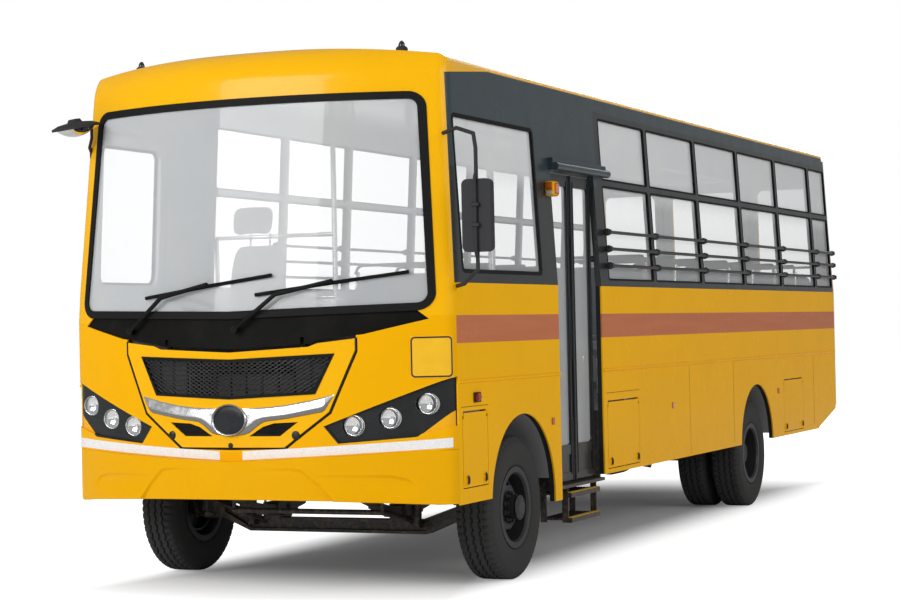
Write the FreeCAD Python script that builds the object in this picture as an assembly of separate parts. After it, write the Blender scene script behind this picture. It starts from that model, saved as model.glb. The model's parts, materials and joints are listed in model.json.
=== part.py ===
import FreeCAD, Part
import functools
import math
import os

# A full-size school bus with a front engine, a bowed cab front and a framed window band.
# Millimetres. X is left of the bus, Y runs from the nose to the tail, Z is up from the road.
# Stations along Y are measured from the front axle and moved to the middle of the length at the end.

V = FreeCAD.Vector

# Overall form
HALF_WIDTH = 1220.0
WALL = 40.0
SKIRT_Z = 517.0
BELT_Z = 1735.0
GLASS_FOOT_Z = 1560.0
ROOF_EDGE_Z = 2962.0
ROOF_KNEE_Y = -280.0
ROOF_FRONT_Z = 2895.0
CROWN_Z = 3078.0
SIDE_LEAN = 0.0558
NOSE_Y = -1318.0
NOSE_RAKE = 0.1093
NOSE_BOW_R = 2400.0
NOSE_CORNER_R = 100.0
TAIL_Y = 7860.0
TAIL_LEAN = 0.0612
TAIL_CORNER_R = 150.0
DOME_R = 220.0
EAVE_R = 75.0
EAVE_RISE = 63.0
BUMPER_Y = -1380.0
FRONT_SEAM_Y = -950.0
SEAM_RAKE = 0.07
REAR_SEAM_Y = 7700.0

# Running gear
WHEELBASE = 5057.0
TYRE_R = 424.0
TYRE_WIDTH = 235.0
TYRE_CARCASS = 22.0
RIM_R = 206.0
RIM_FLANGE_R = 240.0
RIM_GAUGE = 9.0
BEAD_SET = 20.0
TRACK_OUTER_X = 1170.0
TWIN_PITCH = 280.0
KINGPIN_X = 930.0
KINGPIN_R = 20.0
STUB_R = 38.0
SHAFT_GAP = 0.05
HUB_R = 95.0
DRUM_R = 175.0
HAND_HOLES = 8
HAND_HOLE_R = 24.0
HAND_HOLE_PITCH_R = 150.0
BOLT_COUNT = 10
BOLT_PITCH_R = 82.0
BOLT_R = 9.0

# Openings in the skin
ARCH_FRONT_R = 500.0
ARCH_FRONT_Z = 475.0
ARCH_REAR_R = 470.0
ARCH_REAR_Z = 507.0
LINER_GAUGE = 12.0
LINER_INNER_X = 600.0
DOOR_Y0 = 615.0
DOOR_Y1 = 1400.0
DOOR_SILL_Z = 500.0
DOOR_HEAD_Z = 2445.0
WINDOW_FOOT_Z = 1775.0
WINDOW_BAR_Z = 2415.0
WINDOW_BAR_DEPTH = 36.0
WINDOW_HEAD_Z = 2840.0
WINDOW_START_Y = 1560.0
POST_Y = 2526.0
POST_PITCH = 1140.0
POST_WIDTH = 52.0
POST_COUNT = 5
WINDOW_END_Y = 7672.0
FLAT_SIDE_Y = -540.0
FLAT_SIDE_Z = 2935.0
QUARTER_Y0 = -850.0
QUARTER_Y1 = 370.0
QUARTER_FOOT_Z = 1790.0
QUARTER_HEAD_Z = 2680.0
WINDOW_CORNER_R = 22.0
GLASS_GAUGE = 5.0
GLASS_SET = 16.0

# Small clearances
SEAT_GAP = 0.3
LID_GAP = 7.0

OUT = "parts"
LEVER_REACH = 36.0
MID_Y = (BUMPER_Y + TAIL_Y + LEVER_REACH) / 2
MIRROR_REACH_LEFT = 1477.0
MIRROR_REACH_RIGHT = 1260.7
MID_X = (MIRROR_REACH_LEFT - MIRROR_REACH_RIGHT) / 2
FAR = 9000.0
SEAM_TOP_Z = CROWN_Z + 100
SEAM_TOP_Y = FRONT_SEAM_Y + (SEAM_TOP_Z - BELT_Z) * SEAM_RAKE

# Nose outlines, as (x, z) points on one side of the centre line
SCREEN_TOP = (1058.0, 2797.0)
SCREEN_LOW = (1138.0, 1589.0)
SCREEN_FOOT_Z = 1562.0
SCREEN_CORNER_R = 95.0
GASKET_WIDTH = 42.0
COWL_EDGE = [(0.0, 1394.0), (470.0, 1418.0), (520.0, 1437.0), (769.0, 1463.0), (1100.0, 1540.0)]
COWL_SET = 12.0
COWL_GAUGE = 18.0
HATCH_EDGE = [(722.0, 1378.0), (576.0, 1042.0), (323.0, 851.0)]
HATCH_TOP = [(0.0, 1376.0), (470.0, 1400.0), (520.0, 1419.0)]
HATCH_CORNER_Z = 1441.0
HATCH_SEAM_RISE = 24.0
GRILLE_TOP = (615.0, 1362.0)
GRILLE_LOW = (505.0, 1141.0)
GRILLE_SAG = 24.0
INLET = [(405.0, 990.0), (265.0, 984.0), (200.0, 965.0), (115.0, 913.0), (300.0, 913.0)]
LAMP_OUTLINE = [(545.0, 964.0), (622.0, 868.0), (1021.0, 897.0), (1260.0, 960.0), (1260.0, 1235.0),
                (1140.0, 1195.0)]
LAMP_CENTRES = [(700.0, 965.0), (889.0, 1002.0), (1078.0, 1076.0)]
LAMP_R = 66.0
LAMP_SET = 14.0
SEAM_OUTER_Z = 830.0
SEAM_CENTRE_Z = 775.0
FASCIA_WALL = 16.0
BUMPER_FOOT_Z = 522.0
BUMPER_BOW_R = 2050.0
BUMPER_WALL = 30.0
BUMPER_ARCH_Z = 567.0
BUMPER_END_Z = 527.0
BUMPER_PRESS = [(0.0, 738.0), (363.0, 738.0), (440.0, 731.0), (535.0, 650.0), (620.0, 548.0), (0.0, 548.0)]
BUMPER_PRESS_BOW_R = 1660.0
BUMPER_WING = [(0.0, 700.0), (690.0, 698.0), (900.0, 692.0), (985.0, 672.0), (1020.0, 636.0),
               (1030.0, 600.0), (0.0, 600.0)]
BUMPER_WING_BOW_R = 1960.0

# Nose lid
LID_WALL = 10.0
LID_AXIS_Y = -1225.0
LID_AXIS_Z = 1440.0
LID_ARM_X = 430.0
LID_ARM_HALF = 5.0
LID_ARM_GAP = 5.5
LID_PIN_R = 6.0
BADGE_HALF_WIDTH = 113.0
BADGE_HALF_HEIGHT = 90.0
BADGE_Z = 1003.0
BADGE_RIM = 12.0

GRILLE_FRAME = 16.0
GRILLE_ROWS = 7
GRILLE_BAR = 6.0

HATCHES = {
    "skirt_hatch_front": (-905.0, -545.0, 600.0, 1027.0),
    "skirt_hatch_middle": (1465.0, 2105.0, 545.0, 990.0),
    "skirt_hatch_rear": (5880.0, 6520.0, 545.0, 990.0),
}
SHUT_GAP = 6.0
HATCH_GAUGE = 20.0
HATCH_PIN_R = 5.0
HATCH_BARREL_R = 9.0
HATCH_AXIS_DROP = 18.0
HATCH_TOP_GAP = 10.0
HATCH_PIN_X = HALF_WIDTH - HATCH_BARREL_R - 1.0
DRIVER_DOOR = (-860.0, -60.0, 1040.0, 2700.0)
DRIVER_GLASS = (-785.0, -135.0, 1790.0, 2630.0)
RIDGE_Z = 1190.0
RIDGE_R = 10.0

# Service door
DOOR_PLANE_X = 1140.0
DOOR_GAUGE = 30.0
DOOR_EDGE_GAP = 22.0
DOOR_FOLD_GAP = 16.0
DOOR_FOLD_OUT = 6.0
DOOR_BARREL_R = 7.0
DOOR_PIN_R = 10.0
DOOR_LIFT = 14.0
DOOR_STILE = 52.0
DOOR_KICK_Z = 676.0
DOOR_PIVOT_Y = DOOR_Y0 + DOOR_EDGE_GAP
DOOR_END_Y = DOOR_Y1 - SHUT_GAP
DOOR_FOLD_Y = (DOOR_PIVOT_Y + DOOR_END_Y) / 2
DOOR_FOLD_X = DOOR_PLANE_X + DOOR_GAUGE / 2 + DOOR_FOLD_OUT
DOOR_FOOT_Z = DOOR_SILL_Z + DOOR_LIFT
DOOR_TOP_Z = DOOR_HEAD_Z - DOOR_LIFT

EMERGENCY = (-420.0, 420.0, 980.0, 2800.0)
REAR_GLASS_Z = (1800.0, 2700.0)
TAIL_FOOT_Z = 700.0

# Chassis and floor
FLOOR_Z = 930.0
FLOOR_GAUGE = 30.0
BEARER_DEPTH = 100.0
RAIL_X = 430.0
RAIL_WIDTH = 70.0
RAIL_TOP_Z = FLOOR_Z - FLOOR_GAUGE - BEARER_DEPTH
RAIL_DEPTH = 220.0
RAIL_GAUGE = 8.0
RAIL_Y0 = -1240.0
RAIL_Y1 = 7560.0
WELL_X = 745.0
WELL_MID_X = 500.0
WELL_MID_Z = 715.0
STEP_GAUGE = 20.0
SPRING_X = RAIL_X
SPRING_WIDTH = 76.0
SPRING_HALF = 620.0
SPRING_LEAF = 13.0
SPRING_LEAVES = 5
BEAM_Z = 300.0
BEAM_DEPTH = 84.0
BEAM_WIDTH = 90.0
AXLE_Z = TYRE_R
PIN_BOSS_R = 46.0
PIN_BOSS_HALF = 50.0
AXLE_TUBE_R = 66.0
TOW_BORE_R = 16.0
TOW_GAUGE = 24.0

TOW_Z = 610.0
TOW_FRONT_Y = RAIL_Y0 + 0.0
TOW_REAR_Y = 7600.0

LINER_FOOT_Z = 560.0

TOE_Y = -1050.0
LAMP_CLEAR_X = 980.0
DASH_FRONT_Y = -1170.0
DASH_FOOT_Z = 1080.0
ENGINE_HALF = 320.0
ENGINE_Y0 = TOE_Y
ENGINE_Y1 = 60.0
COVER_WALL = 15.0
GEARBOX_Y = 640.0
SHAFT_FRONT_Z = 590.0
COVER_TOP_Z = 1330.0

STEP_Y0 = 745.0
STEP_Y1 = 1265.0

DAMPER_X = 560.0
DAMPER_R = 33.0
DAMPER_FOOT = (-92.0, 318.0)
DAMPER_HEAD = (-60.0, 690.0)
ROLL_BAR_R = 16.0
ROLL_BAR_X = 492.0
ROLL_BAR_Y = -430.0
ROLL_BAR_Z = 420.0

WHEEL_DISH = 58.0
CAP_REAR_X = 1106.0

KNUCKLE_GAP = 5.0

# Seats and cabin fittings
SEAT_PITCH = 690.0
SEAT_ROWS = 8
SEAT_FIRST_Y = 2050.0
SEAT_WIDTH = 890.0
CUSHION_Z = 1370.0

DRIVER_X = -640.0
DRIVER_Y = 60.0

DRIVER_SEAT_FOOT_Z = ARCH_FRONT_Z + ARCH_FRONT_R + LINER_GAUGE

# Outside fittings
GUARD_ZS = (1870.0, 1980.0, 2090.0)
GUARD_R = 11.0
GUARD_OUT = 34.0
GUARD_Y0 = 1500.0
GUARD_Y1 = 7690.0

MIRROR_Y = -985.0
MIRROR_X = MIRROR_REACH_LEFT - 97.0

DISH_CENTRE = V(-1120.0, -1100.0, 2700.0)
DISH_R = 140.0
DISH_RIM = 14.0
DISH_GLASS_R = 110.0
DISH_BALL_R = 150.0
DISH_FOOT = V(-1138.0, -905.0, 2556.0)
DISH_ARM_R = 9.0
DISH_ARM_SEAT = V(24.0, 128.0, 32.0)

WIPER_PIVOTS = (-690.0, 50.0)
WIPER_Z = 1503.0


def box(x0, x1, y0, y1, z0, z1):
    """A block between two corners."""
    return Part.makeBox(x1 - x0, y1 - y0, z1 - z0, V(x0, y0, z0))


def rod(start, end, radius):
    """A round bar between two points."""
    run = end - start
    return Part.makeCylinder(radius, run.Length, start, run)


def face_of(points):
    """A flat face inside a closed outline."""
    return Part.Face(Part.makePolygon(points + points[:1]))


def prism_x(points, x0, x1):
    """A side outline of (y, z) points drawn across the bus."""
    return face_of([V(x0, y, z) for y, z in points]).extrude(V(x1 - x0, 0, 0))


def prism_y(points, y0, y1):
    """A front outline of (x, z) points drawn along the bus."""
    return face_of([V(x, y0, z) for x, z in points]).extrude(V(0, y1 - y0, 0))


def fused(shapes):
    """One solid from pieces that touch."""
    shapes = list(shapes)
    if len(shapes) == 1:
        return shapes[0]
    return shapes[0].fuse(shapes[1:]).removeSplitter()


def mirrored(shape):
    """The same shape on the other side of the bus."""
    return shape.mirror(V(0, 0, 0), V(1, 0, 0))


def both_sides(shape):
    """A shape and its mirror image."""
    return [shape, mirrored(shape)]


def rounded_outline(points, radius):
    """A closed polygon in one plane with its corners made round."""
    count = len(points)
    edges = []
    last = None
    first = None
    for index in range(count):
        here = points[index]
        back = (points[index - 1] - here).normalize()
        ahead = (points[(index + 1) % count] - here).normalize()
        half = back.getAngle(ahead) / 2
        reach = radius / math.tan(half)
        start = here + back * reach
        end = here + ahead * reach
        middle = (back + ahead).normalize()
        crown = here + middle * (radius / math.sin(half) - radius)
        if last is not None:
            edges.append(Part.LineSegment(last, start).toShape())
        else:
            first = start
        edges.append(Part.Arc(start, crown, end).toShape())
        last = end
    edges.append(Part.LineSegment(last, first).toShape())
    return Part.Face(Part.Wire(edges))


def ring(profile, centre):
    """A profile of (x, radius) points turned about an axle line through the centre."""
    points = [centre + V(x, 0, radius) for x, radius in profile]
    return face_of(points).revolve(centre, V(1, 0, 0), 360)


def half_width(z):
    """Half the width of the skin at a height."""
    return HALF_WIDTH - max(z - BELT_Z, 0.0) * SIDE_LEAN


def nose_line(z):
    """Station of the raked nose on the centre line."""
    return NOSE_Y + max(z - GLASS_FOOT_Z, 0.0) * NOSE_RAKE


def tail_line(z):
    """Station of the leaning tail."""
    return TAIL_Y - max(z - BELT_Z, 0.0) * TAIL_LEAN


def dome_set_back(z, inset, slope):
    """How far the rounding under the roof has moved a leaning face in at a height."""
    lean = math.atan(slope)
    radius = DOME_R - inset
    centre_z = CROWN_Z - DOME_R
    rise = z - centre_z
    if rise <= radius * math.sin(lean):
        return inset / math.cos(lean)
    along = (z - centre_z) * slope
    return DOME_R / math.cos(lean) - math.sqrt(max(radius ** 2 - rise ** 2, 0.0)) - along


def plan_wire(z, half, nose, tail, bow, corner, tail_corner):
    """The outline seen from above: bowed nose, straight sides and a square tail with round corners."""
    centre_y = nose + bow
    side_x = half - corner
    corner_y = centre_y - math.sqrt((bow - corner) ** 2 - side_x ** 2)
    turn = math.atan2(side_x, centre_y - corner_y)
    middle = (turn + math.pi / 2) / 2
    tangent = V(bow * math.sin(turn), centre_y - bow * math.cos(turn), z)
    shoulder = V(side_x + corner * math.sin(middle), corner_y - corner * math.cos(middle), z)
    side_front = V(half, corner_y, z)
    side_rear = V(half, tail - tail_corner, z)
    slant = tail_corner * math.sqrt(0.5)
    rear_mid = V(half - tail_corner + slant, tail - tail_corner + slant, z)
    rear_end = V(half - tail_corner, tail, z)

    def flip(point):
        return V(-point.x, point.y, point.z)

    edges = [
        Part.Arc(flip(tangent), V(0, nose, z), tangent).toShape(),
        Part.Arc(tangent, shoulder, side_front).toShape(),
        Part.LineSegment(side_front, side_rear).toShape(),
        Part.Arc(side_rear, rear_mid, rear_end).toShape(),
        Part.LineSegment(rear_end, flip(rear_end)).toShape(),
        Part.Arc(flip(rear_end), flip(rear_mid), flip(side_rear)).toShape(),
        Part.LineSegment(flip(side_rear), flip(side_front)).toShape(),
        Part.Arc(flip(side_front), flip(shoulder), flip(tangent)).toShape(),
    ]
    return Part.Wire(edges)


def level(z, inset):
    """The body's outline at a height, moved in from the outer skin."""
    nose = nose_line(z) + dome_set_back(z, inset, NOSE_RAKE)
    tail = tail_line(z) - dome_set_back(z, inset, TAIL_LEAN)
    half = half_width(z) - inset
    bow = NOSE_BOW_R - inset
    return plan_wire(z, half, nose, tail, bow, NOSE_CORNER_R - inset, TAIL_CORNER_R - inset)


def crown_block(inset):
    """The roof's cross-section drawn along the bus: a flat crown with round eaves."""
    eave_z = CROWN_Z - EAVE_RISE - EAVE_R
    eave_x = half_width(eave_z) - inset
    radius = EAVE_R - inset
    slant = radius * math.sqrt(0.5)
    centre_x = eave_x - radius
    shoulder = V(centre_x + slant, 0, eave_z + slant)
    turn = V(centre_x, 0, eave_z + radius)
    crown = V(0, 0, CROWN_Z - inset)
    wide = HALF_WIDTH + 100

    def flip(point):
        return V(-point.x, point.y, point.z)

    start = V(eave_x, 0, eave_z)
    edges = [
        Part.LineSegment(V(-wide, 0, 0), V(wide, 0, 0)).toShape(),
        Part.LineSegment(V(wide, 0, 0), V(wide, 0, eave_z)).toShape(),
        Part.LineSegment(V(wide, 0, eave_z), start).toShape(),
        Part.Arc(start, shoulder, turn).toShape(),
        Part.Arc(turn, crown, flip(turn)).toShape(),
        Part.Arc(flip(turn), flip(shoulder), flip(start)).toShape(),
        Part.LineSegment(flip(start), V(-wide, 0, eave_z)).toShape(),
        Part.LineSegment(V(-wide, 0, eave_z), V(-wide, 0, 0)).toShape(),
    ]
    face = Part.Face(Part.Wire(edges))
    face.translate(V(0, BUMPER_Y - 200, 0))
    return face.extrude(V(0, TAIL_Y - BUMPER_Y + 400, 0))


@functools.lru_cache(maxsize=None)
def envelope(inset):
    """The closed body form, moved in from the outer skin by an inset."""
    foot_z = SKIRT_Z - 200
    radius = DOME_R - inset
    centre_z = CROWN_Z - DOME_R
    shoulder_z = centre_z + radius * math.sin(math.atan(NOSE_RAKE))
    lower = Part.makeLoft([level(z, inset) for z in (foot_z, GLASS_FOOT_Z, BELT_Z, shoulder_z)], True, True)
    steps = 4
    lean = math.degrees(math.atan(NOSE_RAKE))
    angles = [lean + (88.0 - lean) * step / steps for step in range(steps + 1)]
    heights = [centre_z + radius * math.sin(math.radians(angle)) for angle in angles]
    upper = Part.makeLoft([level(z, inset) for z in heights], True, False)
    return lower.fuse(upper).common(crown_block(inset))


NOSE_BOX = prism_x([(-FAR / 3, 0.0), (FRONT_SEAM_Y, 0.0), (FRONT_SEAM_Y, BELT_Z), (SEAM_TOP_Y, SEAM_TOP_Z),
                    (-FAR / 3, SEAM_TOP_Z)], -FAR / 3, FAR / 3)
SKIN = envelope(0.0)


@functools.lru_cache(maxsize=None)
def nose_form(inset):
    """The part of the body form in front of the front seam."""
    return envelope(inset).common(NOSE_BOX)


def skin_layer(outer, inner):
    """A layer of the body form between two insets."""
    return envelope(outer).cut(envelope(inner))


@functools.lru_cache(maxsize=None)
def nose_layer(outer, inner):
    """A layer of the nose between two insets."""
    return nose_form(outer).cut(nose_form(inner))


SHELL = skin_layer(0.0, WALL)


def export(name, shapes):
    """Writes one sub-part, moved so that the middle of the bus with its mirrors is at the origin."""
    solids = []
    for shape in shapes if isinstance(shapes, list) else [shapes]:
        solids.extend(shape.Solids)
    whole = solids[0] if len(solids) == 1 else Part.makeCompound(solids)
    whole = whole.copy()
    whole.translate(V(-MID_X, -MID_Y, 0))
    whole.exportStep(os.path.join(OUT, name + ".step"))


def mirrored_outline(points):
    """A closed outline from the points of its left half, listed from the top centre down to the bottom centre."""
    return points + [(-x, z) for x, z in reversed(points) if x > 0.0]


def screen_points(margin):
    """Outline of the windscreen opening, moved in by a margin."""
    top_x, top_z = SCREEN_TOP
    low_x, low_z = SCREEN_LOW
    pairs = [
        (top_x - margin, top_z - margin),
        (low_x - margin, low_z + margin),
        (0.0, SCREEN_FOOT_Z + margin),
        (-low_x + margin, low_z + margin),
        (-top_x + margin, top_z - margin),
    ]
    return [V(x, -FAR / 3, z) for x, z in pairs]


def screen_prism(margin):
    """The windscreen outline drawn along the bus."""
    points = screen_points(margin)
    return rounded_outline(points, SCREEN_CORNER_R - margin).extrude(V(0, FAR / 3 + FRONT_SEAM_Y + 120, 0))


def nose_prism(outline):
    """A symmetric nose outline drawn along the bus as far as the front seam."""
    return prism_y(outline, -FAR / 3, FRONT_SEAM_Y + 120)


def one_side_prism(points):
    """A one-sided nose outline drawn along the bus."""
    return prism_y(points, -FAR / 3, FRONT_SEAM_Y)


def cowl_outline(drop):
    """Black panel between the windscreen and the nose lid."""
    lower = [(x, z - drop) for x, z in COWL_EDGE]
    low_x, low_z = SCREEN_LOW
    inside = low_x - SCREEN_CORNER_R
    upper = [(0.0, low_z + 60), (inside - 40, low_z + 60), (inside, low_z - 2)]
    return mirrored_outline(upper + list(reversed(lower)))


def hatch_outline(grow, lift):
    """The nose lid, from the cowl down to the tow hooks, grown at its sides and lifted at its top."""
    top = [(x, z + lift) for x, z in HATCH_TOP]
    top.append((HATCH_EDGE[0][0] + grow, HATCH_CORNER_Z + lift))
    sides = [(x + grow, z - grow * 0.6) for x, z in HATCH_EDGE]
    low = [(0.0, HATCH_EDGE[-1][1] - grow)]
    return mirrored_outline(top + sides + low)


def grille_outline(shrink):
    """The grille mouth, wider at the top and sagging in the middle."""
    top_x, top_z = GRILLE_TOP
    low_x, low_z = GRILLE_LOW
    return mirrored_outline([(0.0, top_z - shrink - GRILLE_SAG), (top_x - shrink, top_z - shrink),
                             (low_x - shrink, low_z + shrink), (0.0, low_z + shrink - GRILLE_SAG)])


def seam_prism(above):
    """Everything above or below the sloping seam between the fascia and the bumper."""
    wide = HALF_WIDTH + 80
    far = 4000.0 if above else -100.0
    points = [(-wide, far), (-wide, SEAM_OUTER_Z), (0.0, SEAM_CENTRE_Z), (wide, SEAM_OUTER_Z), (wide, far)]
    return nose_prism(points)


def lamp_openings(grow):
    """Openings of both lamp groups."""
    centre_x = sum(x for x, z in LAMP_OUTLINE) / len(LAMP_OUTLINE)
    centre_z = sum(z for x, z in LAMP_OUTLINE) / len(LAMP_OUTLINE)
    points = []
    for x, z in LAMP_OUTLINE:
        reach = math.hypot(x - centre_x, z - centre_z)
        points.append((x + (x - centre_x) * grow / reach, z + (z - centre_z) * grow / reach))
    return both_sides(one_side_prism(points))


def make_front():
    """Fascia, windscreen surround, cowl, gasket and glass."""
    nose_shell = nose_layer(0.0, FASCIA_WALL)
    split = box(-FAR / 3, FAR / 3, -FAR / 3, 0, GLASS_FOOT_Z, SEAM_TOP_Z)
    cowl = nose_prism(cowl_outline(0.0))
    screen = screen_prism(0.0)
    surround = nose_layer(0.0, WALL).common(split).cut([screen, cowl])
    fascia = nose_shell.common(seam_prism(True)).cut(split).cut([cowl,
                                                                 nose_prism(hatch_outline(LID_GAP,
                                                                                          HATCH_SEAM_RISE))])
    fascia = fascia.cut(lamp_openings(0.0)).cut(screen)
    export("front_surround", surround)
    export("front_fascia", fascia)
    cowl_panel = nose_layer(COWL_SET, COWL_SET + COWL_GAUGE).common(cowl).cut(screen)
    cowl_panel = cowl_panel.cut(lid_arm_slots()).fuse(make_lid_lugs()).removeSplitter()
    export("front_cowl", cowl_panel)
    gasket = nose_layer(-6.0, 24.0).common(screen).cut(screen_prism(GASKET_WIDTH))
    export("windshield_gasket", gasket)
    glass = nose_layer(4.0, 4.0 + GLASS_GAUGE + 2.0).common(screen_prism(GASKET_WIDTH))
    export("windshield_glass", glass)


def bumper_wire(inset):
    """Outline of the bumper seen from above."""
    return plan_wire(BUMPER_FOOT_Z, HALF_WIDTH + 2 - inset, BUMPER_Y + inset, TAIL_Y,
                     BUMPER_BOW_R - inset, NOSE_CORNER_R + 10 - inset, TAIL_CORNER_R)


def bumper_recess(outline, bow, height):
    """A pressed recess with slanted walls that fades towards the middle of the bumper."""
    centre_z = sum(z for x, z in outline) / len(outline)
    far = [V(x, BUMPER_Y - 20, z) for x, z in mirrored_outline(outline)]
    near = [V(x * 0.93, BUMPER_Y + 190, centre_z + (z - centre_z) * 0.55) for x,
            z in mirrored_outline(outline)]
    wires = [Part.makePolygon(points + points[:1]) for points in (far, near)]
    taper = Part.makeLoft(wires, True, True)
    kept = plan_wire(BUMPER_FOOT_Z, HALF_WIDTH + 2, BUMPER_Y + 0.4, TAIL_Y, bow, NOSE_CORNER_R,
                     TAIL_CORNER_R)
    return taper.cut(Part.Face(kept).extrude(height))


def bumper_arch():
    """What the arched lower edge leaves out under the bumper."""
    half = HALF_WIDTH - NOSE_CORNER_R
    far = -FAR / 3
    low = BUMPER_FOOT_Z - 50
    arch = Part.Arc(V(-half, far, BUMPER_END_Z), V(0, far, BUMPER_ARCH_Z),
                    V(half, far, BUMPER_END_Z)).toShape()
    ends = [V(half, far, BUMPER_END_Z), V(half + 200, far, BUMPER_END_Z - 4), V(half + 200, far, low),
            V(-half - 200, far, low), V(-half - 200, far, BUMPER_END_Z - 4), V(-half, far, BUMPER_END_Z)]
    rest = [Part.LineSegment(start, end).toShape() for start, end in zip(ends, ends[1:])]
    return Part.Face(Part.Wire([arch] + rest)).extrude(V(0, FAR / 3 + FRONT_SEAM_Y, 0))


def make_bumper():
    """The deep painted bumper with its moulded recess."""
    height = V(0, 0, SEAM_OUTER_Z + 20 - BUMPER_FOOT_Z)
    outer = Part.Face(bumper_wire(0.0)).extrude(height)
    inner = Part.Face(bumper_wire(BUMPER_WALL)).extrude(height)
    bumper = outer.cut(inner).common(NOSE_BOX).common(seam_prism(False))
    bumper = bumper.cut(bumper_arch())
    bumper = bumper.cut(bumper_recess(BUMPER_PRESS, BUMPER_PRESS_BOW_R, height))
    for wing in both_sides(bumper_recess(BUMPER_WING, BUMPER_WING_BOW_R, height).common(half_space(1))):
        bumper = bumper.cut(wing)
    ledge = Part.Face(bumper_wire(0.0)).extrude(V(0, 0, 400))
    shelf = ledge.common(NOSE_BOX).cut(nose_form(FASCIA_WALL))
    band = seam_prism(False).cut(seam_prism(False).translated(V(0, 0, -14.0)))
    bumper = bumper.fuse(shelf.common(band)).removeSplitter()
    export("front_bumper", bumper)


def make_nose_lid():
    """The lid in the nose with its grille, winged bar and plain disc."""
    outline = nose_prism(hatch_outline(0.0, 0.0))
    mouth = nose_prism(grille_outline(0.0))
    inlets = both_sides(one_side_prism(INLET))
    skin = nose_layer(-2.0, LID_WALL).common(outline).cut([mouth] + inlets)
    arms = []
    for x in (-LID_ARM_X, LID_ARM_X):
        half = LID_ARM_HALF
        arm = rod(V(x - half, LID_AXIS_Y, LID_AXIS_Z), V(x + half, LID_AXIS_Y, LID_AXIS_Z), 15.0)
        web = box(x - half, x + half, LID_AXIS_Y - 80, LID_AXIS_Y + 13, LID_AXIS_Z - 84, LID_AXIS_Z - 32)
        neck = box(x - half, x + half, LID_AXIS_Y - 13, LID_AXIS_Y + 13, LID_AXIS_Z - 34, LID_AXIS_Z)
        arm = arm.fuse([web, neck])
        arm = arm.common(nose_form(LID_WALL - 2))
        bore = rod(V(x - 20, LID_AXIS_Y, LID_AXIS_Z), V(x + 20, LID_AXIS_Y, LID_AXIS_Z),
                   LID_PIN_R + SEAT_GAP)
        arms.append(arm.cut(bore))
    export("front_hatch", fused([skin] + arms))
    make_grille(mouth, inlets)
    make_hatch_trim()


def inlet_insert(inlet):
    """A dark insert with two level blades in one of the low inlets."""
    plate = nose_layer(LID_WALL, LID_WALL + 4.0).common(inlet.fuse(inlet.translated(V(0, 0, 5))))
    blades = [box(-FAR, FAR, -FAR / 3, FRONT_SEAM_Y, z - 2, z + 2) for z in (938.0, 964.0)]
    blades = [nose_layer(1.0, LID_WALL + 2.0).common(inlet).common(blade) for blade in blades]
    return fused([plate] + blades)


def make_grille(mouth, inlets):
    """A frame with level bars and upright ribs behind the mouth of the nose lid, and the inlets' inserts."""
    frame = mouth.cut(nose_prism(grille_outline(GRILLE_FRAME)))
    field = nose_prism(grille_outline(GRILLE_FRAME))
    top_z = GRILLE_TOP[1]
    low_z = GRILLE_LOW[1]
    pitch = (top_z - low_z) / (GRILLE_ROWS + 1)
    bars = []
    for row in range(1, GRILLE_ROWS + 1):
        z = low_z + row * pitch
        bars.append(box(-800, 800, -FAR / 3, FRONT_SEAM_Y, z - GRILLE_BAR / 2, z + GRILLE_BAR / 2))
    ribs = []
    rib_pitch = 96.0
    for index in range(-6, 7):
        x = index * rib_pitch
        ribs.append(box(x - 4, x + 4, -FAR / 3, FRONT_SEAM_Y, low_z - 40, top_z + 40))
    layer = nose_layer(6.0, 24.0)
    lattice = fused([shape.common(layer).common(field) for shape in bars + ribs])
    rim = nose_layer(-6.0, 24.0).common(frame)
    export("hatch_grille", [fused([rim, lattice])] + [inlet_insert(inlet) for inlet in inlets])


def badge_prism(shrink, start_y, end_y):
    """The oval badge's outline drawn along the bus."""
    half_width_in = BADGE_HALF_WIDTH - shrink
    half_height = BADGE_HALF_HEIGHT - shrink
    oval = Part.Ellipse(V(half_width_in, start_y, BADGE_Z), V(0, start_y, BADGE_Z + half_height),
                        V(0, start_y, BADGE_Z))
    return Part.Face(Part.Wire(oval.toShape())).extrude(V(0, end_y - start_y, 0))


def make_hatch_trim():
    """The winged bar that dips round a plain oval badge."""
    wing = [(0.0, 1070.0), (118.0, 1068.0), (340.0, 1084.0), (610.0, 1138.0), (550.0, 1043.0),
            (338.0, 1007.0), (207.0, 992.0), (122.0, 930.0), (84.0, 920.0), (0.0, 915.0)]
    bar = nose_prism(mirrored_outline(wing)).common(nose_layer(-16.0, -2.0))
    outer = badge_prism(0.0, NOSE_Y - 60, NOSE_Y + 60)
    rim = badge_prism(0.0, NOSE_Y - 26, NOSE_Y + 5).cut(badge_prism(BADGE_RIM, NOSE_Y - 60, NOSE_Y - 20))
    rim = rim.cut(nose_form(-2.0))
    export("hatch_trim", fused([bar.cut(outer), rim]))


def lid_arm_slots():
    """Slots in the cowl's lower edge that let the lid's arms swing through."""
    reach = LID_ARM_HALF + LID_ARM_GAP
    return [box(x - reach, x + reach, -FAR / 3, LID_AXIS_Y - 16, LID_AXIS_Z - 60, LID_AXIS_Z + 14)
            for x in (-LID_ARM_X, LID_ARM_X)]


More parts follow.
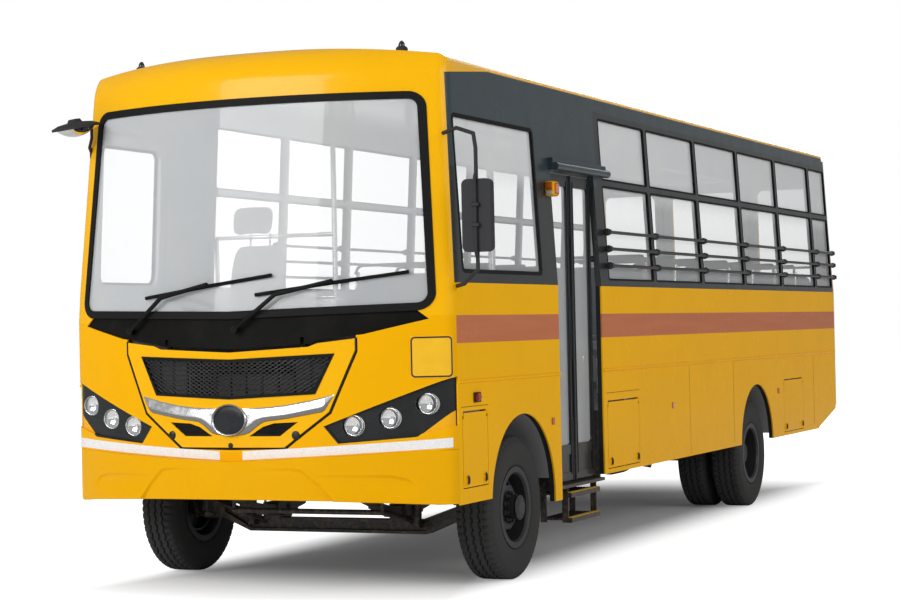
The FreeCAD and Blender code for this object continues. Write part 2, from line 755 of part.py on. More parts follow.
def make_lid_lugs():
    """Pins and lugs under the cowl that carry the nose lid."""
    lugs = []
    for x in (-LID_ARM_X, LID_ARM_X):
        step = math.copysign(1.0, x)
        near = x - step * (LID_ARM_HALF + SEAT_GAP)
        far = x - step * 22
        lug = rod(V(far, LID_AXIS_Y, LID_AXIS_Z), V(near, LID_AXIS_Y, LID_AXIS_Z), 15.0)
        low, high = sorted((far, near))
        web = box(low, high, LID_AXIS_Y - 80, LID_AXIS_Y + 8, LID_AXIS_Z, LID_AXIS_Z + 40)
        pin = rod(V(near, LID_AXIS_Y, LID_AXIS_Z), V(x + step * LID_ARM_HALF, LID_AXIS_Y, LID_AXIS_Z),
                  LID_PIN_R)
        web = web.common(nose_form(COWL_SET + COWL_GAUGE))
        lugs.append(fused([lug, web, pin]))
    return lugs


def make_lamps():
    """Lamp bodies behind the openings, each with three round cups, and the lamps in them."""
    panel = nose_layer(LAMP_SET, LAMP_SET + 8.0)
    openings = lamp_openings(0.0)
    edge = nose_layer(0.0, LAMP_SET + 8.0)
    inner = lamp_openings(-10.0)
    housings = []
    reflectors = []
    for side, (opening, core) in enumerate(zip(openings, inner)):
        sign = 1.0 if side == 0 else -1.0
        body = panel.common(opening).fuse(edge.common(opening.cut(core)))
        for x, z in LAMP_CENTRES:
            y = NOSE_Y + NOSE_BOW_R - math.sqrt(NOSE_BOW_R ** 2 - x ** 2)
            centre = V(sign * x, y, z)
            run = V(0, 1, 0)
            cup = Part.makeCylinder(LAMP_R, 70.0, centre + run * 8, run)
            bore = Part.makeCylinder(LAMP_R - 6, 200.0, centre - run * 120, run)
            cup = cup.common(nose_form(LAMP_SET + 2))
            body = body.fuse(cup).cut(bore)
            bowl = Part.makeCylinder(LAMP_R - 6 - SEAT_GAP, 40.0, centre + run * 24, run)
            dish = Part.makeSphere(LAMP_R + 16, centre + run * (24 - 58))
            reflectors.append(bowl.cut(dish).common(nose_form(LAMP_SET + 2)))
        housings.append(body.removeSplitter())
    export("headlamp_housings", housings)
    export("headlamp_reflectors", reflectors)


# Side openings
def arch_cut(station, radius, centre_z):
    """A wheel opening with straight legs below its centre."""
    across = HALF_WIDTH + 60
    start = V(-across, station, centre_z)
    round_part = Part.makeCylinder(radius, 2 * across, start, V(1, 0, 0))
    return round_part.fuse(box(-across, across, station - radius, station + radius, 0, centre_z))


def side_opening(y0, y1, z0, z1, corner):
    """A side opening with rounded corners, cut through both sides."""
    points = [V(-FAR / 3, y0, z0), V(-FAR / 3, y1, z0), V(-FAR / 3, y1, z1), V(-FAR / 3, y0, z1)]
    return rounded_outline(points, corner).extrude(V(2 * FAR / 3, 0, 0))


def half_space(sign):
    """Everything on one side of the bus."""
    low, high = sorted((0.0, sign * FAR / 3))
    return box(low, high, -FAR / 3, FAR, -100, FAR / 2)


def window_spans():
    """Front and rear edge of each window in the band."""
    posts = [POST_Y + POST_PITCH * index for index in range(POST_COUNT)]
    edges = [WINDOW_START_Y]
    for post in posts:
        edges += [post - POST_WIDTH / 2, post + POST_WIDTH / 2]
    edges.append(WINDOW_END_Y)
    return list(zip(edges[0::2], edges[1::2]))


def right_spans():
    """The windows of the right side, which go on past the doorway to the driver's door."""
    first = QUARTER_Y1 + 190.0
    return [(first, WINDOW_START_Y - POST_WIDTH)] + window_spans()


def rear_chamfer():
    """What the rising underside takes off the tail."""
    return prism_x([(7070.0, 527.0), (7716.0, 674.0), (8200.0, 786.0), (8200.0, 200.0), (7070.0, 200.0)],
                   -FAR / 3, FAR / 3)


def make_sides():
    """Lower side skins with arches, doorways and pressed ridge."""
    zone = box(-FAR / 3, FAR / 3, FRONT_SEAM_Y, REAR_SEAM_Y, SKIRT_Z, BELT_Z)
    panels = SHELL.cut(NOSE_BOX).common(zone)
    ridge = rod(V(HALF_WIDTH, FRONT_SEAM_Y, RIDGE_Z), V(HALF_WIDTH, REAR_SEAM_Y, RIDGE_Z), RIDGE_R)
    arches = [arch_cut(0.0, ARCH_FRONT_R, ARCH_FRONT_Z), arch_cut(WHEELBASE, ARCH_REAR_R, ARCH_REAR_Z)]
    left = panels.common(half_space(1)).fuse(ridge).cut(arches).cut(rear_chamfer())
    doorway = box(0, FAR / 3, DOOR_Y0, DOOR_Y1, 0, BELT_Z + 1)
    apron = box(HALF_WIDTH - WALL, HALF_WIDTH, ARCH_FRONT_R, DOOR_Y0, 418.0, SKIRT_Z)
    left = left.cut(doorway).fuse(apron)
    for y0, y1, z0, z1 in HATCHES.values():
        left = left.cut(box(0, FAR / 3, y0, y1, z0, z1))
    for frame in hatch_frames():
        left = left.fuse(frame)
    export("side_panel_left", left.removeSplitter())
    right = panels.common(half_space(-1)).fuse(mirrored(ridge)).cut(arches).cut(rear_chamfer())
    y0, y1, z0, z1 = DRIVER_DOOR
    right = right.cut(box(-FAR / 3, 0, y0 - SHUT_GAP, y1 + SHUT_GAP, z0 - SHUT_GAP, z1))
    right = right.fuse(door_knuckles(False))
    export("side_panel_right", right.removeSplitter())


def hatch_frames():
    """Hinge brackets and pins at the top of each skirt opening."""
    frames = []
    for y0, y1, z0, z1 in HATCHES.values():
        axis_z = z1 - HATCH_AXIS_DROP
        for y, step in ((y0, 1.0), (y1, -1.0)):
            near = y + step * (SHUT_GAP + 10)
            block_y0, block_y1 = sorted((y, near))
            block = box(HALF_WIDTH - WALL, HALF_WIDTH - 2, block_y0, block_y1, axis_z - 8, z1)
            pin = rod(V(HATCH_PIN_X, near, axis_z), V(HATCH_PIN_X, near + step * 26, axis_z), HATCH_PIN_R)
            frames.append(block.fuse(pin))
    return frames


def make_skirt_hatches():
    """Three lift-up skirt lids, each with two latches and two hinge barrels."""
    for name, (y0, y1, z0, z1) in HATCHES.items():
        axis_z = z1 - HATCH_AXIS_DROP
        top = z1 - HATCH_TOP_GAP
        lid = box(HALF_WIDTH - HATCH_GAUGE, HALF_WIDTH, y0 + SHUT_GAP, y1 - SHUT_GAP, z0 + SHUT_GAP, top)
        for y, step in ((y0, 1.0), (y1, -1.0)):
            block_y0, block_y1 = sorted((y + step * SHUT_GAP, y + step * (SHUT_GAP + 16)))
            lid = lid.cut(box(0, FAR / 3, block_y0, block_y1, axis_z - 24, z1))
            inner = y + step * (SHUT_GAP + 16)
            bore = rod(V(HATCH_PIN_X, inner - step, axis_z), V(HATCH_PIN_X, inner + step * 24, axis_z),
                       HATCH_PIN_R + SEAT_GAP)
            lid = lid.cut(bore)
            latch_y = y + step * 55
            latch = rod(V(HALF_WIDTH - 1, latch_y, z0 + 48), V(HALF_WIDTH + 7, latch_y, z0 + 48), 16.0)
            lid = lid.fuse(latch)
        export(name, lid.removeSplitter())


def door_knuckles(moving):
    """Hinge knuckles of the driver's door, on the door or on the body."""
    y0, y1, z0, z1 = DRIVER_DOOR
    axis = V(-HALF_WIDTH - 12.0, y0 - SHUT_GAP / 2, 0)
    parts = []
    for z in (z0 + 190, z0 + 560):
        base = z if moving else z + 45.0
        barrel = rod(V(axis.x, axis.y, base + SEAT_GAP), V(axis.x, axis.y, base + 45.0), 10.0)
        step = 1.0 if moving else -1.0
        low, high = sorted((axis.y, axis.y + step * 60))
        leaf = box(axis.x - 2, -HALF_WIDTH + 0.5, low, high, base + 3, base + 42)
        bore = rod(V(axis.x, axis.y, base - 5), V(axis.x, axis.y, base + 50), 4.0 + SEAT_GAP)
        part = barrel.fuse(leaf)
        if moving:
            parts.append(part.cut(bore))
        else:
            pin = rod(V(axis.x, axis.y, base - 44.0), V(axis.x, axis.y, base + 2), 4.0)
            parts.append(part.fuse(pin))
    return parts


def make_driver_door():
    """The driver's door with its window."""
    y0, y1, z0, z1 = DRIVER_DOOR
    outline = []
    for z, inset in ((z0, 0.0), (BELT_Z, 0.0), (z1, 0.0), (z1, WALL), (BELT_Z, WALL), (z0, WALL)):
        outline.append((inset - half_width(z), z))
    gy0, gy1, gz0, gz1 = DRIVER_GLASS
    opening = side_opening(gy0, gy1, gz0, gz1, 60.0)
    ridge = rod(V(-HALF_WIDTH, y0, RIDGE_Z), V(-HALF_WIDTH, y1, RIDGE_Z), RIDGE_R)
    door = prism_y(outline, y0, y1).fuse(ridge).cut(opening).fuse(door_knuckles(True))
    handle = rod(V(-HALF_WIDTH - 24, y1 - 210, 1420), V(-HALF_WIDTH - 24, y1 - 70, 1420), 8.0)
    feet = [rod(V(-HALF_WIDTH + 2, y, 1420), V(-HALF_WIDTH - 24, y, 1420), 7.0) for y in (y1 - 200,
                                                                                          y1 - 80)]
    door = door.fuse([handle] + feet)
    export("driver_door", door.removeSplitter())
    export("driver_door_glass", side_glass_layer(-1).common(opening))


def side_sheet(sign, outer, inner, start_y, top_z):
    """A flat leaning sheet of one side, between two insets from the skin."""
    corners = ((BELT_Z, outer), (top_z, outer), (top_z, inner), (BELT_Z, inner))
    outline = [(sign * (half_width(z) - inset), z) for z, inset in corners]
    return prism_y(outline, start_y, REAR_SEAM_Y)


def side_glass_layer(sign):
    """The flat leaning sheet that all panes of one side are cut from."""
    return side_sheet(sign, GLASS_SET, GLASS_SET + GLASS_GAUGE, FRONT_SEAM_Y, FLAT_SIDE_Z)


def make_window_bands():
    """Framed window bands, the glass in them and the door header."""
    edge = prism_x([(FRONT_SEAM_Y, BELT_Z), (REAR_SEAM_Y, BELT_Z), (REAR_SEAM_Y, ROOF_EDGE_Z),
                    (ROOF_KNEE_Y, ROOF_EDGE_Z), (FRONT_SEAM_Y, ROOF_FRONT_Z)], -FAR / 3, FAR / 3)
    flat = box(-FAR / 3, FAR / 3, FLAT_SIDE_Y, FAR, BELT_Z, FLAT_SIDE_Z)
    rim = SHELL.common(edge).cut([NOSE_BOX, flat])
    quarter = side_opening(QUARTER_Y0, QUARTER_Y1, QUARTER_FOOT_Z, QUARTER_HEAD_Z, 40.0)
    rows = ((WINDOW_FOOT_Z, WINDOW_BAR_Z - WINDOW_BAR_DEPTH / 2),
            (WINDOW_BAR_Z + WINDOW_BAR_DEPTH / 2, WINDOW_HEAD_Z))
    sides = []
    panes = []
    for sign, spans in ((1, window_spans()), (-1, right_spans())):
        openings = [side_opening(y0, y1, z0, z1, WINDOW_CORNER_R) for y0, y1 in spans for z0, z1 in rows]
        if sign > 0:
            openings.append(quarter)
        wall = side_sheet(sign, 0.0, WALL, FLAT_SIDE_Y, FLAT_SIDE_Z).cut(openings)
        outer = rim.common(half_space(sign))
        outer = outer.cut(quarter) if sign > 0 else outer
        sides.append(wall.fuse(outer))
        layer = side_glass_layer(sign)
        panes += [layer.common(opening) for opening in openings]
    left, right = sides
    left = left.cut(box(0, FAR / 3, DOOR_Y0, DOOR_Y1, BELT_Z - 5, DOOR_HEAD_Z))
    header = box(DOOR_PLANE_X - 42, HALF_WIDTH - 8, DOOR_Y0 - 25, WINDOW_START_Y, DOOR_HEAD_Z,
                 DOOR_HEAD_Z + 75)
    pivot = rod(V(DOOR_PLANE_X, DOOR_PIVOT_Y, DOOR_HEAD_Z - 5),
                V(DOOR_PLANE_X, DOOR_PIVOT_Y, DOOR_HEAD_Z + 32),
                DOOR_PIN_R + SEAT_GAP)
    roller = rod(V(HALF_WIDTH + 6, DOOR_Y0 - 20, DOOR_HEAD_Z + 22), V(HALF_WIDTH + 6, WINDOW_START_Y - 10,
                 DOOR_HEAD_Z + 22), 24.0)
    left = left.fuse([header, roller]).cut(pivot).removeSplitter()
    y0, y1, z0, z1 = DRIVER_DOOR
    right = right.cut(box(-FAR / 3, 0, y0 - SHUT_GAP, y1 + SHUT_GAP, 0, z1 + SHUT_GAP))
    export("window_band_left", left)
    export("window_band_right", right)
    return panes


def door_leaf(y0, y1):
    """A framed leaf with a tall window over a kick panel, and its glass."""
    x0 = DOOR_PLANE_X - DOOR_GAUGE / 2
    x1 = DOOR_PLANE_X + DOOR_GAUGE / 2
    leaf = box(x0, x1, y0, y1, DOOR_FOOT_Z, DOOR_TOP_Z)
    window = side_opening(y0 + DOOR_STILE, y1 - DOOR_STILE, DOOR_KICK_Z + 60, DOOR_TOP_Z - 70, 30.0)
    slot = box(0, FAR / 3, y0 + DOOR_STILE, y1 - DOOR_STILE, DOOR_FOOT_Z + 50, DOOR_KICK_Z)
    recess = slot.common(box(x1 - 6, FAR / 3, -FAR, FAR, 0, FAR))
    glass = box(DOOR_PLANE_X - 3, DOOR_PLANE_X + 3, y0, y1, DOOR_FOOT_Z, DOOR_TOP_Z).common(window)
    return leaf.cut([window, recess]), glass


def fold_barrels(moving):
    """Hinge segments between the two leaves."""
    count = 5
    length = (DOOR_TOP_Z - DOOR_FOOT_Z) / count
    parts = []
    for index in range(count):
        if (index % 2 == 1) != moving:
            continue
        z0 = DOOR_FOOT_Z + index * length + SEAT_GAP / 2
        z1 = DOOR_FOOT_Z + (index + 1) * length - SEAT_GAP / 2
        barrel = rod(V(DOOR_FOLD_X, DOOR_FOLD_Y, z0), V(DOOR_FOLD_X, DOOR_FOLD_Y, z1), DOOR_BARREL_R)
        step = 1.0 if moving else -1.0
        low, high = sorted((DOOR_FOLD_Y, DOOR_FOLD_Y + step * 30))
        leaf = box(DOOR_FOLD_X - DOOR_FOLD_OUT - 0.5, DOOR_FOLD_X - DOOR_FOLD_OUT + 3, low, high, z0, z1)
        parts.append(barrel.fuse(leaf))
    return parts


def make_service_door():
    """A two-leaf folding door: the front leaf turns on pins, the rear leaf folds on the front one."""
    half_fold = DOOR_FOLD_GAP / 2
    front, front_glass = door_leaf(DOOR_PIVOT_Y - DOOR_GAUGE / 2, DOOR_FOLD_Y - half_fold)
    pins = [
        rod(V(DOOR_PLANE_X, DOOR_PIVOT_Y, DOOR_TOP_Z - 5),
            V(DOOR_PLANE_X, DOOR_PIVOT_Y, DOOR_HEAD_Z + 30), DOOR_PIN_R),
        rod(V(DOOR_PLANE_X, DOOR_PIVOT_Y, DOOR_SILL_Z - 10),
            V(DOOR_PLANE_X, DOOR_PIVOT_Y, DOOR_FOOT_Z + 5), DOOR_PIN_R),
    ]
    export("door_leaf_front", fused([front] + pins + fold_barrels(False)))
    rear, rear_glass = door_leaf(DOOR_FOLD_Y + half_fold, DOOR_END_Y)
    export("door_leaf_rear", fused([rear] + fold_barrels(True)))
    export("door_glass_front", front_glass)
    export("door_glass_rear", rear_glass)


def make_roof():
    """The roof shell with its round front dome and rear cap."""
    region = prism_x([(FRONT_SEAM_Y, ROOF_FRONT_Z), (ROOF_KNEE_Y, ROOF_EDGE_Z), (TAIL_Y + 100, ROOF_EDGE_Z),
                      (TAIL_Y + 100, SEAM_TOP_Z), (FRONT_SEAM_Y, SEAM_TOP_Z)], -FAR / 3, FAR / 3)
    export("roof_shell", SHELL.common(region).cut(NOSE_BOX))


def rear_opening(x0, x1, z0, z1, corner):
    """An opening with rounded corners through the tail."""
    points = [V(x0, REAR_SEAM_Y, z0), V(x1, REAR_SEAM_Y, z0), V(x1, REAR_SEAM_Y, z1),
              V(x0, REAR_SEAM_Y, z1)]
    return rounded_outline(points, corner).extrude(V(0, 600, 0))


def tail_knuckles(moving):
    """Hinge knuckles of the emergency door."""
    x0, x1, z0, z1 = EMERGENCY
    axis = V(x1 + SHUT_GAP / 2, TAIL_Y + 12.0, 0)
    parts = []
    for z in (z0 + 120, z0 + 560):
        base = z if moving else z + 45.0
        barrel = rod(V(axis.x, axis.y, base + SEAT_GAP), V(axis.x, axis.y, base + 45.0), 10.0)
        step = -1.0 if moving else 1.0
        low, high = sorted((axis.x, axis.x + step * 60))
        leaf = box(low, high, TAIL_Y - 0.5, axis.y + 2, base + 3, base + 42)
        if moving:
            bore = rod(V(axis.x, axis.y, base - 5), V(axis.x, axis.y, base + 50), 4.0 + SEAT_GAP)
            parts.append(barrel.fuse(leaf).cut(bore))
        else:
            pin = rod(V(axis.x, axis.y, base - 44.0), V(axis.x, axis.y, base + 2), 4.0)
            parts.append(barrel.fuse([leaf, pin]))
    return parts


def make_tail():
    """Tail panel with the emergency door, rear windows and lamps."""
    zone = box(-FAR / 3, FAR / 3, REAR_SEAM_Y, TAIL_Y + 100, TAIL_FOOT_Z, ROOF_EDGE_Z)
    panel = SHELL.common(zone)
    x0, x1, z0, z1 = EMERGENCY
    gap = SHUT_GAP
    panel = panel.cut(box(x0 - gap, x1 + gap, REAR_SEAM_Y, FAR, z0 - gap, z1 + gap))
    outline = []
    for z, inset in ((BELT_Z, GLASS_SET), (FLAT_SIDE_Z, GLASS_SET),
                     (FLAT_SIDE_Z, GLASS_SET + GLASS_GAUGE), (BELT_Z, GLASS_SET + GLASS_GAUGE)):
        outline.append((tail_line(z) - inset, z))
    layer = prism_x(outline, -HALF_WIDTH, HALF_WIDTH)
    panes = []
    for side in (-1, 1):
        low, high = sorted((side * 500.0, side * 1010.0))
        opening = rear_opening(low, high, REAR_GLASS_Z[0], REAR_GLASS_Z[1], 60.0)
        panel = panel.cut(opening)
        panes.append(layer.common(opening))
    panel = panel.fuse(tail_knuckles(False)).removeSplitter()
    export("rear_panel", panel)
    opening = rear_opening(x0 + 90, x1 - 90, REAR_GLASS_Z[0], REAR_GLASS_Z[1], 60.0)
    outline = []
    for z, inset in ((z0, 0.0), (BELT_Z, 0.0), (z1, 0.0), (z1, WALL), (BELT_Z, WALL), (z0, WALL)):
        outline.append((tail_line(z) - inset, z))
    door = prism_x(outline, x0, x1).cut(opening).fuse(tail_knuckles(True))
    lever = rod(V(x0 + 70, TAIL_Y - 2, 1500), V(x0 + 70, TAIL_Y + LEVER_REACH - 6, 1500), 10.0)
    bar_y = TAIL_Y + LEVER_REACH - 8
    bar = rod(V(x0 + 70, bar_y, 1430), V(x0 + 70, bar_y, 1520), 8.0)
    export("emergency_door", door.fuse([lever, bar]).removeSplitter())
    export("emergency_glass", layer.common(opening))
    return panes


def channel_rail(sign):
    """One pressed channel of the ladder frame, open towards the middle."""
    x_out = sign * (RAIL_X + RAIL_WIDTH / 2)
    x_in = sign * (RAIL_X - RAIL_WIDTH / 2)
    low, high = sorted((x_out, x_in))
    solid = box(low, high, RAIL_Y0, RAIL_Y1, RAIL_TOP_Z - RAIL_DEPTH, RAIL_TOP_Z)
    hollow_low, hollow_high = sorted((x_out - sign * RAIL_GAUGE, x_in - sign * 5))
    z0 = RAIL_TOP_Z - RAIL_DEPTH + RAIL_GAUGE
    return solid.cut(box(hollow_low, hollow_high, RAIL_Y0 - 5, RAIL_Y1 + 5, z0, RAIL_TOP_Z - RAIL_GAUGE))


def make_chassis():
    """Ladder frame with cross members, bumper brackets, an upright tow eye behind and a flat one in front."""
    rails = [channel_rail(1), channel_rail(-1)]
    reach = RAIL_X + RAIL_WIDTH / 2 - RAIL_GAUGE + 1
    members = []
    for y in (-1200.0, 900.0, 2300.0, 3900.0, 6300.0, 7480.0):
        member = box(-reach, reach, y - 40, y + 40, RAIL_TOP_Z - 160, RAIL_TOP_Z - 60)
        hollow = box(-reach - 10, reach + 10, y - 32, y + 32, RAIL_TOP_Z - 170, RAIL_TOP_Z - 68)
        members.append(member.cut(hollow))
    brackets = []
    for sign in (-1, 1):
        low, high = sorted((sign * (RAIL_X - 20), sign * reach))
        arm = box(low, high, BUMPER_Y + 40, RAIL_Y0 + 60, RAIL_TOP_Z - 150, RAIL_TOP_Z - 40)
        arm = arm.common(Part.Face(bumper_wire(BUMPER_WALL)).extrude(V(0, 0, 600)))
        brackets.append(arm)
    rear = box(-TOW_GAUGE / 2, TOW_GAUGE / 2, TOW_REAR_Y - 86, TOW_REAR_Y + 40, TOW_Z - 45, TOW_Z + 110)
    rear = rear.cut(rod(V(-50, TOW_REAR_Y, TOW_Z), V(50, TOW_REAR_Y, TOW_Z), TOW_BORE_R))
    front = box(-45, 45, TOW_FRONT_Y - 46, TOW_FRONT_Y + 80, TOW_Z - TOW_GAUGE / 2, TOW_Z + TOW_GAUGE / 2)
    front = front.cut(rod(V(0, TOW_FRONT_Y, TOW_Z - 50), V(0, TOW_FRONT_Y, TOW_Z + 50), TOW_BORE_R))
    web = box(-45, 45, TOW_FRONT_Y + 64, TOW_FRONT_Y + 80, TOW_Z, RAIL_TOP_Z - 100)
    eyes = [rear, front, web]
    export("chassis_frame", fused(rails + members + brackets + eyes))


def arch_liner(station, radius, centre_z, inner_x):
    """Boxes over the wheels, pressed as half drums with closed inner ends."""
    outer = HALF_WIDTH - WALL
    start = V(inner_x, station, centre_z)
    drum = Part.makeCylinder(radius + LINER_GAUGE, outer - inner_x, start, V(1, 0, 0))
    start = V(inner_x + LINER_GAUGE, station, centre_z)
    hollow = Part.makeCylinder(radius, outer, start, V(1, 0, 0))
    foot = box(0, FAR, -FAR, FAR, -FAR, LINER_FOOT_Z)
    return drum.cut([hollow, foot])


def floor_zones():
    """The three floor panels, as (node, front, rear, outer edge on the left)."""
    well_y0 = DOOR_Y0 - STEP_GAUGE
    well_y1 = DOOR_Y1 + STEP_GAUGE
    return [("cab_floor", TOE_Y, well_y0, FAR / 3),
            ("entry_floor", well_y0, well_y1, WELL_MID_X - STEP_GAUGE),
            ("cabin_floor", well_y1, TAIL_Y - 50, FAR / 3)]


def wheel_box(station, radius, centre_z):
    """A pair of wheel boxes and the space under them."""
    liner = arch_liner(station, radius, centre_z, LINER_INNER_X)
    start = V(LINER_INNER_X, station, centre_z)
    space = Part.makeCylinder(radius + LINER_GAUGE, FAR, start, V(1, 0, 0))
    space = space.fuse(box(LINER_INNER_X, FAR, station - radius - LINER_GAUGE,
                           station + radius + LINER_GAUGE,
                           0, centre_z))
    return both_sides(liner), both_sides(space)


def make_floor():
    """Cabin floor in three panels on cross bearers, with the wheel boxes and the engine cover."""
    tub = envelope(WALL + SEAT_GAP)
    bearers = []
    y = FRONT_SEAM_Y + 60
    while y < REAR_SEAM_Y:
        bearers.append(box(-HALF_WIDTH, HALF_WIDTH, y - 25, y + 25, RAIL_TOP_Z, FLOOR_Z - FLOOR_GAUGE + 1))
        y += 712.0
    front_boxes, front_space = wheel_box(0.0, ARCH_FRONT_R, ARCH_FRONT_Z)
    rear_boxes, rear_space = wheel_box(WHEELBASE, ARCH_REAR_R, ARCH_REAR_Z)
    engine_bay = box(-ENGINE_HALF, ENGINE_HALF, TOE_Y - 10, ENGINE_Y1, 0, COVER_TOP_Z - COVER_WALL)
    toe_board = box(-LAMP_CLEAR_X, LAMP_CLEAR_X, TOE_Y, TOE_Y + 15, FLOOR_Z - 5, DASH_FOOT_Z)
    cover = box(-ENGINE_HALF - COVER_WALL, ENGINE_HALF + COVER_WALL, ENGINE_Y0, ENGINE_Y1 + COVER_WALL,
                FLOOR_Z, COVER_TOP_Z)
    cover = cover.cut(box(-ENGINE_HALF, ENGINE_HALF, ENGINE_Y0 - 5, ENGINE_Y1, FLOOR_Z - 5,
                          COVER_TOP_Z - COVER_WALL))
    extras = {"cab_floor": front_boxes + [cover], "entry_floor": [], "cabin_floor": rear_boxes}
    for name, y0, y1, edge in floor_zones():
        slab = tub.common(box(-FAR / 3, edge, y0, y1, FLOOR_Z - FLOOR_GAUGE, FLOOR_Z))
        under = box(-FAR / 3, edge, y0, y1, 0, FLOOR_Z)
        parts = [slab] + [bearer.common(tub).common(under) for bearer in bearers]
        if name == "cab_floor":
            parts.append(toe_board.common(tub))
        panel = fused([part for part in parts if part.Solids])
        panel = panel.cut(front_space + rear_space + [engine_bay])
        export(name, fused([panel] + extras[name]))


def make_engine():
    """The engine and gearbox as one plain block between the rails."""
    block = box(-270.0, 270.0, -980.0, 0.0, 600.0, 1240.0)
    gearbox = box(-150.0, 150.0, -5.0, GEARBOX_Y, 560.0, 790.0)
    mounts = []
    for sign in (-1, 1):
        low, high = sorted((sign * 265.0, sign * (RAIL_X + RAIL_WIDTH / 2 - RAIL_GAUGE - SEAT_GAP)))
        mounts.append(box(low, high, -700.0, -620.0, 640.0, 720.0))
    export("engine_block", fused([block, gearbox] + mounts))


def make_entry_steps():
    """Stairwell behind the door and the two hanging steps with bright nosings."""
    x_skin = HALF_WIDTH - 4
    g = STEP_GAUGE
    y0 = DOOR_Y0 - g
    y1 = DOOR_Y1 + g
    sill = box(WELL_X - g, x_skin, DOOR_Y0, DOOR_Y1, DOOR_SILL_Z - g, DOOR_SILL_Z)
    riser = box(WELL_X - g, WELL_X, DOOR_Y0, DOOR_Y1, DOOR_SILL_Z - g, WELL_MID_Z)
    tread = box(WELL_MID_X - g, WELL_X, DOOR_Y0, DOOR_Y1, WELL_MID_Z - g, WELL_MID_Z)
    back = box(WELL_MID_X - g, WELL_MID_X, DOOR_Y0, DOOR_Y1, WELL_MID_Z - g, FLOOR_Z)
    cheeks = []
    for low in (y0, DOOR_Y1):
        outline = [(WELL_MID_X - g, FLOOR_Z), (WELL_MID_X - g, WELL_MID_Z - g),
                   (WELL_X - g, WELL_MID_Z - g),
                   (WELL_X - g, DOOR_SILL_Z - g), (HALF_WIDTH - WALL - SEAT_GAP, DOOR_SILL_Z - g),
                   (HALF_WIDTH - WALL - SEAT_GAP, FLOOR_Z)]
        cheeks.append(prism_y(outline, low, low + g))
    well = fused([sill, riser, tread, back] + cheeks)
    socket = rod(V(DOOR_PLANE_X, DOOR_PIVOT_Y, DOOR_SILL_Z - 30),
                 V(DOOR_PLANE_X, DOOR_PIVOT_Y, DOOR_SILL_Z + 5),
                 DOOR_PIN_R + SEAT_GAP)
    well = well.cut(socket)
    hanging = []
    for z in (445.0, 290.0):
        hanging.append(box(1020.0, 1225.0, STEP_Y0, STEP_Y1, z - 12, z))
        hanging.append(box(1205.0, 1229.0, STEP_Y0, STEP_Y1, z - 26, z + 4))
    for y in (STEP_Y0, STEP_Y1 - 10):
        hanging.append(box(1020.0, 1060.0, y, y + 10, 264.0, DOOR_SILL_Z - g + 2))
        hanging.append(box(1165.0, 1205.0, y, y + 10, 264.0, DOOR_SILL_Z - g + 2))
    export("entry_steps", fused([well] + hanging))


def leaf_spring(station, seat_z, eye_z, sign):
    """A pack of curved leaves with round eyes and hangers up to the frame rail."""
    x0 = sign * SPRING_X - SPRING_WIDTH / 2
    x1 = sign * SPRING_X + SPRING_WIDTH / 2
    parts = []
    rise = eye_z - seat_z
    for leaf in range(SPRING_LEAVES):
        share = 1.0 - 0.17 * leaf
        half = SPRING_HALF * share
        top = seat_z + SPRING_LEAF * (SPRING_LEAVES - leaf)
        tip = top + rise * share ** 2 - SPRING_LEAF * SPRING_LEAVES * share ** 2
        edges = []
        drop = SPRING_LEAF
        a = [V(x0, station - half, tip), V(x0, station, top), V(x0, station + half, tip)]
        b = [point - V(0, 0, drop) for point in a]
        edges.append(Part.Arc(a[0], a[1], a[2]).toShape())
        edges.append(Part.LineSegment(a[2], b[2]).toShape())
        edges.append(Part.Arc(b[2], b[1], b[0]).toShape())
        edges.append(Part.LineSegment(b[0], a[0]).toShape())
        parts.append(Part.Face(Part.Wire(edges)).extrude(V(x1 - x0, 0, 0)))
    for end in (-1, 1):
        y = station + end * SPRING_HALF
        parts.append(rod(V(x0, y, eye_z - 10), V(x1, y, eye_z - 10), 24.0))
        parts.append(box(x0 + 4, x1 - 4, y - 30, y + 30, eye_z - 10, RAIL_TOP_Z - RAIL_DEPTH))
    for offset in (-70, 70):
        for x in (x0 - 10, x1 + 10):
            y = station + offset
            parts.append(rod(V(x, y, seat_z - 30), V(x, y, seat_z + SPRING_LEAF * SPRING_LEAVES + 24), 8.0))
    plate = box(x0 - 18, x1 + 18, station - 84, station + 84, seat_z + SPRING_LEAF * SPRING_LEAVES,
                seat_z + SPRING_LEAF * SPRING_LEAVES + 14)
    seat = box(x0 - 18, x1 + 18, station - 84, station + 84, seat_z - 18, seat_z)
    return parts + [plate, seat]


def damper(sign):
    """A telescopic damper from the front of the beam up to a bracket on the frame rail."""
    x = sign * DAMPER_X
    foot = V(x, *DAMPER_FOOT)
    head = V(x, *DAMPER_HEAD)
    middle = foot + (head - foot) * 0.5
    rail_face = sign * (RAIL_X + RAIL_WIDTH / 2)
    low, high = sorted((rail_face, x + sign * 14))
    return [
        rod(foot, middle, DAMPER_R * 0.78),
        rod(middle, head - (head - foot) * 0.08, DAMPER_R),
        rod(foot - V(22, 0, 0), foot + V(22, 0, 0), 20.0),
        rod(head - (head - foot) * 0.1, head, 10.0),
        box(x - 20, x + 20, foot.y, -BEAM_WIDTH / 2 + 3, foot.z - 18, foot.z + 18),
        box(low, high, head.y - 30, head.y + 30, head.z - 8, head.z + 8),
    ]


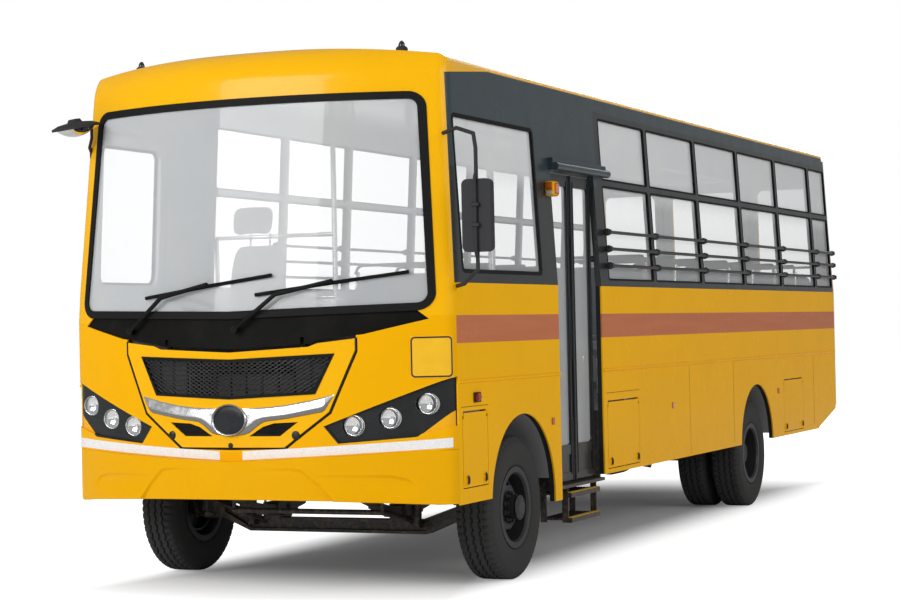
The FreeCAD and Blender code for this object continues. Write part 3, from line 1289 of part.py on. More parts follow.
def roll_bar(sign):
    """Half of the anti-roll bar, from the middle round to the beam, with its link to the rail."""
    x = sign * ROLL_BAR_X
    corner = V(x, ROLL_BAR_Y, ROLL_BAR_Z)
    route = [V(0, ROLL_BAR_Y, ROLL_BAR_Z), corner, V(sign * (ROLL_BAR_X + 16), -BEAM_WIDTH / 2 - 30,
                                                     BEAM_Z + 44),
             V(sign * (ROLL_BAR_X + 16), -BEAM_WIDTH / 2 + 12, BEAM_Z + 20)]
    link_top = RAIL_TOP_Z - RAIL_DEPTH + 70
    rail_face = sign * (RAIL_X + RAIL_WIDTH / 2)
    low, high = sorted((rail_face, x + sign * 12))
    return [bent_tube(route, ROLL_BAR_R), rod(corner, V(x, ROLL_BAR_Y, link_top), 11.0),
            box(low, high, ROLL_BAR_Y - 24, ROLL_BAR_Y + 24, link_top - 24, link_top + 24)]


def make_front_axle():
    """A forged drop beam with kingpin eyes on two leaf springs, with dampers and an anti-roll bar."""
    half = BEAM_DEPTH / 2
    eye_in = KINGPIN_X - PIN_BOSS_R + 8
    upper = [(0.0, BEAM_Z + half), (560.0, BEAM_Z + half), (eye_in, AXLE_Z + 36.0)]
    lower = [(eye_in + 6, AXLE_Z - 40.0), (600.0, BEAM_Z - half), (0.0, BEAM_Z - half)]
    beam = prism_y(mirrored_outline(upper + lower), -BEAM_WIDTH / 2, BEAM_WIDTH / 2)
    groove_half = half - 18
    flute = [(0.0, BEAM_Z + groove_half), (550.0, BEAM_Z + groove_half), (780.0, AXLE_Z - 20),
             (780.0, AXLE_Z - 50), (590.0, BEAM_Z - groove_half), (0.0, BEAM_Z - groove_half)]
    flutes = [prism_y(mirrored_outline(flute), y, y + 40) for y in (-BEAM_WIDTH / 2 - 10,
                                                                    BEAM_WIDTH / 2 - 30)]
    beam = beam.cut(flutes)
    parts = [beam]
    for sign in (-1, 1):
        x = sign * KINGPIN_X
        parts.append(rod(V(x, 0, AXLE_Z - PIN_BOSS_HALF), V(x, 0, AXLE_Z + PIN_BOSS_HALF), PIN_BOSS_R))
        parts += leaf_spring(0.0, BEAM_Z + half + 18, RAIL_TOP_Z - RAIL_DEPTH - 30, sign)
        parts += damper(sign) + roll_bar(sign)
    axle = fused(parts)
    for sign in (-1, 1):
        x = sign * KINGPIN_X
        axle = axle.cut(rod(V(x, 0, AXLE_Z - 200), V(x, 0, AXLE_Z + 200), KINGPIN_R + SHAFT_GAP))
    export("front_axle", axle)


def make_rear_axle():
    """The driven axle: tube, round centre housing and leaf springs."""
    centre = V(0, WHEELBASE, AXLE_Z)
    end = TRACK_OUTER_X - 95.0
    parts = [rod(centre - V(640, 0, 0), centre + V(640, 0, 0), AXLE_TUBE_R)]
    parts.append(rod(centre - V(end, 0, 0), centre + V(end, 0, 0), STUB_R))
    parts.append(rod(centre - V(0, 150, 0), centre + V(0, 60, 0), 175.0))
    parts.append(Part.makeSphere(168.0, centre + V(0, 40, 0)))
    parts.append(rod(centre - V(0, 330, 0), centre, 60.0))
    for sign in (-1, 1):
        parts += leaf_spring(WHEELBASE, AXLE_Z + AXLE_TUBE_R - 4, RAIL_TOP_Z - RAIL_DEPTH - 16, sign)
    shaft = rod(V(0, WHEELBASE - 325, AXLE_Z), V(0, GEARBOX_Y + SEAT_GAP, SHAFT_FRONT_Z), 42.0)
    shaft = shaft.cut(box(-100, 100, 0, GEARBOX_Y + SEAT_GAP, 0, 900))
    export("rear_axle", fused(parts + [shaft]))


def tyre(centre_x, centre_y):
    """A hollow tyre with round shoulders and thick beads."""
    half = TYRE_WIDTH / 2
    centre = V(centre_x, centre_y, AXLE_Z)
    left = [(-half + BEAD_SET, RIM_R + 1), (-half + BEAD_SET, RIM_FLANGE_R + 2),
            (-half + 7, RIM_FLANGE_R + 14),
            (-half, RIM_FLANGE_R + 70), (-half + 5, TYRE_R - 42), (-half + 24, TYRE_R - 9), (-half + 60,
                                                                                             TYRE_R)]
    outer = left + [(-x, radius) for x, radius in reversed(left)]
    carcass = TYRE_CARCASS
    inner = [(half - 20 - carcass, RIM_R + 1), (half - 14 - carcass, RIM_FLANGE_R + 10),
             (half - carcass, RIM_FLANGE_R + 72), (half - carcass - 4, TYRE_R - 52),
             (half - carcass - 30, TYRE_R - carcass - 8), (-half + carcass + 30, TYRE_R - carcass - 8),
             (-half + carcass + 4, TYRE_R - 52), (-half + carcass, RIM_FLANGE_R + 72),
             (-half + carcass + 14, RIM_FLANGE_R + 10), (-half + 20 + carcass, RIM_R + 1)]
    return ring(outer + inner, centre)


def rim(centre_x, centre_y, dish):
    """A steel disc wheel: barrel with two flanges and a dished disc with hand holes."""
    half = TYRE_WIDTH / 2 - BEAD_SET + 8 + SEAT_GAP
    gauge = RIM_GAUGE
    centre = V(centre_x, centre_y, AXLE_Z)
    barrel = ring([(-half, RIM_R), (-half, RIM_FLANGE_R), (-half + 8, RIM_FLANGE_R),
                   (-half + 8, RIM_R + 0.7),
                   (half - 8, RIM_R + 0.7), (half - 8, RIM_FLANGE_R), (half, RIM_FLANGE_R), (half, RIM_R),
                   (half - 14, RIM_R - gauge), (-half + 14, RIM_R - gauge)], centre)
    edge = RIM_R - gauge + 1
    out = dish
    disc = ring([(out * 0.2, edge), (out, 130.0), (out, STUB_R + SHAFT_GAP + 6),
                 (out - gauge - 3, STUB_R + SHAFT_GAP + 6),
                 (out - gauge - 3, 128.0), (out * 0.2 - gauge - 3, edge - 4)], centre)
    for index in range(HAND_HOLES):
        angle = 2 * math.pi * index / HAND_HOLES
        spot = centre + V(-300, HAND_HOLE_PITCH_R * math.sin(angle), HAND_HOLE_PITCH_R * math.cos(angle))
        disc = disc.cut(Part.makeCylinder(HAND_HOLE_R, 600, spot, V(1, 0, 0)))
    return [barrel, disc]


def hub(x_face, x_back, centre_y, sign, drum_x0, drum_x1, cap_x):
    """Hub with a running bore, brake drum, bolts and a domed cap."""
    axis = V(sign, 0, 0)

    def at(x):
        return V(sign * x, centre_y, AXLE_Z)

    barrel = Part.makeCylinder(HUB_R - 24, cap_x - x_back, at(x_back), axis)
    flange = Part.makeCylinder(HUB_R, 16.0, at(x_face - 16), axis)
    drum = Part.makeCylinder(DRUM_R, drum_x1 - drum_x0, at(drum_x0), axis)
    hollow = Part.makeCylinder(DRUM_R - 12, drum_x1 - drum_x0 - 12, at(drum_x0 - 1), axis)
    parts = [drum.cut(hollow), barrel, flange]
    for index in range(BOLT_COUNT):
        angle = 2 * math.pi * index / BOLT_COUNT
        spot = at(x_face - 1) + V(0, BOLT_PITCH_R * math.sin(angle), BOLT_PITCH_R * math.cos(angle))
        parts.append(Part.makeCylinder(BOLT_R, 34.0, spot, axis))
    body = fused(parts)
    bore = Part.makeCylinder(STUB_R + SHAFT_GAP, cap_x - x_back - 14, at(x_back - 2), axis)
    return body.cut(bore)


def make_wheels():
    """Single front wheels and twin rear wheels, one body each."""
    outer_x = TRACK_OUTER_X - TYRE_WIDTH / 2
    inner_x = outer_x - TWIN_PITCH
    for side, sign in (("left", 1), ("right", -1)):
        export("tyre_front_" + side, tyre(sign * outer_x, 0.0))
        parts = rim(sign * outer_x, 0.0, sign * WHEEL_DISH)
        parts.append(hub(outer_x + WHEEL_DISH, KINGPIN_X + 62.0, 0.0, sign, KINGPIN_X + 62.0,
                         outer_x + WHEEL_DISH - 40.0, outer_x + WHEEL_DISH + 62.0))
        export("wheel_front_" + side, fused(parts))
        export("tyre_rear_" + side, [tyre(sign * outer_x, WHEELBASE), tyre(sign * inner_x, WHEELBASE)])
        seat = (outer_x + inner_x) / 2
        parts = rim(sign * outer_x, WHEELBASE, sign * (seat - outer_x + 12))
        parts += rim(sign * inner_x, WHEELBASE, sign * (seat - inner_x))
        parts.append(hub(seat + 24.0, 660.0, WHEELBASE, sign, 660.0, seat - 6.0, CAP_REAR_X))
        export("wheel_rear_" + side, fused(parts))


def make_knuckles():
    """Forked steering knuckles with kingpins, stub axles and track arms."""
    for side, sign in (("left", 1), ("right", -1)):
        x = sign * KINGPIN_X
        lugs = []
        for end in (-1, 1):
            z0 = AXLE_Z + end * (PIN_BOSS_HALF + KNUCKLE_GAP)
            z1 = AXLE_Z + end * (PIN_BOSS_HALF + 34.0)
            lugs.append(rod(V(x, 0, z0), V(x, 0, z1), PIN_BOSS_R - 4))
            low, high = sorted((x, sign * (KINGPIN_X + 56.0)))
            lower, upper = sorted((z0, z1))
            lugs.append(box(low, high, -38, 38, lower, upper))
        pin = rod(V(x, 0, AXLE_Z - PIN_BOSS_HALF - 40), V(x, 0, AXLE_Z + PIN_BOSS_HALF + 40), KINGPIN_R)
        low, high = sorted((sign * (KINGPIN_X + PIN_BOSS_R + 5.5), sign * (KINGPIN_X + PIN_BOSS_R + 15.5)))
        back = box(low, high, -55, 55, AXLE_Z - 90, AXLE_Z + 90)
        stub = rod(V(sign * (KINGPIN_X + PIN_BOSS_R + 10), 0, AXLE_Z),
                   V(sign * (TRACK_OUTER_X - TYRE_WIDTH / 2 + WHEEL_DISH + 40), 0, AXLE_Z), STUB_R)
        arm = box(*sorted((x - sign * 60, sign * (KINGPIN_X - 5.0))), 30, 190, AXLE_Z - 98, AXLE_Z - 74)
        arm_seat = box(*sorted((sign * (KINGPIN_X - 30), sign * (KINGPIN_X + 30.0))), 20, 80, AXLE_Z - 98,
                       AXLE_Z - 57)
        export("knuckle_" + side, fused(lugs + [pin, back, stub, arm, arm_seat]))


def passenger_seat(x0, x1, y):
    """A bench with a cushion, a tall back and a tube frame standing on the floor."""
    cushion = box(x0, x1, y, y + 400, CUSHION_Z - 90, CUSHION_Z)
    outline = [(y + 385, CUSHION_Z - 30), (y + 470, CUSHION_Z - 30), (y + 560, CUSHION_Z + 560),
               (y + 500, CUSHION_Z + 560)]
    back = prism_x(outline, x0, x1)
    legs = []
    for x in (x0 + 60, x1 - 60):
        legs.append(box(x - 15, x + 15, y + 60, y + 380, FLOOR_Z, CUSHION_Z - 88))
    return fused([cushion, back] + legs)


def make_passenger_seats():
    """Rows of benches on both sides of the aisle."""
    edge = HALF_WIDTH - WALL - 14
    seats = []
    for row in range(SEAT_ROWS):
        y = SEAT_FIRST_Y + SEAT_PITCH * row
        seats.append(passenger_seat(edge - SEAT_WIDTH, edge, y))
        seats.append(passenger_seat(-edge, -edge + SEAT_WIDTH, y))
    box_form = Part.makeCylinder(ARCH_REAR_R + LINER_GAUGE + SEAT_GAP, 2 * HALF_WIDTH,
                                 V(-HALF_WIDTH, WHEELBASE, ARCH_REAR_Z), V(1, 0, 0))
    export("passenger_seats", [seat.cut(box_form) for seat in seats])


def make_driver_place():
    """Driver's seat, steering wheel and dashboard."""
    x0 = DRIVER_X - 240
    x1 = DRIVER_X + 240
    base = box(x0 + 60, x1 - 60, DRIVER_Y - 320, DRIVER_Y - 20, DRIVER_SEAT_FOOT_Z, 1330.0)
    cushion = box(x0, x1, DRIVER_Y - 400, DRIVER_Y + 40, 1328.0, 1440.0)
    back = prism_x([(DRIVER_Y + 20, 1400.0), (DRIVER_Y + 130, 1400.0), (DRIVER_Y + 240, 2080.0),
                    (DRIVER_Y + 160, 2080.0)],
                   x0 + 10, x1 - 10)
    head = prism_x([(DRIVER_Y + 165, 2075.0), (DRIVER_Y + 245, 2075.0), (DRIVER_Y + 270, 2290.0),
                    (DRIVER_Y + 200, 2290.0)],
                   DRIVER_X - 150, DRIVER_X + 150)
    export("driver_seat", fused([base, cushion, back, head]))
    tub = envelope(WALL + SEAT_GAP)
    profile = [(DASH_FRONT_Y, DASH_FOOT_Z), (-1000.0, DASH_FOOT_Z), (-960.0, 1130.0), (-960.0, 1440.0),
               (-1040.0, 1520.0), (DASH_FRONT_Y, 1520.0)]
    dash = prism_x(profile, -HALF_WIDTH, HALF_WIDTH).common(envelope(COWL_SET + 26.0)).common(tub)
    corners = both_sides(box(LAMP_CLEAR_X, HALF_WIDTH, -FAR / 3, -965.0, 0, 1160.0))
    dash = dash.cut(corners)
    dash = dash.cut(box(-ENGINE_HALF - COVER_WALL, ENGINE_HALF + COVER_WALL, -FAR / 3, -900, 0,
                        COVER_TOP_Z))
    binnacle = prism_x([(-1040.0, 1500.0), (-980.0, 1440.0), (-930.0, 1480.0), (-930.0, 1560.0),
                        (-1010.0, 1600.0)],
                       DRIVER_X - 220, DRIVER_X + 220)
    export("dashboard", fused([dash, binnacle]))
    hub_point = V(DRIVER_X, -640.0, 1600.0)
    lean = V(0, -0.42, -0.9075)
    wheel = Part.makeTorus(225.0, 15.0, hub_point, lean * -1)
    column = rod(hub_point, hub_point + lean * (hub_point.z - FLOOR_Z) * (1 / 0.9075), 26.0)
    column = column.common(box(-FAR, FAR, -FAR, FAR, FLOOR_Z, FAR))
    boss = Part.makeCylinder(52.0, 40.0, hub_point + lean * 20, lean * -1)
    spokes = [rod(hub_point, hub_point + V(225 * math.cos(a), 225 * math.sin(a) * 0.9075,
                                           -225 * math.sin(a) * 0.42), 9.0)
              for a in (math.radians(d) for d in (0, 180, 90, 270))]
    export("steering_wheel", fused([wheel, column, boss] + spokes))


def make_grab_rails():
    """Poles, partition and roof rails seen through the glass."""
    ceiling = CROWN_Z - WALL
    poles = []
    for x, y in ((WELL_MID_X - 60, DOOR_Y0 - 40), (WELL_MID_X - 60, DOOR_Y1 + 60), (-240.0, 480.0),
                 (-240.0, 1900.0), (240.0, 1900.0)):
        top = ceiling - EAVE_RISE * (x / HALF_WIDTH) ** 2 + 12
        poles.append(rod(V(x, y, FLOOR_Z), V(x, y, top), 16.0))
    inner = envelope(WALL)
    rails = []
    for x in (-300.0, 300.0):
        rails.append(rod(V(x, 700.0, 2800.0), V(x, 7500.0, 2800.0), 16.0))
        for y in (900.0, 2900.0, 4900.0, 7300.0):
            rails.append(rod(V(x, y, 2800.0), V(x, y, ceiling), 10.0))
    screen = []
    for z in (1300.0, 1700.0, 2100.0):
        screen.append(rod(V(-1100.0, 480.0, z), V(-240.0, 480.0, z), 14.0))
    screen.append(rod(V(-1100.0, 480.0, FLOOR_Z), V(-1100.0, 480.0, 2100.0), 14.0))
    screen.append(box(-1100.0, -240.0, 474.0, 486.0, 1310.0, 1690.0))
    export("grab_rails", fused(poles + screen).common(inner).Solids + [fused(rails[:5]).common(inner),
                                                                       fused(rails[5:]).common(inner)])


def make_guard_bars():
    """Three round bars outside the lower windows, clamped at each post."""
    posts = [WINDOW_START_Y - 30] + [POST_Y + POST_PITCH * index for index in range(POST_COUNT)] + [GUARD_Y1 - 22]
    left = []
    for z in GUARD_ZS:
        x = half_width(z) + GUARD_OUT
        left.append(rod(V(x, GUARD_Y0, z), V(x, GUARD_Y1, z), GUARD_R))
        for y in posts:
            left.append(rod(V(half_width(z) - 4, y, z), V(x + 16, y, z), 17.0))
    side = prism_y([(0.0, BELT_Z), (HALF_WIDTH, BELT_Z), (half_width(FLAT_SIDE_Z), FLAT_SIDE_Z),
                    (0.0, FLAT_SIDE_Z)],
                   0.0, TAIL_Y)
    return both_sides(fused(left).cut(side))


def bent_tube(points, radius):
    """Straight tubes with round balls at the bends."""
    parts = [rod(start, end, radius) for start, end in zip(points, points[1:])]
    parts += [Part.makeSphere(radius, point) for point in points[1:-1]]
    return fused(parts)


def look_down_mirror():
    """A round convex mirror that looks down over the right front corner, on a short bent arm."""
    profile = [V(0, 0, 0), V(DISH_R, 0, 0), V(DISH_R, 0, DISH_RIM), V(DISH_R * 0.72, 0, 30), V(44, 0, 38),
               V(34, 0, 56), V(0, 0, 58)]
    cover = face_of(profile).revolve(V(0, 0, 0), V(0, 0, 1), 360)
    drop = math.sqrt(DISH_BALL_R ** 2 - DISH_GLASS_R ** 2)
    ball = Part.makeSphere(DISH_BALL_R, V(0, 0, drop))
    glass = ball.common(box(-DISH_R, DISH_R, -DISH_R, DISH_R, -DISH_BALL_R, 0))
    for shape in (cover, glass):
        shape.rotate(V(0, 0, 0), V(1, 0, 0), 10)
        shape.rotate(V(0, 0, 0), V(0, 1, 0), -5)
        shape.translate(DISH_CENTRE)
    seat = DISH_CENTRE + DISH_ARM_SEAT
    arm = bent_tube([DISH_FOOT, DISH_FOOT + V(11, -45, 42), seat - V(0, 0, 80), seat], DISH_ARM_R)
    plate = prism_y([(-20.0, 44.0), (22.0, 44.0), (12.0, -64.0), (-6.0, -64.0)], -12.0, 30.0)
    plate.rotate(V(0, 0, 0), V(0, 0, 1), -45)
    plate.translate(DISH_FOOT)
    bracket = fused([cover, arm, plate]).cut(envelope(0.0))
    return max(bracket.Solids, key=lambda solid: solid.Volume), glass


def make_mirrors():
    """The left mirror's arm and rectangular head, and the look-down mirror on the right."""
    head_x = MIRROR_X + 5
    route = [V(half_width(2560) - 30, MIRROR_Y + 75, 2560.0),
             V(half_width(2560) + 70, MIRROR_Y + 30, 2580.0),
             V(head_x - 20, MIRROR_Y - 20, 2540.0), V(head_x, MIRROR_Y - 40, 2460.0), V(head_x,
                                                                                        MIRROR_Y - 40, 1800.0),
             V(half_width(1700) + 60, MIRROR_Y + 10, 1725.0), V(half_width(1700) - 30, MIRROR_Y + 75,
                                                                1712.0)]
    arm = bent_tube(route, 11.0)
    head = rounded_outline([V(head_x - 78, 0, 1895.0), V(head_x + 92, 0, 1895.0), V(head_x + 92, 0, 2290.0),
                            V(head_x - 78, 0, 2290.0)], 32.0)
    head.translate(V(0, MIRROR_Y - 66, 0))
    head = head.extrude(V(0, 52, 0))
    left = arm.fuse(head).cut(envelope(0.0))
    left = max(left.Solids, key=lambda solid: solid.Volume)
    right, right_glass = look_down_mirror()
    export("mirror_arms", [left, right])
    glass = rounded_outline([V(head_x - 68, 0, 1905.0), V(head_x + 82, 0, 1905.0),
                             V(head_x + 82, 0, 2280.0),
                             V(head_x - 68, 0, 2280.0)], 24.0)
    glass.translate(V(0, MIRROR_Y - 14, 0))
    export("mirror_glasses", [glass.extrude(V(0, 4, 0)), right_glass])


def screen_y(x, z, stand):
    """Station of the nose skin at a spot on the front, stood off outwards."""
    return nose_line(z) + NOSE_BOW_R - math.sqrt(NOSE_BOW_R ** 2 - x ** 2) - stand


def make_wipers():
    """Two arms with blades parked across the foot of the windscreen."""
    wipers = []
    for x in WIPER_PIVOTS:
        y = screen_y(x, WIPER_Z, 0.0)
        pivot = rod(V(x, y + COWL_SET, WIPER_Z), V(x, y - 34, WIPER_Z), 17.0)
        bend = V(x + 250, screen_y(x + 250, 1690.0, 44.0), 1690.0)
        root = V(x, y - 26, WIPER_Z)
        tip = V(x + 560, screen_y(x + 560, 1760.0, 34.0), 1758.0)
        arm = bent_tube([root, bend, tip], 9.0)
        start = V(x + 120, screen_y(x + 120, 1690.0, 14.0), 1692.0)
        end = V(x + 950, screen_y(x + 950, 1800.0, 14.0), 1798.0)
        middle = V(x + 560, screen_y(x + 560, 1750.0, 14.0), 1748.0)
        blade = bent_tube([start, middle, end], 8.0)
        link = rod(tip, middle, 7.0)
        wiper = fused([pivot, arm, blade, link]).cut(nose_form(-6.0).common(box(-FAR, FAR, -FAR, FAR,
                                                                                1545, FAR)))
        wiper = wiper.cut(nose_form(COWL_SET))
        wipers.append(max(wiper.Solids, key=lambda solid: solid.Volume))
    export("wipers", wipers)


def make_lamps_small():
    """Roof beacons, side repeaters, reflectors, post lamp and tail lamps."""
    lamps = []
    for x in (-852.0, 852.0):
        base_z = CROWN_Z - EAVE_RISE * (x / HALF_WIDTH) ** 2 - 14
        beacon = Part.makeCylinder(34.0, 44.0, V(x, -795.0, base_z), V(0, 0, 1))
        bulb = Part.makeCylinder(20.0, 34.0, V(x, -795.0, base_z + 44.0), V(0, 0, 1))
        lamps.append(beacon.fuse(bulb).cut(SKIN))
    for y, z in ((-678.0, 1098.0),):
        lamps.append(box(HALF_WIDTH, HALF_WIDTH + 22, y - 60, y + 60, z - 24, z + 24))
    for y in (2850.0, 5703.0):
        lamps.append(box(HALF_WIDTH, HALF_WIDTH + 8, y - 22, y + 22, 880.0, 924.0))
        lamps.append(box(-HALF_WIDTH - 8, -HALF_WIDTH, y - 22, y + 22, 880.0, 924.0))
    lamps.append(box(-HALF_WIDTH - 22, -HALF_WIDTH, -985.0 + 75, -985.0 + 95, 1074.0, 1122.0))
    lamps.append(box(1170.0, 1262.0, 506.0, 600.0, 2275.0, 2372.0).cut(SKIN))
    tails = []
    for sign in (-1, 1):
        low, high = sorted((sign * 700.0, sign * 1060.0))
        tails.append(box(low, high, TAIL_Y, TAIL_Y + 24, 1080.0, 1190.0))
    export("marker_lamps", lamps + tails)


def make_underbody():
    """Fuel tank and exhaust hung from the frame."""
    tank = rounded_outline([V(-880.0, 2500.0, 470.0), V(-480.0, 2500.0, 470.0), V(-480.0, 2500.0, 780.0),
                            V(-880.0, 2500.0, 780.0)], 60.0).extrude(V(0, 1100, 0))
    straps = []
    for y in (2700.0, 3300.0):
        straps.append(box(-484.0, -RAIL_X - RAIL_WIDTH / 2, y, y + 60, 600.0, 660.0))
    export("fuel_tank", fused([tank] + straps))
    silencer = Part.makeCylinder(105.0, 760.0, V(620.0, 1700.0, 600.0), V(0, 1, 0))
    tail = bent_tube([V(620.0, 2440.0, 600.0), V(620.0, 2560.0, 600.0), V(1120.0, 2640.0, 505.0)], 34.0)
    bracket = box(RAIL_X + RAIL_WIDTH / 2, 560.0, 2000.0, 2050.0, 590.0, 660.0)
    pipe = bent_tube([V(620.0, 1720.0, 580.0), V(620.0, 1640.0, 530.0), V(200.0, 1500.0, 510.0),
                      V(200.0, 660.0, 520.0)], 30.0)
    export("exhaust", fused([silencer, tail, bracket, pipe]))


def main():
    """Builds and writes every sub-part."""
    os.makedirs(OUT, exist_ok=True)
    make_front()
    make_bumper()
    make_nose_lid()
    make_lamps()
    make_sides()
    make_skirt_hatches()
    make_driver_door()
    panes = make_window_bands()
    make_roof()
    panes += make_tail()
    export("cabin_glass", panes)
    make_service_door()
    make_chassis()
    make_floor()
    make_engine()
    make_entry_steps()
    make_front_axle()
    make_rear_axle()
    make_wheels()
    make_knuckles()
    make_passenger_seats()
    make_driver_place()
    make_grab_rails()
    export("guard_bars", make_guard_bars())
    make_mirrors()
    make_wipers()
    make_lamps_small()
    make_underbody()


if __name__ == "__main__":
    main()
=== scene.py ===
"""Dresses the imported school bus: paint, glass, rubber, tyres, lamps, seats and small fittings.

Every length is in metres: X to the bus's own left, Y towards the tail, Z up from the road.
Pieces are drawn about the body's centre plane and moved by BODY_X, where that plane lies in the
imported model, when their mesh is made. Stations are measured from the front axle.
"""

from __future__ import annotations

import json
import logging
import math
from dataclasses import dataclass, field
from enum import Enum

import bmesh
import bpy
import numpy as np
from mathutils import Matrix, Vector

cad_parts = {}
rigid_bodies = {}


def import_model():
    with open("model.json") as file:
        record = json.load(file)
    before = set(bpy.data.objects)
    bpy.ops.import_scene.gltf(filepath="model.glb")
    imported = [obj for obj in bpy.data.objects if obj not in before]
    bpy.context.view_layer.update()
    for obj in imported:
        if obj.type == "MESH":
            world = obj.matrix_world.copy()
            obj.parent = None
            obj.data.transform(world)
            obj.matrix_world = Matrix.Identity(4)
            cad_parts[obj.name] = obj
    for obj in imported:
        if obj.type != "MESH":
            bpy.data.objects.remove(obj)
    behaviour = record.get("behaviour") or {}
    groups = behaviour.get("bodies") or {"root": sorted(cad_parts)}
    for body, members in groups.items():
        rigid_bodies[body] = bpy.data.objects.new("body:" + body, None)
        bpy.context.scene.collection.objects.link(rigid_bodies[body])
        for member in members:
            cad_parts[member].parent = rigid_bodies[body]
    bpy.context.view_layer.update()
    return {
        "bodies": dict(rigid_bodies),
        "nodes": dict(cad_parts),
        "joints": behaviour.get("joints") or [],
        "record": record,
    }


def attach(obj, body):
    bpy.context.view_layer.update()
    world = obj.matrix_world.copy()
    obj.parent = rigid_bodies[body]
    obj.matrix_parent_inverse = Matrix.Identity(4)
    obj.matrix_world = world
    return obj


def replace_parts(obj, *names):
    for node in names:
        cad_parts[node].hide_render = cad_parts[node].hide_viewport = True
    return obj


LOG = logging.getLogger("bus")

FRONT_AXLE_Y = -3.258
BODY_X = -0.10815
WHEELBASE = 5.057
AXLE_Z = 0.424
HALF_WIDTH = 1.220
BELT_Z = 1.735
SIDE_LEAN = 0.0558
CROWN_Z = 3.078
CROWN_DROP = 0.063
TAIL_STATION = 7.860
TYRE_WIDTH = 0.235
TYRE_MIDDLE_X = 1.170 - TYRE_WIDTH / 2

SHARP_ANGLE = math.radians(38.0)
MERGE_DISTANCE = 1.0e-6
FULL_TURN = 2 * math.pi
QUARTER_TURN = math.pi / 2
SIDES = ((1.0, "left"), (-1.0, "right"))
AHEAD = Vector((0, -1, 0))
BACKWARDS = Vector((0, 1, 0))
UP = Vector((0, 0, 1))
EVEN = (1.0, 1.0, 1.0)

Colour = tuple[float, float, float]
Forms = dict[str, tuple[np.ndarray, np.ndarray]]
Socket = bpy.types.NodeSocket


class Body(Enum):
    """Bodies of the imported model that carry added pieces."""

    BUS = "bus_body"
    NOSE_LID = "front_lid"
    DRIVER_DOOR = "driver_door"
    FRONT_LEAF = "door_front_leaf"
    REAR_LEAF = "door_rear_leaf"
    LID_FRONT = "skirt_lid_front"
    LID_MIDDLE = "skirt_lid_middle"
    LID_REAR = "skirt_lid_rear"
    WHEEL_FRONT_LEFT = "front_wheel_left"
    WHEEL_FRONT_RIGHT = "front_wheel_right"
    WHEEL_REAR_LEFT = "rear_wheel_left"
    WHEEL_REAR_RIGHT = "rear_wheel_right"


def station(value: float | np.ndarray) -> float | np.ndarray:
    """Turns a station behind the front axle into a Y of the frame."""
    return value + FRONT_AXLE_Y


def half_width(z: np.ndarray | float) -> np.ndarray | float:
    """Half the skin's width at a height: straight to the belt, then leaning in."""
    return HALF_WIDTH - np.maximum(np.asarray(z) - BELT_Z, 0.0) * SIDE_LEAN


def srgb(red: int, green: int, blue: int) -> Colour:
    """Turns a screen colour, 0 to 255 a channel, into linear light by the sRGB curve."""
    levels = np.array([red, green, blue]) / 255.0
    linear = np.where(levels <= 0.04045, levels / 12.92, ((levels + 0.055) / 1.055) ** 2.4)
    return tuple(float(v) for v in linear)


def dimmed(colour: Colour, share: float) -> Colour:
    """A colour with every channel cut to a share."""
    return tuple(c * share for c in colour)


def between(first: np.ndarray, last: np.ndarray, share: np.ndarray) -> np.ndarray:
    """Values from one line to another: rows run along the lines, columns follow the share."""
    return first[:, None] + (last - first)[:, None] * share[None]


# ---------------------------------------------------------------- meshes


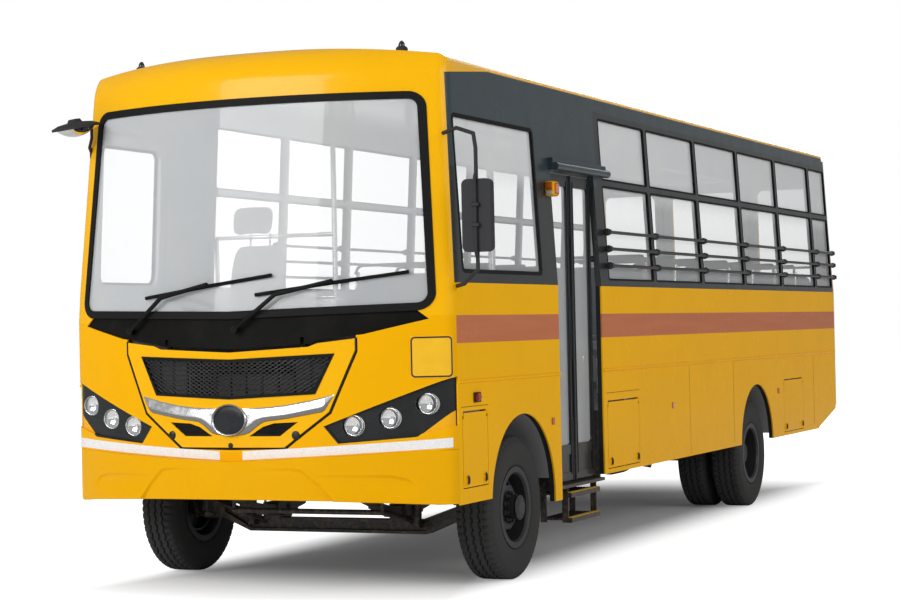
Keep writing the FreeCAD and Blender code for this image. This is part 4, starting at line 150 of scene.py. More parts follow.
class Patchwork:
    """Vertices and faces of one piece, gathered from grids, and then made a mesh."""

    def __init__(self) -> None:
        """Starts an empty piece."""
        self.points: list[np.ndarray] = []
        self.faces: list[np.ndarray] = []
        self.count = 0

    def take(self, points: np.ndarray, faces: np.ndarray) -> None:
        """Adds points and the four-cornered faces between them."""
        self.points.append(points.reshape(-1, 3))
        self.faces.append(faces + self.count)
        self.count += points.size // 3

    @staticmethod
    def _quads(rows: int, columns: int, wrap_rows: bool, wrap_columns: bool) -> np.ndarray:
        """Corner numbers of the cells of a grid, each cell joined to its neighbours."""
        row = np.arange(rows if wrap_rows else rows - 1)
        column = np.arange(columns if wrap_columns else columns - 1)
        i, j = np.meshgrid(row, column, indexing="ij")
        i2, j2 = (i + 1) % rows, (j + 1) % columns
        corners = (i * columns + j, i * columns + j2, i2 * columns + j2, i2 * columns + j)
        return np.stack(corners, -1).reshape(-1, 4)

    def grid(self, points: np.ndarray, wrap_rows: bool = False, wrap_columns: bool = False) -> Patchwork:
        """Adds a surface given as a grid of points.

        Args:
            points: Array of rows by columns by three.
            wrap_rows: Whether the last row joins the first.
            wrap_columns: Whether the last column joins the first.

        Returns:
            The same patchwork.
        """
        rows, columns = points.shape[:2]
        self.take(points, self._quads(rows, columns, wrap_rows, wrap_columns))
        return self

    def slab(self, front: np.ndarray, back: np.ndarray) -> Patchwork:
        """Adds a closed plate between two grids of the same size.

        Formula: the two grids are joined along their four borders by strips of cells.
        """
        rows, columns = front.shape[:2]
        cells = self._quads(rows, columns, False, False)
        size = rows * columns
        index = np.arange(size).reshape(rows, columns)
        border = np.concatenate([index[0], index[1:, -1], index[-1, -2::-1], index[-2:0:-1, 0]])
        after = np.roll(border, -1)
        strip = np.stack([border, after, after + size, border + size], -1)
        faces = np.concatenate([cells, cells[:, ::-1] + size, strip])
        self.take(np.concatenate([front.reshape(-1, 3), back.reshape(-1, 3)]), faces)
        return self

    def sleeve(self, rings: np.ndarray, first: np.ndarray | None = None,
               last: np.ndarray | None = None) -> Patchwork:
        """Adds a row of closed rings whose two ends are closed on a point.

        Args:
            rings: Array of rings by points by three.
            first: The point that closes the first ring; its middle if left out.
            last: The point that closes the last ring; its middle if left out.

        Returns:
            The same patchwork.
        """
        ends = (rings[0].mean(0) if first is None else first, rings[-1].mean(0) if last is None else last)
        start, finish = (np.repeat(np.reshape(end, (1, 1, 3)), rings.shape[1], 1) for end in ends)
        return self.grid(np.concatenate([start, rings, finish]), wrap_columns=True)

    def lathe(self, profile: np.ndarray, origin: Vector, axis: Vector, sides: int = 32) -> Patchwork:
        """Adds a turned shape.

        Formula: each profile pair (along, radius) sweeps a circle about the axis line; a radius
        of zero closes the end.
        """
        along, across, third = axis_frame(axis)
        angle = np.linspace(0.0, FULL_TURN, sides, endpoint=False)
        ring = np.cos(angle)[:, None] * across + np.sin(angle)[:, None] * third
        points = np.asarray(origin) + profile[:, 0, None, None] * along + profile[:, 1, None, None] * ring
        return self.grid(points, wrap_columns=True)

    def tube(self, path: np.ndarray, radius: float, sides: int = 10) -> Patchwork:
        """Adds a round bar along a path.

        Formula: circles square to the path's direction, turned as little as possible from one to
        the next, with a point at each end that closes them.
        """
        across, third = path_frames(path)
        angle = np.linspace(0.0, FULL_TURN, sides, endpoint=False)
        ring = np.cos(angle)[None, :, None] * across[:, None] + np.sin(angle)[None, :, None] * third[:, None]
        return self.sleeve(path[:, None] + radius * ring, path[0], path[-1])

    def ribbon(self, path: np.ndarray, outline: np.ndarray, side: Vector) -> Patchwork:
        """Adds a bar with a flat or shaped section along a path.

        Formula: section pairs (across, out) are laid off along the side direction and the
        direction square to it and to the path; the ends are closed on their middle.
        """
        ahead = np.gradient(path, axis=0)
        ahead /= np.linalg.norm(ahead, axis=1, keepdims=True)
        lateral = np.asarray(side, float)[None] - ahead * (ahead @ np.asarray(side, float))[:, None]
        lateral /= np.linalg.norm(lateral, axis=1, keepdims=True)
        out = np.cross(lateral, ahead)
        offsets = outline[None, :, 0, None] * lateral[:, None], outline[None, :, 1, None] * out[:, None]
        return self.sleeve(path[:, None] + offsets[0] + offsets[1])

    def brick(self, low: tuple, high: tuple, round_off: float = 0.003) -> Patchwork:
        """Adds a block with bevelled edges.

        Formula: a stack of rectangles, drawn in by the bevel at its two ends, with cut corners;
        the bevel takes at most 45 percent of the thinnest side.
        """
        low, high = np.array(low, float), np.array(high, float)
        r = min(round_off, float((high - low).min()) * 0.45)
        centre, reach = (low + high) / 2, (high - low) / 2

        def loop(inset: float, z: float) -> np.ndarray:
            """Eight corners of a rectangle with cut corners at a height."""
            x, y = reach[0] - inset, reach[1] - inset
            quarter = [(x, y - r), (x - r, y), (-x + r, y), (-x, y - r)]
            flat = quarter + [(-a, -b) for a, b in quarter]
            return np.array([(centre[0] + a, centre[1] + b, z) for a, b in flat])

        top, foot = high[2], low[2]
        rings = [loop(r, foot), loop(0.0, foot + r), loop(0.0, top - r), loop(r, top)]
        return self.sleeve(np.stack(rings), (*centre[:2], foot), (*centre[:2], top))

    def block(self, sign: float, x: tuple, y: tuple, z: tuple, round_off: float) -> Patchwork:
        """Adds a brick on one side of the bus, with its X span given for the left side and Y as stations."""
        low, high = sorted((sign * x[0], sign * x[1]))
        return self.brick((low, station(y[0]), z[0]), (high, station(y[1]), z[1]), round_off)

    def mesh(self, name: str) -> bpy.types.Mesh:
        """Makes the mesh: joins doubled points, turns the faces outwards and marks sharp edges.

        Args:
            name: Name of the new mesh.

        Returns:
            The finished mesh.
        """
        points = np.concatenate(self.points) + (BODY_X, 0.0, 0.0)
        faces = np.concatenate(self.faces)
        data = bpy.data.meshes.new(name)
        data.vertices.add(len(points))
        data.vertices.foreach_set("co", points.astype(np.float32).ravel())
        data.loops.add(faces.size)
        data.loops.foreach_set("vertex_index", faces.ravel().astype(np.int32))
        data.polygons.add(len(faces))
        data.polygons.foreach_set("loop_start", np.arange(0, faces.size, 4, dtype=np.int32))
        data.update(calc_edges=True)
        work = bmesh.new()
        work.from_mesh(data)
        bmesh.ops.remove_doubles(work, verts=work.verts, dist=MERGE_DISTANCE)
        bmesh.ops.dissolve_degenerate(work, edges=work.edges, dist=MERGE_DISTANCE)
        bmesh.ops.recalc_face_normals(work, faces=work.faces)
        work.to_mesh(data)
        work.free()
        data.polygons.foreach_set("use_smooth", np.ones(len(data.polygons), bool))
        data.set_sharp_from_angle(angle=SHARP_ANGLE)
        return data


def axis_frame(axis: Vector) -> tuple[np.ndarray, np.ndarray, np.ndarray]:
    """Three unit directions square to each other, the first along the axis."""
    along = np.asarray(axis, float)
    along = along / np.linalg.norm(along)
    helper = np.array([0.0, 0.0, 1.0]) if abs(along[2]) < 0.9 else np.array([0.0, 1.0, 0.0])
    across = np.cross(along, helper)
    across /= np.linalg.norm(across)
    return along, across, np.cross(along, across)


def path_frames(path: np.ndarray) -> tuple[np.ndarray, np.ndarray]:
    """Two directions square to a path at each point, with no sudden turn.

    Formula: one fixed direction, the least used by the path, is made square to each step.
    """
    ahead = np.gradient(path, axis=0)
    ahead /= np.linalg.norm(ahead, axis=1, keepdims=True)
    helper = np.zeros(3)
    helper[int(np.abs(ahead).max(0).argmin())] = 1.0
    across = np.cross(ahead, helper)
    across /= np.linalg.norm(across, axis=1, keepdims=True)
    return across, np.cross(ahead, across)


def smooth_path(corners: list[tuple], count: int) -> np.ndarray:
    """A smooth line through points.

    Formula: a Catmull-Rom cubic between each pair of points, sampled evenly in its parameter.
    """
    knots = np.array(corners, float)
    knots = np.concatenate([2 * knots[:1] - knots[1:2], knots, 2 * knots[-1:] - knots[-2:-1]])
    spans = len(corners) - 1
    t = np.linspace(0.0, spans, count)
    i = np.minimum(t.astype(int), spans - 1)
    u = (t - i)[:, None]
    a, b, c, d = knots[i], knots[i + 1], knots[i + 2], knots[i + 3]
    return 0.5 * (2 * b + (c - a) * u + (2 * a - 5 * b + 4 * c - d) * u**2 + (3 * b - a - 3 * c + d) * u**3)


def rounded_loop(width: float, height: float, radius: float, per_corner: int = 6) -> np.ndarray:
    """Outline pairs of a rectangle with round corners, about its centre."""
    turn = np.linspace(0.0, QUARTER_TURN, per_corner)
    pieces = []
    for quarter, (sx, sy) in enumerate(((1, 1), (-1, 1), (-1, -1), (1, -1))):
        angle = turn + quarter * QUARTER_TURN
        pieces.append(np.stack([sx * (width / 2 - radius) + radius * np.cos(angle),
                                sy * (height / 2 - radius) + radius * np.sin(angle)], -1))
    return np.concatenate(pieces)


def mesh_points(data: bpy.types.Mesh) -> np.ndarray:
    """The vertices of a mesh as an array of rows by three."""
    flat = np.zeros(len(data.vertices) * 3, np.float32)
    data.vertices.foreach_get("co", flat)
    return flat.reshape(-1, 3)


def loop_corners(data: bpy.types.Mesh) -> np.ndarray:
    """The vertex number of each corner of each face of a mesh."""
    corner = np.zeros(len(data.loops), np.int32)
    data.loops.foreach_get("vertex_index", corner)
    return corner


def add_object(name: str, data: bpy.types.ID) -> bpy.types.Object:
    """Puts a mesh, lamp or camera into the scene."""
    item = bpy.data.objects.new(name, data)
    bpy.context.scene.collection.objects.link(item)
    return item


def add_piece(name: str, shape: Patchwork | bpy.types.Mesh, finish: Finish, body: Body) -> bpy.types.Object:
    """Makes a piece, gives it its finish and lets it ride on a body.

    Args:
        name: Plain name of the piece.
        shape: Its surfaces, or a finished mesh.
        finish: What its surface is made of.
        body: The body that it moves with.

    Returns:
        The new object.
    """
    data = shape.mesh(name) if isinstance(shape, Patchwork) else shape
    piece = add_object(name, data)
    data.materials.clear()
    data.materials.append(finish.material())
    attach(piece, body.value)
    LOG.info("piece %s: %d faces", name, len(data.polygons))
    return piece


# ---------------------------------------------------------------- finishes


class Recipe:
    """Builds one node material around a Principled shader."""

    def __init__(self, name: str) -> None:
        """Starts a material that holds a Principled shader and its output."""
        self.item = bpy.data.materials.new(name)
        self.item.use_nodes = True
        self.tree = self.item.node_tree
        self.tree.nodes.clear()
        self.shader = self.node("BsdfPrincipled")
        self.out = self.node("OutputMaterial", self.shader.outputs[0])
        self.coords = self.node("TexCoord")
        self.split = None

    def plug(self, socket: Socket, value: object) -> None:
        """Sets a socket to a number, a direction or a colour, or links it."""
        if isinstance(value, Socket):
            self.tree.links.new(value, socket)
        elif socket.type == "RGBA":
            socket.default_value = (*value, 1.0)
        else:
            socket.default_value = value

    def node(self, kind: str, *values: object, **named: object) -> bpy.types.Node:
        """A new node whose inputs are set or linked by their order or their names."""
        made = self.tree.nodes.new("ShaderNode" + kind)
        for key, value in (*enumerate(values), *named.items()):
            self.plug(made.inputs[key], value)
        return made

    def put(self, socket: str, value: object) -> None:
        """Sets or links an input of the Principled shader."""
        self.plug(self.shader.inputs[socket], value)

    def surface(self, socket: Socket) -> None:
        """Takes the surface from a socket other than the Principled shader's."""
        self.plug(self.out.inputs[0], socket)

    def axis(self, name: str) -> Socket:
        """One coordinate of the surface point: "X", "Y" or "Z"."""
        if self.split is None:
            self.split = self.node("SeparateXYZ", self.coords.outputs["Object"])
        return self.split.outputs[name]

    def stored(self, name: str) -> Socket:
        """A number kept with the mesh's points."""
        node = self.node("Attribute")
        node.attribute_name = name
        return node.outputs["Fac"]

    def facing(self, name: str) -> Socket:
        """One coordinate of the surface's own direction."""
        return self.node("SeparateXYZ", self.node("NewGeometry").outputs["True Normal"]).outputs[name]

    def outward(self) -> Socket:
        """How far the surface looks away from the bus's long plane."""
        return self.times(self.facing("X"), self.calc("SIGN", self.axis("X")))

    def reach(self) -> Socket:
        """Distance of the surface point from the body's centre plane."""
        return self.calc("ABSOLUTE", self.calc("SUBTRACT", self.axis("X"), BODY_X))

    def calc(self, kind: str, *values: object, clamp: bool = False) -> Socket:
        """A Math node over sockets and numbers."""
        node = self.node("Math", *values)
        node.operation = kind
        node.use_clamp = clamp
        return node.outputs[0]

    def times(self, first: object, second: object, clamp: bool = False) -> Socket:
        """The product of two values."""
        return self.calc("MULTIPLY", first, second, clamp=clamp)

    def above(self, value: object, limit: object) -> Socket:
        """1 where a value is greater than a limit."""
        return self.calc("GREATER_THAN", value, limit)

    def below(self, value: object, limit: object) -> Socket:
        """1 where a value is less than a limit."""
        return self.calc("LESS_THAN", value, limit)

    def ramp(self, value: Socket, low: float, high: float, start: float = 0.0,
             end: float = 1.0) -> Socket:
        """A smooth step from start to end while the value goes from low to high."""
        node = self.node("MapRange", value, low, high, start, end)
        node.interpolation_type = "SMOOTHSTEP"
        return node.outputs[0]

    def noise(self, scale: float, detail: float = 4.0, stretch: Colour = EVEN,
              rough: float = 0.55) -> Socket:
        """Noise over the surface point, stretched along the axes."""
        mapping = self.node("Mapping", Vector=self.coords.outputs["Object"], Scale=stretch)
        texture = self.node("TexNoise", Vector=mapping.outputs[0], Scale=scale, Detail=detail,
                            Roughness=rough)
        return texture.outputs["Fac"]

    def cells(self, scale: float) -> Socket:
        """Distance to the nearest cell centre over the surface point."""
        texture = self.node("TexVoronoi", Vector=self.coords.outputs["Object"], Scale=scale)
        return texture.outputs["Distance"]

    def blend(self, share: object, first: object, second: object) -> Socket:
        """A mix of two colours by a share."""
        node = self.node("Mix")
        node.data_type = "RGBA"
        for index, value in ((0, share), (6, first), (7, second)):
            self.plug(node.inputs[index], value)
        return node.outputs[2]

    def bump(self, height: Socket, distance: float, strength: float = 1.0) -> None:
        """Lets a height stand out of the surface, on top of any bump that is there."""
        node = self.node("Bump", Distance=distance, Strength=strength, Height=height)
        before = self.shader.inputs["Normal"].links
        if before:
            self.plug(node.inputs["Normal"], before[0].from_socket)
        self.put("Normal", node.outputs[0])


@dataclass(frozen=True)
class Finish:
    """What a surface is made of; each kind builds its own node material once."""

    name: str

    def material(self) -> bpy.types.Material:
        """The node material, built the first time it is asked for."""
        ready = bpy.data.materials.get(self.name)
        if ready is None:
            recipe = Recipe(self.name)
            self.fill(recipe)
            ready = recipe.item
        return ready

    def fill(self, recipe: Recipe) -> None:
        """Gives a recipe this finish's nodes.

        Args:
            recipe: The material being built.
        """
        raise NotImplementedError


@dataclass(frozen=True)
class Paint(Finish):
    """Sprayed body paint with road dust low down, a stripe on the sides and a lining inside."""

    colour: Colour
    roughness: float = 0.24
    coat: float = 0.6
    gloss: float = 0.5
    dust: float = 0.25
    stripe: bool = False
    lining: Colour | None = None
    lining_side: str = ""
    arm_place: tuple[float, float] | None = None
    frame_tone: Colour | None = None
    reveal: Colour | None = None

    STRIPE_FOOT = (1.4015, 1.4035)
    STRIPE_HEAD = (1.5555, 1.5575)
    DUST_LINE = (0.45, 1.05)
    REVEAL_DEPTH = (0.009, 0.011)
    ARM_HALF = 0.012
    WINDOW_HEAD_Z = 2.878
    DOOR_REAR_STATION = 1.475
    DOOR_HEAD_Z = 2.380

    def fill(self, recipe: Recipe) -> None:
        """Paint from dust, a stripe, a lining and orange peel."""
        cloud = recipe.noise(1.7, 5.0)
        colour = recipe.blend(recipe.ramp(cloud, 0.35, 0.70), self.colour, dimmed(self.colour, 0.97))
        z = recipe.axis("Z")
        if self.stripe:
            inside = recipe.times(recipe.ramp(z, *self.STRIPE_FOOT),
                                  recipe.ramp(z, *self.STRIPE_HEAD, 1.0, 0.0))
            streak = recipe.noise(9.0, 3.0, (1.0, 0.12, 2.0))
            earth = recipe.blend(recipe.ramp(streak, 0.3, 0.7), srgb(196, 117, 80), srgb(201, 123, 86))
            colour = recipe.blend(inside, colour, earth)
        if self.frame_tone is not None:
            colour = recipe.blend(self._window_frames(recipe), colour, self.frame_tone)
        speck = recipe.noise(38.0, 6.0)
        low = recipe.ramp(z, *self.DUST_LINE, 1.0, 0.0)
        dirt = recipe.times(recipe.times(low, recipe.ramp(speck, 0.42, 0.75)), self.dust, clamp=True)
        colour = recipe.blend(dirt, colour, srgb(150, 122, 84))
        # Points more than about 10 mm inboard of the skin, as in the wheel arches and the door opening, take
        # the reveal colour: dark on the side sheets, lining grey on the driver's door.
        if self.reveal is not None:
            deep = recipe.ramp(recipe.stored("depth"), *self.REVEAL_DEPTH)
            colour = recipe.blend(deep, colour, self.reveal)
        if self.lining is not None:
            colour = recipe.blend(self._inner(recipe), colour, self.lining)
        if self.arm_place is not None:
            colour = recipe.blend(self._arm(recipe), colour, (0.015, 0.015, 0.015))
        recipe.put("Base Color", colour)
        worn = recipe.ramp(recipe.noise(6.0, 4.0), 0.3, 0.8, self.roughness - 0.03, self.roughness + 0.06)
        recipe.put("Roughness", recipe.calc("ADD", worn, recipe.times(dirt, 0.5), clamp=True))
        recipe.put("Coat Weight", self.coat)
        recipe.put("Coat Roughness", 0.06)
        recipe.put("Specular IOR Level", self.gloss)
        recipe.bump(recipe.noise(2.2, 2.0), 0.006, 0.25)
        recipe.bump(recipe.noise(420.0, 2.0), 0.0003, 0.18)

    def _window_frames(self, recipe: Recipe) -> Socket:
        """Share of the darker tone round the side windows.

        Formula: 1 below the windows' head aft of the service door, and everywhere below the
        door's head.
        """
        z = recipe.axis("Z")
        aft = recipe.above(recipe.axis("Y"), station(self.DOOR_REAR_STATION))
        beside = recipe.times(recipe.below(z, self.WINDOW_HEAD_Z), aft)
        return recipe.calc("MAXIMUM", beside, recipe.below(z, self.DOOR_HEAD_Z))

    def _arm(self, recipe: Recipe) -> Socket:
        """Share of black on the lid's two arms: near their distance from the centre, above the lid."""
        away = recipe.calc("ABSOLUTE", recipe.calc("SUBTRACT", recipe.reach(), self.arm_place[0]))
        raised = recipe.above(recipe.axis("Z"), self.arm_place[1])
        return recipe.times(recipe.below(away, self.ARM_HALF), raised)

    def _inner(self, recipe: Recipe) -> Socket:
        """Share of lining, 0 on outer paint and 1 where the surface looks into the bus."""
        if self.lining_side == "side":
            return recipe.ramp(recipe.outward(), -0.35, -0.25, 1.0, 0.0)
        if self.lining_side == "nose":
            return recipe.ramp(recipe.facing("Y"), 0.25, 0.35)
        return recipe.ramp(recipe.facing("Y" if self.lining_side == "tail" else "Z"), -0.35, -0.20, 1.0, 0.0)


@dataclass(frozen=True)
class Plastic(Finish):
    """Moulded black or grey plastic with fine grain and faded patches."""

    colour: Colour
    roughness: float = 0.45
    grain: float = 650.0
    gloss: float = 0.3
    cut_corner: Colour | None = None

    CORNER_X = 1.030
    CORNER_Z = 0.897
    CORNER_SLOPE = 0.80

    def fill(self, recipe: Recipe) -> None:
        """Grained plastic."""
        fade = recipe.ramp(recipe.noise(5.0, 5.0), 0.35, 0.75)
        pale = tuple(min(1.0, c * 1.25 + 0.003) for c in self.colour)
        tone = recipe.blend(fade, self.colour, pale)
        if self.cut_corner is not None:
            tone = recipe.blend(self._corner(recipe), tone, self.cut_corner)
        recipe.put("Base Color", tone)
        worn = recipe.ramp(recipe.noise(14.0, 4.0), 0.3, 0.8, self.roughness - 0.07, self.roughness + 0.12)
        recipe.put("Roughness", worn)
        recipe.put("Specular IOR Level", self.gloss)
        recipe.bump(recipe.cells(self.grain), 0.0004, 0.35)

    def _corner(self, recipe: Recipe) -> Socket:
        """Share of body colour on a lamp group's lower outer corner.

        Formula: 1 outside the corner's start and below a line that climbs outwards from it.
        """
        reach = recipe.reach()
        climb = recipe.times(recipe.calc("SUBTRACT", reach, self.CORNER_X), self.CORNER_SLOPE)
        under = recipe.below(recipe.axis("Z"), recipe.calc("ADD", climb, self.CORNER_Z))
        return recipe.times(under, recipe.above(reach, self.CORNER_X))


@dataclass(frozen=True)
class Rubber(Finish):
    """Black rubber with dry dust in its hollows."""

    colour: Colour
    dust: float

    def fill(self, recipe: Recipe) -> None:
        """Dusty rubber."""
        fine = recipe.noise(55.0, 8.0, rough=0.7)
        share = recipe.times(recipe.ramp(fine, 0.45, 0.8), self.dust)
        recipe.put("Base Color", recipe.blend(share, self.colour, (0.16, 0.14, 0.12)))
        recipe.put("Roughness", recipe.ramp(fine, 0.3, 0.8, 0.55, 0.85))
        recipe.put("Specular IOR Level", 0.15)
        recipe.bump(recipe.noise(260.0, 4.0), 0.0006, 0.4)


@dataclass(frozen=True)
class Metal(Finish):
    """Bare or plated metal with faint smears."""

    colour: Colour
    roughness: float
    brushed: bool = False
    # Tone of a painted reflection of the darker ground, on faces that look down.
    under: Colour | None = None

    def fill(self, recipe: Recipe) -> None:
        """Plated or brushed metal; with a tone for them, faces that look down take a painted reflection of
        the darker ground.
        """
        stretch = (1.0, 0.05, 1.0) if self.brushed else EVEN
        smear = recipe.noise(24.0, 5.0, stretch)
        tone = recipe.blend(recipe.ramp(smear, 0.4, 0.8), self.colour, dimmed(self.colour, 0.82))
        # Painted reflection: faces that look down take the darker tone.
        if self.under is not None:
            tone = recipe.blend(recipe.ramp(recipe.facing("Z"), -0.12, -0.04, 1.0, 0.0), tone, self.under)
        recipe.put("Base Color", tone)
        recipe.put("Metallic", 1.0)
        worn = recipe.ramp(smear, 0.3, 0.8, self.roughness * 0.8, self.roughness * 1.6 + 0.02)
        recipe.put("Roughness", worn)
        recipe.bump(recipe.noise(180.0, 3.0, stretch), 0.0002, 0.15 if self.brushed else 0.03)


@dataclass(frozen=True)
class Glass(Finish):
    """Flat glass that lets the cabin show, with a painted pale reflection on its outer face and a clean
    gloss.
    """

    # Share of the painted pale reflection face on, its extra share at grazing angles, and the share of the
    # painted sky reflection on the upper panes.
    pale_reflection: float
    grazing_reflection_gain: float
    outlook: str = "side"
    painted_sky_reflection: float = 0.0

    TINT = (0.995, 0.998, 0.998)
    SKY_REFLECTION_LINE = (2.26, 2.42)
    TAIL_PANES_STATION = 7.5

    def fill(self, recipe: Recipe) -> None:
        """See-through glass as a clear layer mixed with a glossy pale one, which is a painted reflection.

        Light passes it freely; the painted reflection is seen by the camera only. It grows at grazing angles,
        and on the upper side panes by a painted sky reflection. It lies once on each pane, on the side that
        looks out.
        """
        smear = recipe.ramp(recipe.noise(3.0, 4.0), 0.35, 0.7)
        recipe.put("Base Color", recipe.blend(smear, (0.94, 0.97, 1.0), (0.98, 1.0, 1.0)))
        recipe.put("Roughness", 0.04)
        recipe.put("Specular IOR Level", 0.6)
        # Painted reflection: the pale layer's share rises from its face-on level towards grazing angles, plus
        # a painted sky reflection that rises with height on the upper panes.
        edge = recipe.node("LayerWeight", Blend=0.35).outputs["Facing"]
        share = recipe.ramp(edge, 0.0, 1.0, self.pale_reflection, self.pale_reflection + self.grazing_reflection_gain)
        if self.painted_sky_reflection:
            painted_sky_share = recipe.ramp(recipe.axis("Z"), *self.SKY_REFLECTION_LINE, 0.0, self.painted_sky_reflection)
            share = recipe.calc("ADD", share, painted_sky_share)
        share = recipe.times(share, recipe.node("LightPath").outputs["Is Camera Ray"])
        share = recipe.times(share, self._outer(recipe))
        clear = recipe.node("BsdfTransparent", self.TINT)
        mix = recipe.node("MixShader", share, clear.outputs[0], recipe.shader.outputs[0])
        recipe.surface(mix.outputs[0])

    def _outer(self, recipe: Recipe) -> Socket:
        """1 on the first surface of a pane seen from outside the bus, 0 elsewhere."""
        if self.outlook == "side":
            at_tail = recipe.above(recipe.axis("Y"), station(self.TAIL_PANES_STATION))
            out = recipe.calc("MAXIMUM", recipe.outward(), recipe.times(recipe.facing("Y"), at_tail))
        else:
            out = recipe.times(recipe.facing("Y"), -1.0 if self.outlook == "nose" else 1.0)
        behind = recipe.node("NewGeometry").outputs["Backfacing"]
        return recipe.times(recipe.above(out, 0.2), recipe.calc("SUBTRACT", 1.0, behind))


@dataclass(frozen=True)
class Lens(Finish):
    """Coloured or clear lamp lens with moulded flutes."""

    colour: Colour
    transmission: float = 0.35

    def fill(self, recipe: Recipe) -> None:
        """A fluted lens."""
        tone = recipe.ramp(recipe.noise(30.0, 3.0), 0.3, 0.7)
        recipe.put("Base Color", recipe.blend(tone, self.colour, dimmed(self.colour, 0.8)))
        recipe.put("Transmission Weight", self.transmission)
        recipe.put("Roughness", 0.12)
        recipe.put("Coat Weight", 0.5)
        recipe.bump(recipe.cells(160.0), 0.0006, 0.5)


@dataclass(frozen=True)
class Cloth(Finish):
    """Woven seat cover with a fine cross weave and sheen."""

    colour: Colour
    second: Colour

    THREADS = 1600.0

    def fill(self, recipe: Recipe) -> None:
        """A weave from two crossing waves and a slow tone."""
        weave = [recipe.calc("SINE", recipe.times(recipe.axis(name), self.THREADS)) for name in ("X", "Z")]
        crossed = recipe.times(*weave)
        tone = recipe.ramp(recipe.noise(11.0, 6.0), 0.3, 0.75)
        base = recipe.blend(tone, self.colour, self.second)
        hollow = recipe.ramp(crossed, -1.0, 1.0, 0.0, 0.35)
        recipe.put("Base Color", recipe.blend(hollow, base, dimmed(self.colour, 0.6)))
        recipe.put("Roughness", 0.85)
        recipe.put("Sheen Weight", 0.35)
        recipe.bump(crossed, 0.0005, 0.35)


@dataclass(frozen=True)
class TyreRubber(Finish):
    """Dark tyre rubber, greyed by dust."""

    def fill(self, recipe: Recipe) -> None:
        """Tyre rubber with cloudy dust."""
        cloud = recipe.noise(9.0, 8.0, rough=0.65)
        fine = recipe.noise(120.0, 5.0)
        dust = recipe.times(recipe.ramp(cloud, 0.35, 0.75), 0.42)
        base = recipe.blend(recipe.ramp(fine, 0.3, 0.7), (0.020, 0.0195, 0.019), (0.032, 0.031, 0.030))
        recipe.put("Base Color", recipe.blend(dust, base, (0.088, 0.078, 0.066)))
        recipe.put("Roughness", recipe.ramp(cloud, 0.3, 0.75, 0.62, 0.9))
        recipe.bump(fine, 0.0009, 0.4)


@dataclass(frozen=True)
class Tape(Finish):
    """Pressed reflective tape with a fine honeycomb under its skin."""

    colour: Colour

    def fill(self, recipe: Recipe) -> None:
        """Reflective tape."""
        comb = recipe.ramp(recipe.cells(210.0), 0.30, 0.62)
        recipe.put("Base Color", recipe.blend(comb, self.colour, dimmed(self.colour, 0.86)))
        recipe.put("Roughness", recipe.ramp(recipe.noise(20.0, 3.0), 0.3, 0.8, 0.22, 0.38))
        recipe.put("Coat Weight", 0.4)
        recipe.bump(comb, 0.0002, 0.3)


@dataclass(frozen=True)
class Signboard(Finish):
    """A blank yellow square with a black outline, laid on the corner of the nose."""

    ALONG = (1.034, 1.272)
    UP = (1.216, 1.447)
    LINE = 0.009
    MARGIN = 0.004
    CORNER = 0.024
    SOFT = 0.001

    def fill(self, recipe: Recipe) -> None:
        """A blank board whose rounded outline follows its own map."""
        mapped = recipe.node("SeparateXYZ", recipe.coords.outputs["UV"])
        beyond = []
        for name, (low, high) in (("X", self.ALONG), ("Y", self.UP)):
            away = recipe.calc("ABSOLUTE", recipe.calc("SUBTRACT", mapped.outputs[name], 0.5))
            straight = (high - low) / 2 - self.MARGIN - self.CORNER
            over = recipe.calc("SUBTRACT", recipe.times(away, high - low), straight)
            over = recipe.calc("MAXIMUM", over, 0.0)
            beyond.append(recipe.times(over, over))
        reach = recipe.calc("SQRT", recipe.calc("ADD", *beyond))
        outside, line = (recipe.ramp(reach, edge - self.SOFT, edge + self.SOFT)
                         for edge in (self.CORNER, self.CORNER - self.LINE))
        tone = recipe.blend(recipe.ramp(recipe.noise(12.0), 0.3, 0.7), srgb(252, 196, 26), srgb(248, 190, 22))
        tone = recipe.blend(line, tone, (0.02, 0.02, 0.02))
        recipe.put("Base Color", recipe.blend(outside, tone, Stuff.SHADED_NOSE_YELLOW))
        recipe.put("Roughness", 0.32)
        recipe.bump(recipe.noise(300.0), 0.0002, 0.2)


